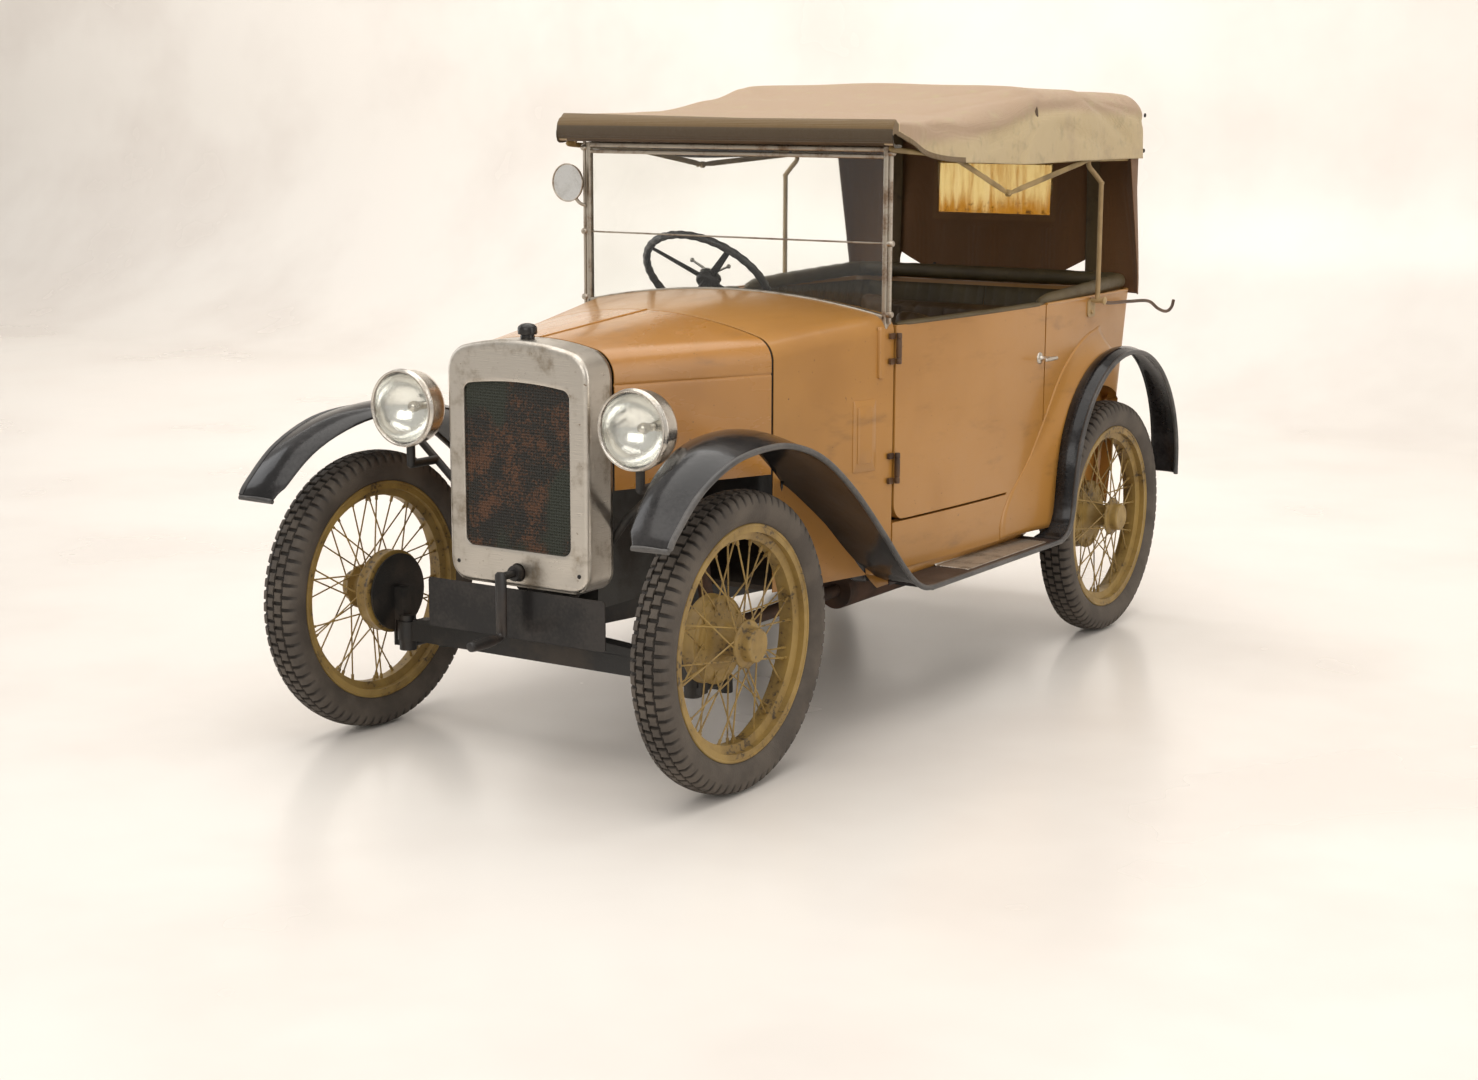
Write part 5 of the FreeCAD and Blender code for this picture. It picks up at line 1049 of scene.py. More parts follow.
def wheelhouse():
    """The sheet arch over the rear wheel and the plate that closes it inside, open at the axle."""
    angle = np.linspace(math.radians(3), math.radians(172), 40)
    y, z = ARCH_Y + 0.3665 * np.cos(angle), ARCH_Z + 0.3665 * np.sin(angle)
    limit = tail_at(z) - WALL
    y = np.minimum(y, limit)
    inner, outer = np.full(40, 0.4225), body_half(y) - 0.004
    arch = np.stack([np.stack([x, y, z], -1) for x in (inner, (inner + outer) / 2, outer)])
    hub = np.stack([np.full(40, 0.4225), ARCH_Y + 0.050 * np.cos(angle),
                    ARCH_Z + 0.050 * np.sin(angle)], -1)
    return [grid(arch), grid(np.stack([arch[0], hub]))]


def back_sheet():
    """The flat middle of the back panel."""
    x = np.linspace(-0.3945, 0.3945, 24)[:, None]
    z = np.linspace(SILL_Z, 0.955, 20)
    outer = np.stack([x + 0 * z, tail_at(z) + 0 * x, z + 0 * x], -1)
    return closed_sheet(outer, outer - [0.0, WALL, 0.0])


def arch_flare():
    """The cove between body and rear wing: from a line on the body out to the wing's inner edge."""
    line = curve_through([(1.905, 0.868), (1.774, 0.838), (1.640, 0.760), (1.540, 0.646),
                          (1.445, 0.540),
                          (1.348, 0.464), (1.300, 0.400), (1.296, 0.349)], 48)
    turn = np.linspace(math.pi / 2 - 0.06, math.pi * 0.96, 40)
    wing = np.stack([1.925 + 0.352 * np.cos(turn), 0.445 + 0.352 * np.sin(turn)], -1)
    wing = np.concatenate([wing, np.linspace(wing[-1], (1.552, 0.349), 9)[1:]])
    rows = []
    for share in np.linspace(0.0, 1.0, 9):
        flat = line + (wing - line) * share
        out = body_half(flat[:, 0]) + 0.0012 + 0.030 * share ** 2
        rows.append(np.stack([out, flat[:, 0], flat[:, 1]], -1))
    return [grid(np.stack(rows))]


def waist_bead():
    """A slim rolled bead along the top of the body behind the door."""
    along = np.concatenate([np.linspace(1.540, 2.100, 20), np.linspace(BEND_TOP, BACK_START, 9),
                            np.linspace(BACK_START + 0.02,
                                        BACK_START + float(body_half(BEND_TOP)) - CORNER_R, 8)])
    return tube(tub_points(along, waist_z(np.minimum(along, 2.187)), 0.003), 0.0045, 8)


for label, side in (("left", 1), ("right", -1)):
    lay_down("door_panel_" + label, facing(door_panel(), side), body_ochre, "door_" + label,
             ["door_" + label], edge=0.0022)
    lay_down("door_hinges_" + label, hinge_parts(side, True), hinge_brown, "door_" + label)
    lay_down("door_handle_" + label, facing(door_handle(), side), nickel, "door_" + label)
    lay_down("side_panel_" + label, facing(side_panel() + wheelhouse(), side), body_ochre, "car",
             ["side_" + label])
    lay_down("arch_flare_" + label, facing(arch_flare(), side), body_ochre, "car",
             thick=0.002)
    lay_down("waist_bead_" + label, facing([waist_bead()], side), body_ochre, "car")


def spare_carrier():
    """The bracket and stub that hold the spare wheel to the back."""
    plate_y = float(tail_at(0.598))
    turned = np.array([(-0.030, 0.0), (-0.030, 0.062), (0.004, 0.062), (0.006, 0.058), (0.007, 0.026),
                       (0.030, 0.026),
                       (0.032, 0.014), (0.090, 0.014), (0.092, 0.0)])
    return set_down([lathe(soften(turned), 40)], at=(0.0, plate_y, 0.598), axis="y")


lay_down("back_sheet", back_sheet(), body_ochre, "car", ["back_panel"])
lay_down("spare_carrier", spare_carrier(), chassis_black, "car")


# Wings, running boards and step plates
# Domed steel wings with a rolled bead along the outer edge. The front pair sweep down into the boards and
# carry an inner skirt behind the wheel; the rear pair hug the wheels. All are black enamel, lighter grey on
# the bead, and a bright ribbed plate guards each board.
WING_OUT = 0.581


def front_wing_side(count=64):
    """The front wing's outer edge in side view, from its tip over the wheel to the board."""
    return curve_through([(-0.342, 0.588), (-0.318, 0.618), (-0.232, 0.689), (-0.111, 0.738),
                          (0.020, 0.752),
                          (0.130, 0.742), (0.250, 0.700), (0.375, 0.618), (0.500, 0.510),
                          (0.610, 0.406),
                          (0.672, 0.357), (0.720, 0.334), (0.757, 0.328)], count)


def rear_wing_side(count=56):
    """The rear wing's outer edge: up from the board and round the wheel to its tail."""
    turn = np.linspace(math.pi * 0.945, -0.085, 40)
    arc = np.stack([1.925 + 0.355 * np.cos(turn), 0.445 + 0.355 * np.sin(turn)], -1)
    return curve_through(np.concatenate([[(1.489, 0.328), (1.530, 0.345), (1.556, 0.392)], arc[::3],
                                         arc[-1:]]), count)


def domed_wing(side_line, inner, rise, fall):
    """Crowned sheet along a side line: each row runs from the inner edge over a soft ridge to the outer
    bead. inner, rise and fall are given along the line: where the row starts, how far its ridge stands
    above the line, and how far the inner edge lies above it."""
    run = np.gradient(side_line, axis=0)
    run = run / np.linalg.norm(run, axis=1, keepdims=True)
    out = np.stack([-run[:, 1], run[:, 0]], -1)
    share = np.array([0.0, 0.04, 0.10, 0.18, 0.27, 0.36, 0.45, 0.54, 0.63, 0.72, 0.80, 0.87, 0.93, 0.97,
                      1.0])
    ridge = np.sin(math.pi * share ** 0.85)
    x = inner[:, None] + (WING_OUT - inner)[:, None] * share
    lift = rise[:, None] * ridge + fall[:, None] * (1.0 - share) ** 1.5
    y = side_line[:, :1] + out[:, :1] * lift
    z = side_line[:, 1:] + out[:, 1:] * lift
    return np.stack([x, y, z], -1)


def front_wing_parts():
    line = front_wing_side()
    y = line[:, 0]
    inner = np.interp(y, [-0.345, -0.320, -0.200, 0.0, 0.200, 0.300, 0.394, 0.440, 0.760],
                      [0.492, 0.470, 0.446, 0.404, 0.388, 0.378, 0.364, 0.358, 0.452])
    rise = np.interp(y, [-0.345, -0.25, 0.0, 0.5, 0.70, 0.757],
                     [0.004, 0.014, 0.022, 0.018, 0.008, 0.001])
    fall = np.interp(y, [-0.345, -0.2, 0.0, 0.30, 0.55, 0.70, 0.757],
                     [-0.006, 0.0, 0.004, 0.014, 0.030, 0.020, 0.0])
    rows = domed_wing(line, inner, rise, fall)
    bead = tube(np.concatenate([rows[0, ::-1] + [0, 0, -0.002], rows[:, -1] + [0.0015, 0.0, -0.003]]),
                np.interp(np.arange(15 + len(rows)), [0, 4, 15, 19], [0.0020, 0.0035, 0.0060, 0.0068]),
                12,
                (0.3, 0.0, 0.954))
    return rows, bead


def skirt_part(rows):
    """The plate behind the wheel, from the wing's inner edge down towards the frame."""
    top = rows[(rows[:, 0, 1] > 0.398) & (rows[:, 0, 1] < 0.700), 0]
    low = np.stack([top[:, 0] - 0.004, top[:, 1] + 0.010,
                    np.interp(top[:, 1], [0.398, 0.52, 0.66, 0.70], [0.600, 0.440, 0.335, 0.330])], -1)
    return grid(np.stack([top + (low - top) * share for share in np.linspace(0.0, 1.0, 6)]))


def rear_wing_parts():
    line = rear_wing_side()
    y = line[:, 0]
    inner = np.interp(y, [1.489, 1.53, 1.58, 2.0, 2.28], [0.500, 0.512, 0.522, 0.522, 0.500])
    count = len(line)
    along = np.linspace(0.0, 1.0, count)
    rise = np.interp(along, [0.0, 0.08, 0.2, 0.9, 1.0], [0.000, 0.004, 0.010, 0.010, 0.004])
    fall = np.interp(along, [0.0, 0.1, 0.25, 0.8, 1.0], [0.0, 0.002, 0.004, 0.004, 0.000])
    rows = domed_wing(line, inner, rise, fall)
    bead = tube(rows[:, -1] + [0.0015, 0.0, -0.003], np.full(count, 0.0066), 12, (1.0, 0.0, 0.0))
    return rows, bead


def board_parts():
    """The board between the wings: a sheet with a rolled outer edge and a turned-down inner edge."""
    y = np.linspace(0.7565, 1.4880, 30)
    section = np.array([(0.4620, 0.3155), (0.4620, 0.3262), (0.4640, 0.3270), (0.500, 0.3272),
                        (0.545, 0.3272),
                        (0.572, 0.3268), (0.581, 0.3262), (0.584, 0.3235)])
    rows = np.stack([np.stack([np.full(len(section), yy), section[:, 0], section[:, 1]],
                              -1) for yy in y])
    sheet = grid(rows[..., [1, 0, 2]])
    edge = np.stack([np.full(30, 0.5825), y, np.full(30, 0.3240)], -1)
    return sheet, tube(edge, 0.0068, 12, (1.0, 0.0, 0.0))


def step_plate():
    """A bright plate with a turned-up inner edge and fine ribs along it."""
    y = np.linspace(0.985, 1.440, 40)
    lift = np.minimum(np.minimum(y - 0.985, 1.440 - y) / 0.004, 1.0)
    x = np.concatenate([[0.4660, 0.4665], np.linspace(0.470, 0.560, 46), [0.5615, 0.5620]])
    ribs = 0.0011 * (np.sin((x - 0.470) * 2 * math.pi / 0.0082) > 0) * (x > 0.474) * (x < 0.556)
    up = np.interp(x, [0.4660, 0.4665, 0.4700], [0.0125, 0.0040, 0.0]) + ribs
    edge = np.where(x > 0.5612, -0.0016, 0.0)
    z = 0.3284 + up[:, None] + edge[:, None] + 0.0008 * (lift - 1.0)
    return grid(np.stack([x[:, None] + 0 * y, y + 0 * x[:, None], z], -1))


def under_apron():
    """The narrow sheet that fills in between body sill and running board."""
    y = np.linspace(0.700, 1.480, 16)
    top = np.stack([np.interp(y, [0.70, 0.785, 1.1, 1.48], [0.428, 0.452, 0.482, 0.492]), y,
                    0 * y + 0.352], -1)
    low = np.stack([0 * y + 0.4635, y, 0 * y + 0.3200], -1)
    return grid(np.stack([top, (top + low) / 2 - [0.0, 0, 0.002], low]))


wing_black = gloss_finish("wing_black", (0.0075, 0.0070, 0.0075), (0.030, 0.028, 0.028), 0.06, 0.0008)
bead_grey = gloss_finish("bead_grey", (0.060, 0.058, 0.057), (0.115, 0.108, 0.102), 0.24, 0.0004)
board_brown = iron_finish("board_brown", (0.030, 0.020, 0.018), (0.075, 0.052, 0.042), 0.34)
step_metal = bright_finish("step_metal", (0.50, 0.46, 0.40), (0.27, 0.23, 0.18), 0.34)
front_rows, front_bead = front_wing_parts()
rear_rows, rear_bead = rear_wing_parts()
board, board_bead = board_parts()
for label, side in (("left", 1), ("right", -1)):
    lay_down("front_wing_" + label, facing([grid(front_rows), skirt_part(front_rows)], side),
             wing_black, "car",
             ["front_wings"] if side == 1 else [], thick=0.0022)
    lay_down("rear_wing_" + label, facing([grid(rear_rows)], side), wing_black, "car",
             ["rear_wings"] if side == 1 else [], thick=0.0022)
    lay_down("wing_bead_" + label, facing([front_bead, rear_bead, board_bead], side), bead_grey, "car")
    lay_down("running_board_" + label, facing([board], side), board_brown, "car",
             ["running_boards"] if side == 1 else [], thick=0.0022)
    lay_down("board_apron_" + label, facing([under_apron()], side), body_ochre, "car",
             thick=0.0015)
    lay_down("step_plate_" + label, facing([step_plate()], side), step_metal, "car",
             thick=0.0008)


# Windscreen, glass and mirror
# A brass-framed screen dulled to brown nickel: two uprights with slim rods beside them, a
# bottom rail that follows the scuttle, and an upper pane that hinges at the top bar. A
# small round mirror sits on the right upright.
POST_X, SCREEN_MID_Y = 0.4375, 0.766


def rail_z(x):
    """Height of the bottom rail, following the scuttle's crown."""
    return 1.0045 - 0.5 * (np.asarray(x, float) / 0.445) ** 2 * 0.094


def squared_tube(path, wide, deep, soft=0.25):
    """A bar of soft rectangular section along a path in the screen's plane."""
    path = np.asarray(path, float)
    run = np.gradient(path, axis=0)
    run = run / np.linalg.norm(run, axis=1, keepdims=True)
    across = np.cross(run, [0.0, 1.0, 0.0])
    loop = rounded_loop((-wide / 2, -deep / 2), (wide / 2, deep / 2), soft * min(wide, deep), 4)
    rows = (path[:, None] + across[:, None] * loop[None, :, :1]
            + np.array([0.0, 1.0, 0.0]) * loop[None, :, 1:])
    rows = np.concatenate([path[:1, None] + 0 * rows[:1], rows, path[-1:, None] + 0 * rows[-1:]])
    return grid(rows, False, True)


def screen_frame():
    y = SCREEN_MID_Y
    x = np.linspace(-POST_X, POST_X, 40)
    parts = [squared_tube(np.stack([x, 0 * x + y, rail_z(x) + 0.004], -1), 0.013, 0.018)]
    for side in (1, -1):
        post = [(side * POST_X, y, z) for z in np.linspace(0.938, 1.366, 12)]
        parts.append(squared_tube(post, 0.014, 0.018))
        rod_x = side * (POST_X + 0.0135)
        parts.append(tube([(rod_x, y - 0.004, z) for z in np.linspace(0.950, 1.372, 10)], 0.0045, 10,
                          (1.0, 0.0, 0.0)))
        for z in (0.972, 1.140, 1.352):
            knob = np.array([(-0.0100, 0.0), (-0.0100, 0.0045), (-0.006, 0.0085), (0.006, 0.0085),
                             (0.0100, 0.0045),
                             (0.0100, 0.0)])
            parts += set_down([lathe(soften(knob), 18)], at=(rod_x, y - 0.004, z))
    for z, wide in ((1.3600, 0.014), (1.3430, 0.010)):
        parts.append(squared_tube([(xx, y, z) for xx in np.linspace(-POST_X, POST_X, 24)], wide, 0.014))
    parts.append(squared_tube([(xx, y, 1.1400) for xx in np.linspace(-POST_X + 0.006, POST_X - 0.006,
                                                                     24)], 0.0042, 0.007))
    return parts


def pane(low, high):
    """A flat pane 4 mm thick between two heights, which may differ along it."""
    x = np.linspace(-POST_X + 0.004, POST_X - 0.004, 24)[:, None]
    share = np.linspace(0.0, 1.0, 4)
    bottom = np.asarray(low(x[:, 0]))[:, None]
    z = bottom + (high - bottom) * share
    front = np.stack([x + 0 * z, 0 * z + SCREEN_MID_Y - 0.002, z], -1)
    return closed_sheet(front, front + [0.0, 0.004, 0.0])


def foot_strip():
    """The ochre strip down each side of the scuttle that holds the screen's foot."""
    loops = [(rounded_loop((0.7290 + i, 0.8200 + i), (0.7470 - i, 0.9440 - i), 0.007), h)
             for i, h in ((0.0, -0.0010), (0.0, 0.0050), (0.0015, 0.0068))]

    def place(y, z, height):
        return scuttle_side_x(y) + height, y, z

    return [plate_on(loops, place)]


def mirror_parts():
    """A round glass in a turned case on a bent arm."""
    case = np.array([(0.0150, 0.0), (0.0148, 0.020), (0.0120, 0.040), (0.0050, 0.0475),
                     (-0.0010, 0.0490),
                     (-0.0028, 0.0480), (-0.0020, 0.0462), (0.0, 0.0455)])
    arm = curve_through([(-0.445, 0.757, 1.205), (-0.458, 0.747, 1.213), (-0.470, 0.741, 1.232),
                         (-0.485, 0.742, 1.252)], 18)
    face = np.array([(0.0, 0.0456), (0.0005, 0.0)])
    centre = (-0.485, 0.7345, 1.263)
    return (set_down([lathe(case, 40)], at=centre, axis="y") + [tube(arm, 0.0045, 10, (0.0, 0.0, 1.0))],
            set_down([lathe(face, 40)], at=centre, axis="y"))


brown_nickel = bright_finish("brown_nickel", (0.46, 0.41, 0.34), (0.22, 0.15, 0.10), 0.26)
screen_glass = clear_finish("screen_glass", (0.93, 0.95, 0.93), 0.03)
lay_down("screen_frame", screen_frame(), brown_nickel, "car", ["windscreen_frame"])
lay_down("screen_panes",
         pane(lambda x: rail_z(x) + 0.004, 1.1385) + pane(lambda x: 1.1415 + 0 * x, 1.3550),
         screen_glass, "car", ["windscreen_glass"])
lay_down("screen_feet", foot_strip() + facing(foot_strip(), -1), body_ochre, "car")
mirror_case, mirror_face = mirror_parts()
lay_down("mirror_case", mirror_case, brown_nickel, "car", ["mirror"])
lay_down("mirror_face", mirror_face, mirror_silver, "car")


# Hood canvas
# One sheet of twill that wraps under the front rail, slopes up to the main bow and hangs down the sides and
# back as a short valance. Its top is pink-beige; the valance is greener and is painted lighter than the top,
# painted light for the sides that get less light; the bound front edge is olive and the inside dark.
HOOD_HALF, HOOD_BACK = 0.489, 2.204
RAIL_WRAP = np.array([(0.738, 1.3700), (0.722, 1.3690), (0.708, 1.3705), (0.7005, 1.3765),
                      (0.6970, 1.3880),
                      (0.6960, 1.4010), (0.6985, 1.4140), (0.7050, 1.4245), (0.7140, 1.4300)])
BOW_Y = np.array([0.714, 1.480, 1.785, 2.090])
VALANCE = curve_through([(0.700, 1.3945), (0.735, 1.389), (0.785, 1.373), (0.855, 1.350),
                         (0.945, 1.334),
                         (1.050, 1.328), (1.200, 1.325), (1.380, 1.321), (1.580, 1.323), (1.760, 1.327),
                         (2.000, 1.329), (2.204, 1.331)], 160)
# Creases pulled in the side: y and drop below the edge at both ends, depth and half-width.
CREASES = np.array([(1.22, 0.085, 1.70, 0.038, 0.0085, 0.020),
                    (1.83, 0.030, 2.04, 0.112, 0.0080, 0.018),
                    (1.50, 0.030, 1.38, 0.150, 0.0045, 0.014),
                    (1.96, 0.020, 2.16, 0.070, 0.0050, 0.014),
                    (0.92, 0.020, 1.20, 0.060, 0.0050, 0.016),
                    (1.62, 0.100, 1.86, 0.135, 0.0045, 0.016),
                    (1.10, -0.120, 1.46, -0.020, 0.0040, 0.018),
                    (1.30, -0.260, 1.47, -0.060, 0.0035, 0.016)])


def hood_top(x, y):
    """Height of the stretched canvas: a straight slope from the rail to the main bow, then nearly flat,
    and a little lower towards the sides."""
    middle = np.interp(y, [0.700, 0.800, 1.080, 1.335, 1.465, 1.495, 1.785, 2.204],
                       [1.4300, 1.4330, 1.4530, 1.4960, 1.5250, 1.5280, 1.5260, 1.5185])
    tilt = 0.008 * (x / HOOD_HALF) * np.interp(y, [0.70, 1.30], [1.0, 0.0])
    round_off = 0.012 * (x / HOOD_HALF) ** 2 * np.interp(y, [0.72, 1.20], [0.0, 1.0])
    return middle - tilt - round_off


def creased(y, drop):
    """Long soft valleys: a bell across each line, fading past its ends."""
    depth = 0.0
    for first_y, first_drop, last_y, last_drop, deep, wide in CREASES:
        length = math.hypot(last_y - first_y, last_drop - first_drop)
        run_y, run_drop = (last_y - first_y) / length, (last_drop - first_drop) / length
        along = (y - first_y) * run_y + (drop - first_drop) * run_drop
        across = (drop - first_drop) * run_y - (y - first_y) * run_drop
        past = np.maximum(np.maximum(-along, along - length), 0.0)
        depth = depth - deep * np.exp(-(across / wide) ** 2 - (past / 0.05) ** 2)
    return depth


def hung(x, y, top, fall, reach):
    """Turns a point of a sharp-edged lid into cloth: its edges are rounded by pulling the point on to
    an ellipsoid about an inner box, then it sags between the bows and takes creases and ripples along
    its outward direction. top is the height above the point, fall how far it hangs below that, and
    reach how far the whole side hangs there."""
    edge = np.minimum(np.interp(y, [0.700, 0.735, 0.800, 0.950, 1.250, 2.204],
                                [0.0030, 0.0060, 0.0140, 0.0320, 0.0620, 0.0720]),
                                np.maximum(0.6 * reach, 0.002))
    back = 0.058
    inner = np.stack([np.clip(x, -HOOD_HALF + edge, HOOD_HALF - edge), np.minimum(y, HOOD_BACK - back),
                      np.maximum(fall, edge)], -1)
    radii = np.stack([edge, back + 0.0 * edge, -edge], -1)
    out = (np.stack([x, y, fall], -1) - inner) / radii
    out = out / np.linalg.norm(out, axis=-1, keepdims=True)
    eased = inner + radii * out
    span = np.clip(np.searchsorted(BOW_Y, y) - 1, 0, 2)
    share = np.clip((y - BOW_Y[span]) / (BOW_Y[span + 1] - BOW_Y[span]), 0.0, 1.0)
    sag = -np.array([0.002, 0.007, 0.007])[span] * 4 * share * (1 - share) * (y < BOW_Y[-1])
    drop = fall - (HOOD_HALF - np.abs(x))
    up, aside = np.clip(out[..., 2], 0.0, 1.0) ** 2, out[..., 0] ** 2
    wave = 0.0020 * np.sin(2 * math.pi * (y - 0.70) / 0.23 + 2.1 * x) * np.exp(-((y - 1.02) / 0.26) ** 2)
    low = np.clip(fall / np.maximum(reach, 0.02), 0.0, 1.0) ** 2 * (reach > 0.05)
    flutter = low * (0.0045 * np.sin(17.0 * y + 2.0 * np.sign(x)) + 0.0022 * np.sin(43.0 * y + 9.0 * x))
    ripple = 0.0013 * np.sin(9.1 * x + 4.3 * y + 1.0) * np.sin(13.7 * y - 5.9 * x)
    ripple = ripple + 0.0009 * np.sin(31.0 * y + 17.0 * x)
    loose = np.interp(y, [0.715, 0.80], [0.0, 1.0])
    lift = (sag * (up + 0.4 * aside) + wave * up + flutter * (1.0 - up)
            + loose * (ripple + creased(y, drop)))
    lift = lift * (y > 0.714)
    return np.stack([eased[..., 0], eased[..., 1], top - eased[..., 2]], -1) + out * lift[..., None]


def hood_sheet():
    """Rows from under the rail to the back corner, each from the left hem over the top to the right hem, and
    the rows of the back valance, which share the last row's heights. Also a colour value: 0 on top, 1 on the
    valance, whose lighter colour is painted light, 2 on the bound edge and 3 on the front of the wrap round
    the rail, which takes a darker copy of the bound colour."""
    y = np.concatenate([RAIL_WRAP[:, 0], np.linspace(0.722, 2.140, 116),
                        np.linspace(2.147, HOOD_BACK, 10)])
    wrap = len(RAIL_WRAP)
    x_top = HOOD_HALF * np.sin(np.linspace(math.pi / 2, -math.pi / 2,
                                           81) * 0.86) / math.sin(0.86 * math.pi / 2)
    hem = np.array([0.0, 0.0035, 0.0080, 0.0120, 0.0135])
    reach = hood_top(HOOD_HALF, y) - np.interp(y, VALANCE[:, 0], VALANCE[:, 1])
    reach[:wrap] = np.interp(np.arange(wrap), [0, 4, wrap], [0.004, 0.010, 0.040])
    squeeze = np.minimum(1.0, reach / 0.045)[:, None]
    rest = np.linspace(0.0, 1.0, 17)[1:-1]
    above = np.concatenate([hem * squeeze,
                            0.0135 * squeeze + (reach[:, None] - 0.0135 * squeeze) * rest], 1)
    side_fall = reach[:, None] - above
    x = np.concatenate([np.full(side_fall.shape, HOOD_HALF), np.broadcast_to(x_top, (len(y), 81)),
                        np.full(side_fall.shape, -HOOD_HALF)], 1)
    fall = np.concatenate([side_fall, np.zeros((len(y), 81)), side_fall[:, ::-1]], 1)
    rows = y[:, None] + 0.0 * x
    top = hood_top(x, rows)
    top[:wrap] = RAIL_WRAP[:, 1:]
    over = hung(x, rows, top, fall, reach[:, None] + 0.0 * x)
    back_fall = np.concatenate([[0.0], side_fall[-1, ::-1]])[:, None]
    x_back = x_top + 0.0 * back_fall
    back = hung(x_back, HOOD_BACK + 0.0 * x_back, hood_top(x_back, HOOD_BACK + 0.0 * x_back),
                back_fall + 0.0 * x_back,
                reach[-1] + 0.0 * x_back)
    edge = np.concatenate([above, np.full((len(y), 81), 1.0), above[:, ::-1]], 1)
    # tone runs from the top's colour to the valance's, which is painted lighter as light for the sides.
    tone = np.clip((fall - 0.030) / 0.050, 0.0, 1.0)
    bound = (edge < 0.0125) & (rows < 1.06) | ((np.arange(len(y)) > 2) & (y < 0.728))[:, None]
    bound = bound * np.where(np.arange(len(y)) < 6, 3.0, 2.0)[:, None]
    field = np.concatenate([np.where(bound > 0, bound, tone).ravel(),
                            (np.clip((back_fall - 0.030) / 0.050, 0.0, 1.0) + 0.0 * x_back).ravel()])
    return [grid(over), grid(back)], field


def canvas_finish(name, face, shade, bound, weave=143.0):
    """Twill: stained in clouds between two tones by the colour value, with the bound edge as a third and a
    darker copy of it where the value is 3, and a fine weave of crossed bands in its bump. On the hood the two
    tones are the top's and the valance's, and the valance's lighter tone is painted light."""
    material, start, place = new_finish(name)
    cloud = noise(place, 5.0, 5.0, 0.6)
    stain = noise(place, 22.0, 4.0, 0.65)
    tone = start.make("ShaderNodeAttribute", {"attribute_name": "depth"}, out="Fac")
    # On the hood this mixes the top's tone into the valance's lighter, painted-light tone.
    colour = (tone + (cloud - 0.5) * 0.9).step(0.15, 0.85).pick(face, shade)
    colour = stain.step(0.52, 0.72).pick(colour, tuple(0.80 * part for part in shade))
    colour = cloud.step(0.55, 0.75).pick(colour, tuple(0.5 * (a + b) * 0.88 for a,
                                                       b in zip(face, shade)))
    colour = tone.step(1.35, 1.60).pick(colour, bound)
    colour = tone.step(2.35, 2.60).pick(colour, tuple(0.4 * part for part in bound))
    bands = [start.make("ShaderNodeTexWave", {"bands_direction": axis}, Vector=place, Scale=weave,
                        out="Fac")
             for axis in "XYZ"]
    height = bands[0] + bands[1] + bands[2] + stain * 2.0 + noise(place, 60.0, 3.0) * 2.5
    return surface(start, material, height, 0.0006, Base_Color=colour, Roughness=stain * 0.1 + 0.80,
                   Sheen_Weight=0.25, Sheen_Roughness=0.5)


def lined(piece, inside):
    """Gives the wall's inner skin its own finish."""
    piece.data.materials.append(inside)
    piece.modifiers["wall"].material_offset = 1
    return piece


# The valance's colour is painted lighter than the top's: painted light for the sides, which get less light.
CANVAS_TOP, CANVAS_VALANCE = (0.485, 0.330, 0.205), (0.62, 0.480, 0.265)
CANVAS_BOUND = (0.175, 0.105, 0.032)
hood_twill = canvas_finish("hood_twill", CANVAS_TOP, CANVAS_VALANCE, CANVAS_BOUND)
hood_lining = canvas_finish("hood_lining", (0.105, 0.068, 0.030), (0.075, 0.045, 0.018),
                            (0.11, 0.075, 0.030))
hood_parts, hood_tones = hood_sheet()
canopy = lined(lay_down("hood_canopy", hood_parts, hood_twill, "car", ["hood_canvas"],
                        field=hood_tones,
                        sharp=60, thick=0.0016, even=False), hood_lining)
STUD = np.array([(-0.002, 0.0), (-0.002, 0.0060), (0.0005, 0.0060), (0.0018, 0.0045), (0.0022, 0.0)])
studs = [part for side in (1, -1) for y, z in ((2.176, 1.452), (2.176, 1.352))
         for part in set_down([lathe(STUD, 16)], side, (side * (HOOD_HALF - 0.0015), y, z))]
hood_studs = lay_down("hood_studs", studs, chassis_black, "car")


# Back curtain and its window
# A dark brown curtain hangs inside the valance and round both corners; its middle flap has
# round lower corners, studs and a window of yellowed celluloid, and webbing straps run down
# either side of it.
CURTAIN_Y, CURTAIN_HALF, CURTAIN_R = 2.1995, 0.4860, 0.030
WINDOW_HALF, WINDOW_LOW, WINDOW_HIGH = 0.1870, 1.1590, 1.3050


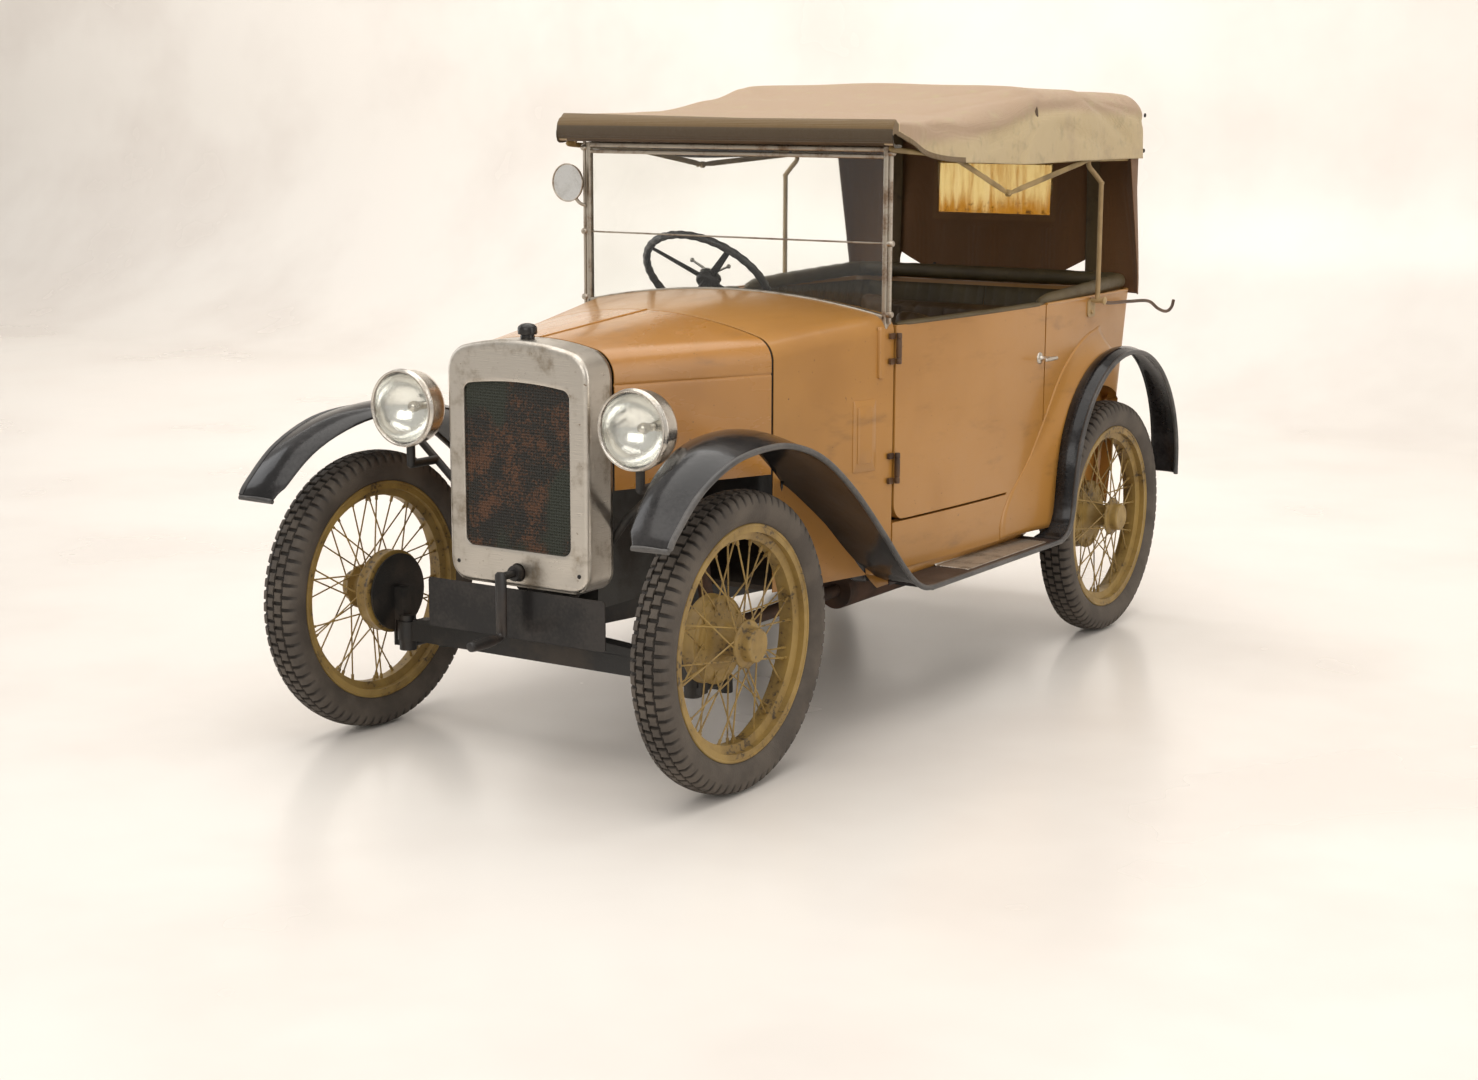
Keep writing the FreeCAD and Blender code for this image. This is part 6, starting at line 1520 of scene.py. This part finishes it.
def curtain_sheet():
    """Columns round from the left front edge to the right one, and level rows down to the hem; the hem
    is lowest in the middle flap and at the corners, and the corners widen towards the canopy's. A value
    of 1 marks the window's border."""
    flat_end = CURTAIN_HALF - CURTAIN_R
    x = np.concatenate([np.linspace(0.0, WINDOW_HALF - 0.014, 15), [WINDOW_HALF - 0.007, WINDOW_HALF,
                        WINDOW_HALF + 0.007, WINDOW_HALF + 0.014], np.linspace(0.212, 0.310, 10),
                        [0.316, 0.328, 0.336], np.linspace(0.350, flat_end, 9)])
    turn = np.linspace(0.0, math.pi / 2, 6)[1:]
    wrap = np.linspace(0.0, 1.0, 9)[1:]
    z = np.concatenate([np.linspace(1.470, WINDOW_HIGH + 0.014, 13), [WINDOW_HIGH + 0.007, WINDOW_HIGH,
                        WINDOW_HIGH - 0.007], np.linspace(WINDOW_HIGH - 0.018, WINDOW_LOW + 0.018, 9),
                        [WINDOW_LOW + 0.007, WINDOW_LOW, WINDOW_LOW - 0.007, WINDOW_LOW - 0.014],
                        np.linspace(WINDOW_LOW - 0.026, 1.062, 6)])
    columns_x = np.concatenate([x, flat_end + CURTAIN_R * np.sin(turn),
                                np.full(len(wrap), CURTAIN_HALF)])
    hem_z = np.interp(columns_x, [0.0, 0.17, 0.20, 0.243, 0.285, 0.312, 0.330, 0.486],
                      [0.966, 0.966, 0.972, 0.998, 1.020, 1.034, 0.944, 0.940])
    rows = np.concatenate([z[:, None] + 0.0 * hem_z,
                           1.062 + (hem_z - 1.062) * np.linspace(0, 1, 11)[1:, None]])
    back_y = CURTAIN_Y + 0.0 * rows[:, :len(x)]
    corner = np.interp(rows[:, :1], [1.00, 1.24], [CURTAIN_R, 0.072])
    turn_y = CURTAIN_Y - corner + corner * np.cos(turn)
    front_y = np.interp(rows[:, -1:], [0.94, 1.00, 1.32, 1.47], [2.168, 2.165, 2.090, 2.060])
    wrap_y = CURTAIN_Y - corner + (front_y - CURTAIN_Y + corner) * wrap
    y = np.concatenate([back_y, turn_y, wrap_y], 1)
    stretch = (CURTAIN_HALF - corner - 0.350) / (flat_end - 0.350)
    flat_x = np.where(x > 0.350, 0.350 + (x - 0.350) * stretch, x + 0.0 * corner)
    half_x = np.concatenate([flat_x, CURTAIN_HALF - corner + corner * np.sin(turn),
                             CURTAIN_HALF + 0.0 * rows[:, :len(wrap)]], 1)
    whole_x = np.concatenate([half_x[:, ::-1], -half_x[:, 1:]], 1)
    whole_y = np.concatenate([y[:, ::-1], y[:, 1:]], 1)
    whole_z = np.concatenate([rows[:, ::-1], rows[:, 1:]], 1)
    tucked = np.clip((whole_z - 1.340) / 0.06, 0.0, 1.0)
    whole_x, whole_y = whole_x * (1.0 - 0.030 * tucked), whole_y - 0.016 * tucked
    free = np.clip((1.32 - whole_z) / 0.15, 0.0, 1.0)
    inside = np.clip((0.400 - np.abs(whole_x)) / 0.030, 0.0, 1.0)
    calm = 1.0 - np.exp(-(np.maximum(np.abs(whole_x) - WINDOW_HALF, 0) / 0.05) ** 2) * (whole_z > 1.12)
    fold = 0.0035 * np.sin(23.0 * whole_x + 2.2 * whole_z)
    fold = fold + 0.0020 * np.sin(51.0 * whole_x - 4.0 * whole_z + 1.0)
    whole_y = whole_y - 0.006 * inside * free - free * inside * calm * (fold + 0.0035)
    border = ((np.abs(whole_x) < WINDOW_HALF + 0.0145) & (whole_z > WINDOW_LOW - 0.0145)
              & (whole_z < WINDOW_HIGH + 0.0145))
    whole_y = whole_y - 0.0010 * border
    points, faces = grid(np.stack([whole_x, whole_y, whole_z], -1))
    middle = points[faces].mean(1)
    hole = ((np.abs(middle[:, 0]) < WINDOW_HALF) & (middle[:, 2] > WINDOW_LOW) & (middle[:,
                                                                                         2] < WINDOW_HIGH))
    return (points, faces[~hole]), border.ravel().astype(float)


def celluloid_finish():
    """Old celluloid: clear amber, browner in streaks and towards its lower edge."""
    material, start, place = new_finish("yellow_celluloid")
    streak = noise(place, 7.0, 4.0, 0.6, (6.0, 1.0, 0.8))
    height = place.make("ShaderNodeSeparateXYZ", Vector=place, out="Z")
    low = height.step(1.235, 1.150)
    colour = (streak * 1.1 + low * 0.35).step(0.42, 0.90).pick((1.00, 0.80, 0.36), (0.60, 0.28, 0.030))
    colour = (noise(place, 40.0, 4.0, 0.7) + low * 0.16).step(0.66, 0.80).pick(colour,
                                                                               (0.16, 0.065, 0.010))
    return surface(start, material, streak, 0.004, Base_Color=colour, Roughness=streak * 0.25 + 0.10,
                   IOR=1.3,
                   Transmission_Weight=0.75)


def window_pane():
    """A thin pane, buckled in upright waves."""
    x = np.linspace(-WINDOW_HALF - 0.006, WINDOW_HALF + 0.006, 90)[:, None]
    z = np.linspace(WINDOW_LOW - 0.006, WINDOW_HIGH + 0.006, 30)
    calm = np.clip((WINDOW_HALF - np.abs(x)) / 0.02, 0, 1) * np.clip((z - WINDOW_LOW) / 0.02, 0, 1)
    calm = calm * np.clip((WINDOW_HIGH - z) / 0.02, 0, 1)
    buckle = 0.0022 * np.sin(64.0 * x + 6.0 * z) + 0.0016 * np.sin(118.0 * x - 9.0 * z + 1.3)
    return grid(np.stack([x + 0 * z, CURTAIN_Y - 0.0058 - calm * buckle, z + 0 * x], -1))


def strap_parts():
    """Webbing down the inside of the curtain, slightly slack."""
    z = np.linspace(1.465, 0.972, 34)
    parts = []
    for side in (1, -1):
        x = side * (0.331 + 0.0022 * np.sin(9.0 * z))
        y = CURTAIN_Y - 0.0170 - 0.0022 * np.sin(14.0 * z + side)
        parts.append(grid(np.stack([np.stack([x + off, y - dip, z], -1) for off, dip in
                                    ((-0.0190, 0.0), (-0.0175, 0.0008), (0.0, 0.0012), (0.0175, 0.0008),
                                     (0.0190, 0.0))])))
    return parts


curtain_brown = canvas_finish("curtain_brown", (0.190, 0.080, 0.018), (0.225, 0.102, 0.026),
                              (0.05, 0.03, 0.01))
webbing_olive = canvas_finish("webbing_olive", (0.100, 0.062, 0.018), (0.075, 0.045, 0.012),
                              (0.1, 0.06, 0.02), 90.0)
celluloid = celluloid_finish()
curtain_part, curtain_border = curtain_sheet()
curtain = lay_down("back_curtain", [curtain_part], curtain_brown, "car", field=curtain_border,
                   sharp=60,
                   thick=0.0014)
flap_studs = [part for x in (-0.197, 0.0, 0.197)
              for part in set_down([lathe(STUD, 16)], -1, (x, CURTAIN_Y - 0.0085, 0.999), "y")]
curtain_extras = [lay_down("curtain_studs", flap_studs, chassis_black, "car"),
                  lay_down("hood_straps", strap_parts(), webbing_olive, "car", thick=0.0018),
                  lay_down("hood_celluloid", [window_pane()], celluloid, "car",
                           ["hood_window"],
                           thick=0.0008)]


# Hood bows and irons
# Three ash bows and a front rail stand on a pair of side rails; khaki folding links brace
# them, a tan stay carries each side on a bracket bolted to the body, and a thin hook behind
# it holds the hood when it is folded down.
IRON_X, RAIL_X, LINK_Z = 0.512, 0.473, 1.330


def bow_part(y):
    """A bow from one side rail over the top to the other, just under the canvas."""
    across = np.linspace(0.410, -0.410, 25)
    top = hood_top(across, y) - 0.0125
    corner = math.pi / 2 * np.linspace(0.0, 1.0, 8)[1:-1]
    shoulder = top[0] - 0.060
    right = [(0.410 + (RAIL_X - 0.410) * math.sin(a), y,
              shoulder + 0.060 * math.cos(a)) for a in corner]
    leg = [(RAIL_X, y, z) for z in np.linspace(shoulder, LINK_Z, 8)]
    half = np.array(right + leg)
    path = np.concatenate([half[::-1], np.stack([across, y + 0 * across, top], -1), half * [-1, 1, 1]])
    return tube(path, 0.010, 12, (0.0, 1.0, 0.0), squash=0.8)


def bolt_at(x, y, z, radius=0.0075, side=1):
    """A hexagon head on a washer, facing sideways."""
    washer = np.array([(-0.003, 0.0), (-0.003, radius * 1.5), (0.0, radius * 1.5), (0.0005, radius)])
    head = np.array([(0.0, radius * 1.1), (0.0045, radius * 1.1), (0.0055, radius * 0.9),
                     (0.0055, 0.0)])
    return set_down([lathe(washer, 20), lathe(head, 6)], side, (x, y, z))


def flat_bar(first, last, wide=0.0075, count=10):
    """A flat bar with round ends, standing on edge."""
    path = np.linspace(first, last, count)
    width = np.full(count, wide)
    width[[0, -1]] = 0.6 * wide
    return tube(path, width, 12, (1.0, 0.0, 0.0), squash=0.34)


def link_parts(side, knee_z):
    """The folding link: two flat bars pinned at the knee, with a wing nut."""
    x = side * RAIL_X
    knee = (x, 1.334, knee_z)
    nut = set_down([lathe(np.array([(-0.004, 0), (-0.004, 0.009), (0.005, 0.009), (0.010, 0.006),
                                    (0.012, 0.0)]), 20)],
                   side, knee)
    wing = [tube([(x + side * 0.008, 1.334 + d, knee_z + 0.3 * d) for d in np.linspace(-0.016, 0.016,
                                                                                       5)], 0.0032, 8,
                 (1.0, 0.0, 0.0))]
    return [flat_bar((x, 1.005, 1.349), knee), flat_bar((x + side * 0.005, 1.334, knee_z),
                                                        (x + side * 0.005, 1.826, 1.330)),
            flat_bar((x - side * 0.002, 1.70, 1.334), (x - side * 0.002, 1.84, 1.334),
                     0.011)] + nut + wing


def side_rail(side):
    """The long rail from the rear bow to the front rail, dipped at the main bow."""
    x = side * RAIL_X
    line = np.array([(x, 2.095, LINK_Z), (x, 1.785, LINK_Z), (x, 1.480, LINK_Z), (x, 0.780, 1.357),
                     (side * 0.466, 0.745, 1.368), (side * 0.452, 0.722, 1.379)])
    return tube(curve_through(line, 60), 0.0065, 10, (1.0, 0.0, 0.0), squash=0.6)


def stay_part(side):
    """The upright stay outside the side rail, cranked out under the valance."""
    x, rail = side * IRON_X, side * RAIL_X
    line = np.array([(rail, 1.830, 1.334), (rail, 1.830, 1.312), (side * 0.492, 1.830, 1.290),
                     (x, 1.830, 1.265),
                     (x, 1.830, 1.240), (x, 1.830, 0.940)])
    return tube(curve_through(line, 50), 0.0072, 12, (0.0, 1.0, 0.0), squash=0.8)


def bracket_parts(side):
    """The plate on the body, the pin through it and the collar round the stay's foot."""
    x = float(body_half(1.830))
    loops = [(rounded_loop((1.806, 0.898), (1.854, 0.946), 0.010), h) for h in (-0.002, 0.003, 0.0045)]
    plate = plate_on(loops, lambda y, z, h: (side * (x + h) + 0 * y, y, z))
    pin = set_down([lathe(soften(np.array([(-0.020, 0), (-0.020, 0.0065), (0.018, 0.0065),
                                           (0.018, 0.011), (0.024, 0.011),
                                           (0.026, 0.0)])), 20)], side, (side * IRON_X, 1.830, 0.944))
    return [plate] + pin + bolt_at(side * (x + 0.0045), 1.830, 0.912, 0.006, side)


def rest_part(side):
    """The thin hook behind the stay."""
    x = side * IRON_X
    line = [(x, 1.830, 0.950), (x, 1.870, 0.938), (x, 1.920, 0.932), (x, 2.050, 0.928),
            (x, 2.187, 0.921),
            (x, 2.260, 0.896), (x, 2.308, 0.884), (x, 2.345, 0.883), (x, 2.372, 0.894),
            (x, 2.383, 0.912)]
    return tube(curve_through(line, 70), 0.0048, 10, (1.0, 0.0, 0.0))


def hood_rail():
    """The front rail inside the fold of the canvas."""
    loop = rounded_loop((0.7025, 1.3680), (0.7370, 1.3965), 0.008, 5)
    x = np.concatenate([[-0.462, -0.462], np.linspace(-0.462, 0.462, 30), [0.462, 0.462]])
    shrink = np.concatenate([[0.0, 1.0], np.ones(30), [1.0, 0.0]])[:, None]
    centre = loop.mean(0)
    section = centre + (loop[None] - centre) * shrink[..., None]
    return grid(np.concatenate([np.broadcast_to(x[:, None, None], (len(x), len(loop), 1)), section], 2),
                False, True)


khaki_iron = iron_finish("khaki_iron", (0.330, 0.225, 0.085), (0.180, 0.120, 0.045), 0.36)
tan_iron = iron_finish("tan_iron", (0.400, 0.275, 0.130), (0.270, 0.175, 0.075), 0.32)
ash_wood = iron_finish("ash_brown", (0.085, 0.052, 0.026), (0.050, 0.030, 0.015), 0.45)
lay_down("hood_bows", [bow_part(y) for y in BOW_Y[1:]] + [hood_rail()], ash_wood, "car",
         ["hood_frame"])
lay_down("hood_links", [side_rail(1), side_rail(-1)] + link_parts(1, 1.248) + link_parts(-1, 1.303),
         khaki_iron, "car")
lay_down("hood_stays", [stay_part(1), stay_part(-1)] + bracket_parts(1) + bracket_parts(-1), tan_iron,
         "car")
lay_down("hood_rests", [rest_part(1), rest_part(-1)], hinge_brown, "car")


# Seats
# Two bucket seats and a rear bench in dark brown leathercloth over springs and horsehair:
# crowned and fluted cushions, fluted backs and a piped seam round each. They stand on plain
# black boxes.
def swollen(low, high, lean=0.0, voxel=0.006, cap=0.024):
    """A stuffed form: a box whose top leans back by lean is rounded, remeshed evenly and blown up as cloth
    with gravity off; no point moves further than cap. Returns its points and faces."""
    corners = [(x, y + lean * (z > low[2]), z) for z in (low[2], high[2]) for y in (low[1], high[1])
               for x in (low[0], high[0])]
    mesh = bpy.data.meshes.new("stuffing")
    mesh.from_pydata(corners, [], [(0, 2, 3, 1), (4, 5, 7, 6), (0, 1, 5, 4), (2, 6, 7, 3), (0, 4, 6, 2),
                                   (1, 3, 7, 5)])
    form = bpy.data.objects.new("stuffing", mesh)
    bpy.context.scene.collection.objects.link(form)
    soft = form.modifiers.new("soft", "BEVEL")
    soft.width, soft.segments = 0.022, 4
    even = form.modifiers.new("even", "REMESH")
    even.mode, even.voxel_size = "VOXEL", voxel
    graph = bpy.context.evaluated_depsgraph_get()
    graph.update()
    start_mesh = bpy.data.meshes.new_from_object(form.evaluated_get(graph))
    form.modifiers.clear()
    form.data = start_mesh
    start = np.empty(len(start_mesh.vertices) * 3)
    start_mesh.vertices.foreach_get("co", start)
    start = start.reshape(-1, 3)
    end = start
    cloth = form.modifiers.new("cloth", "CLOTH")
    cloth.settings.use_pressure, cloth.settings.uniform_pressure_force = True, 4.0
    cloth.settings.effector_weights.gravity = 0.0
    cloth.settings.quality = 4
    cloth.collision_settings.use_collision = False
    cloth.point_cache.frame_start, cloth.point_cache.frame_end = 1, 20
    for number in range(1, 21):
        bpy.context.scene.frame_set(number)
    done = bpy.data.meshes.new_from_object(form.evaluated_get(bpy.context.evaluated_depsgraph_get()))
    end = np.empty(len(done.vertices) * 3)
    done.vertices.foreach_get("co", end)
    end = end.reshape(-1, 3)
    bpy.context.scene.frame_set(1)
    move = end - start
    far = np.linalg.norm(move, axis=1, keepdims=True)
    points = start + move * np.minimum(1.0, cap / np.maximum(far, 1e-9))
    faces = np.empty(len(start_mesh.polygons) * 4, int)
    start_mesh.polygons.foreach_get("vertices", faces)
    bpy.data.objects.remove(form)
    return points, faces.reshape(-1, 4)


def fluted(part, low, high, lean, upright, pitch=0.050):
    """Sewn flutes: rounded ridges across the width with a narrow valley at each seam, on the top of a
    cushion or on the front of an upright back, fading before the edges."""
    points, faces = part
    points = points.copy()
    share = (points[:, 2] - low[2]) / (high[2] - low[2])
    middle = (low[0] + high[0]) / 2
    inside = np.clip((((high[0] - low[0]) / 2 - np.abs(points[:, 0] - middle)) - 0.020) / 0.015, 0.0,
                     1.0)
    ridge = np.abs(np.cos(math.pi * (points[:, 0] - middle) / pitch)) ** 0.45 - 1.0
    if upright:
        front = low[1] + lean * share
        on_face = np.clip(1.0 - (points[:, 1] - front) / 0.030, 0.0, 1.0)
        along = np.clip((share - 0.06) / 0.10, 0, 1) * np.clip((0.95 - share) / 0.10, 0, 1)
        points[:, 1] -= 0.0075 * ridge * inside * on_face * along
    else:
        depth = (points[:, 1] - low[1]) / (high[1] - low[1])
        on_face = np.clip((share - 0.62) / 0.25, 0.0, 1.0)
        along = np.clip((depth - 0.10) / 0.10, 0, 1) * np.clip((0.94 - depth) / 0.10, 0, 1)
        points[:, 2] += 0.0075 * ridge * inside * on_face * along
    return points, faces


def piping(low, high, z, lean=0.0, radius=0.0040, corner=0.045):
    """A sewn cord round a cushion at one height."""
    loop = rounded_loop((low[0], low[1] + lean), (high[0], high[1] + lean), corner, 7)
    return tube(np.column_stack([loop, np.full(len(loop), z)]), radius, 8, (0.0, 0.0, 1.0), True)


def leather_finish(name, face, worn):
    """Old leathercloth: darker and lighter in clouds, with dark patches and a fine grain."""
    material, start, place = new_finish(name)
    cloud = noise(place, 9.0, 5.0)
    grain = start.make("ShaderNodeTexVoronoi", {"feature": "DISTANCE_TO_EDGE"}, Vector=place,
                       Scale=420.0)
    colour = cloud.step(0.42, 0.70).pick(face, worn)
    colour = noise(place, 45.0, 4.0, 0.7).step(0.60, 0.76).pick(colour,
                                                                tuple(0.45 * part for part in face))
    height = grain.step(0.0, 0.25) * 0.5 + noise(place, 38.0, 3.0) * 2.0
    return surface(start, material, height, 0.0006, Base_Color=colour, Roughness=cloud * 0.25 + 0.34)


leather_brown = leather_finish("leather_brown", (0.085, 0.048, 0.018), (0.140, 0.085, 0.036))
leather_olive = leather_finish("leather_olive", (0.082, 0.058, 0.022), (0.120, 0.086, 0.036))
CUSHION = ((0.046, 1.092, 0.486), (0.394, 1.478, 0.562))
SQUAB = ((0.046, 1.424, 0.606), (0.394, 1.484, 0.916))
SQUAB_LEAN = 0.064
cushion_form = fluted(swollen(*CUSHION), *CUSHION, 0.0, False)
squab_form = fluted(swollen(*SQUAB, SQUAB_LEAN, cap=0.018), *SQUAB, SQUAB_LEAN, True)
for label, side in (("left", 1), ("right", -1)):
    cushion = lay_down("front_cushion_" + label, facing([cushion_form], side), leather_brown, "car",
                       ["front_seats"] if side == 1 else [], sharp=70)
    squab = lay_down("front_squab_" + label, facing([squab_form], side), leather_brown, "car",
                     sharp=70)
    lay_down("front_piping_" + label, facing([piping((0.034, 1.080), (0.406, 1.490), 0.560)], side),
             leather_olive,
             "car")
BENCH = ((-0.386, 1.760, 0.530), (0.386, 1.985, 0.612))
BENCH_BACK = ((-0.386, 1.985, 0.655), (0.386, 2.035, 0.912))
BENCH_LEAN = 0.060
bench = lay_down("rear_cushion", [fluted(swollen(*BENCH), *BENCH, 0.0, False)], leather_brown, "car",
                 ["rear_seat"], sharp=70)
bench_back = lay_down("rear_squab", [fluted(swollen(*BENCH_BACK, BENCH_LEAN, cap=0.018), *BENCH_BACK,
                                            BENCH_LEAN, True)],
                      leather_brown, "car", sharp=70)
BENCH_BOX = closed_sheet(np.array([[(-0.380, 1.752, 0.486), (0.380, 1.752, 0.486)],
                                   [(-0.380, 1.752, 0.530), (0.380, 1.752, 0.530)]]),
                         np.array([[(-0.380, 1.980, 0.486), (0.380, 1.980, 0.486)],
                                   [(-0.380, 1.980, 0.530), (0.380, 1.980, 0.530)]]))
lay_down("rear_seat_box", BENCH_BOX, dash_wood, "car", edge=0.004)
dress(["seat_bases"], dash_wood)
floor_mat = iron_finish("floor_mat", (0.045, 0.032, 0.022), (0.075, 0.058, 0.042), 0.62)
dress(["floor"], floor_mat)


# Inner trim
# Pleated leathercloth panels line the doors and the sides behind them, a stuffed roll runs
# along the top of the body round the back seat, and a slim capping covers each door's top.
def pleated(along, z, gap):
    """A sheet inside the tub's wall in upright pleats 42 mm wide."""
    along, z = np.meshgrid(along, z)
    inset = WALL + gap + 0.0045 * np.abs(np.sin(math.pi * along / 0.042)) ** 0.5
    return grid(tub_points(along, z, inset))


def tub_roll():
    """The roll's middle line runs from behind the left door, round both back corners, to the right door;
    it rises to the rear, and its girth swells a little between the tacks."""
    end = BACK_START + float(body_half(BEND_TOP)) - CORNER_R
    along = np.concatenate([np.linspace(1.548, 2.100, 46), np.linspace(BEND_TOP, BACK_START, 12)[1:],
                            np.linspace(BACK_START, end, 34)[1:]])
    z = np.interp(along, [1.548, 1.60, 1.75, 2.10, 2.30], [0.9480, 0.9560, 0.9640, 0.9780, 0.9800])
    half = tub_points(along, np.full(len(along), 0.955), 0.0300)
    half[:, 2] = z
    path = np.concatenate([half, half[-2::-1] * [-1.0, 1.0, 1.0]])
    girth = np.interp(along, [1.548, 1.556, 1.60, 2.10], [0.0060, 0.0140, 0.0190, 0.0215])
    girth = np.concatenate([girth, girth[-2::-1]]) * (1.0 + 0.035 * np.sin(np.arange(len(path)) * 1.05))
    return tube(path, girth, 20, (0.0, 0.0, 1.0))


def door_capping():
    y = np.linspace(0.802, 1.526, 40)
    path = tub_points(y, waist_z(y) + 0.0015, 0.0125)
    return tube(path, np.interp(np.arange(40), [0, 2, 37, 39], [0.008, 0.0145, 0.0145, 0.008]), 14,
                (0.0, 0.0, 1.0),
                squash=0.45)


roll = lay_down("tub_roll", [tub_roll()], leather_olive, "car")
door_line = np.linspace(0.838, 1.322, 93)
for label, side in (("left", 1), ("right", -1)):
    back_end = BACK_START + float(body_half(BEND_TOP)) - CORNER_R
    side_line = np.concatenate([np.linspace(1.548, 2.080, 102), np.linspace(2.086, BACK_START, 21),
                                np.linspace(BACK_START + 0.005, back_end, 76)])
    lay_down("side_trim_" + label, facing([pleated(side_line, np.linspace(0.700, 0.944, 12), 0.002)],
                                          side), leather_olive,
             "car", thick=0.0015)
    lay_down("door_trim_" + label, facing([pleated(door_line, np.linspace(0.500, 0.932, 20), 0.001),
                                           pleated(np.linspace(1.322, 1.515, 38),
                                                   np.linspace(0.660, 0.932, 14), 0.001),
                                           door_capping()], side),
             leather_olive, "door_" + label)


# Steering, dashboard and levers
# A celluloid-covered rim with finger grips on four flat steel spokes, the control levers at
# its middle, a black column, blank dials in nickel bezels and two floor levers.
WHEEL_CENTRE = np.array([-0.232, 1.003, 1.010])
COLUMN_AXIS = np.array([0.0, math.sqrt(0.5), math.sqrt(0.5)])
COLUMN_UP = np.array([0.0, -math.sqrt(0.5), math.sqrt(0.5)])


def on_column(parts):
    """Parts drawn about X, turned so that X runs up the steering column, about the wheel's centre."""
    frame_rows = np.array([COLUMN_AXIS, [1.0, 0.0, 0.0], COLUMN_UP])
    return [(WHEEL_CENTRE + points @ frame_rows, faces) for points, faces in parts]


def steering_parts():
    angle = np.linspace(0.0, 2 * math.pi, 216, endpoint=False)
    ring = np.stack([0 * angle, 0.1755 * np.cos(angle), 0.1755 * np.sin(angle)], -1)
    rim = tube(ring, 0.0103 + 0.0007 * np.cos(36 * angle), 16, (1.0, 0.0, 0.0), True)
    boss = lathe(soften(np.array([(-0.014, 0.0), (-0.014, 0.026), (-0.008, 0.032), (0.006, 0.032),
                                  (0.011, 0.027),
                                  (0.013, 0.014), (0.013, 0.0)])), 40)
    spokes = []
    for turn in np.radians([45, 135, 225, 315]):
        way = np.array([0.0, math.cos(turn), math.sin(turn)])
        line = np.linspace(0.022, 0.170, 14)[:, None] * way
        line[:, 0] = np.interp(np.linspace(0, 1, 14), [0.0, 1.0], [0.002, 0.0])
        spokes.append(tube(line, np.linspace(0.0110, 0.0075, 14), 12, (1.0, 0.0, 0.0), squash=0.30))
    return [rim], [boss] + spokes


def lever_parts():
    """Two short levers with ball ends over a round quadrant plate, above the wheel's boss."""
    plate = lathe(soften(np.array([(0.0150, 0.0), (0.0150, 0.030), (0.0180, 0.031), (0.0200, 0.028),
                                   (0.0215, 0.016),
                                   (0.0290, 0.012), (0.0300, 0.0)])), 32)
    parts = [plate]
    ball = np.array([(-0.0065, 0.0), (-0.0046, 0.0046), (0.0, 0.0065), (0.0046, 0.0046), (0.0065, 0.0)])
    for turn in np.radians([20, 140]):
        tip = np.array([0.034, 0.062 * math.cos(turn), 0.062 * math.sin(turn)])
        start = np.array([0.025, 0.0, 0.0])
        parts.append(tube(np.linspace(start, tip, 8), np.linspace(0.0042, 0.0028, 8), 10,
                          (1.0, 0.0, 0.0)))
        parts += set_down([lathe(soften(ball), 16)], at=tip)
    return parts


def dial_parts():
    """Three round dials on the dashboard's rear face: bezels, and the blank faces inside them."""
    bezel = np.array([(-0.004, 0.0), (-0.004, 1.0), (0.006, 1.0), (0.008, 0.94), (0.007, 0.88),
                      (0.003, 0.86), (0.003, 0.0)])
    bezels, faces = [], []
    for x, z, radius in ((-0.060, 0.915, 0.044), (0.040, 0.918, 0.030), (0.115, 0.905, 0.024)):
        bezels += set_down([lathe(bezel * [1.0, radius], 40)], at=(x, 0.763, z), axis="y")
        face = np.array([(0.0036, 0.0), (0.0036, 0.84 * radius), (0.0030, 0.85 * radius)])
        faces += set_down([lathe(face, 40)], at=(x, 0.763, z), axis="y")
    return bezels, faces


def floor_levers():
    """The gear lever with its ball and the plain hand brake."""
    gear = curve_through([(-0.060, 0.880, 0.455), (-0.060, 0.885, 0.520), (-0.062, 0.915, 0.620),
                          (-0.066, 0.955, 0.715)], 24)
    brake = curve_through([(-0.092, 0.960, 0.440), (-0.092, 0.985, 0.520), (-0.092, 1.020, 0.620),
                           (-0.092, 1.035, 0.660)], 20)
    ball = np.array([(-0.014, 0.0), (-0.010, 0.0105), (0.0, 0.0150), (0.010, 0.0105), (0.014, 0.0)])
    knob = set_down([lathe(soften(ball), 24)], at=gear[-1], axis="z")
    return [tube(gear, 0.0052, 12, (1.0, 0.0, 0.0)), tube(brake, 0.0070, 12, (1.0, 0.0, 0.0),
                                                          squash=0.5)] + knob


rim_grey = gloss_finish("rim_grey", (0.045, 0.042, 0.040), (0.095, 0.088, 0.080), 0.14)
wheel_rim, wheel_spokes = steering_parts()
lay_down("steering_rim", on_column(wheel_rim), rim_grey, "steering_wheel",
         ["steering_wheel"])
lay_down("steering_spokes", on_column(wheel_spokes), black_gloss, "steering_wheel")
lay_down("control_levers", on_column(lever_parts()), nickel, "car")
dress(["steering_column"], black_gloss)
dial_bezels, dial_faces = dial_parts()
lay_down("dial_bezels", dial_bezels, nickel, "car")
lay_down("dial_faces", dial_faces, gloss_finish("dial_ivory", (0.42, 0.36, 0.26), (0.30, 0.24, 0.16),
                                                0.20), "car")
lay_down("floor_levers", floor_levers(), black_gloss, "car")
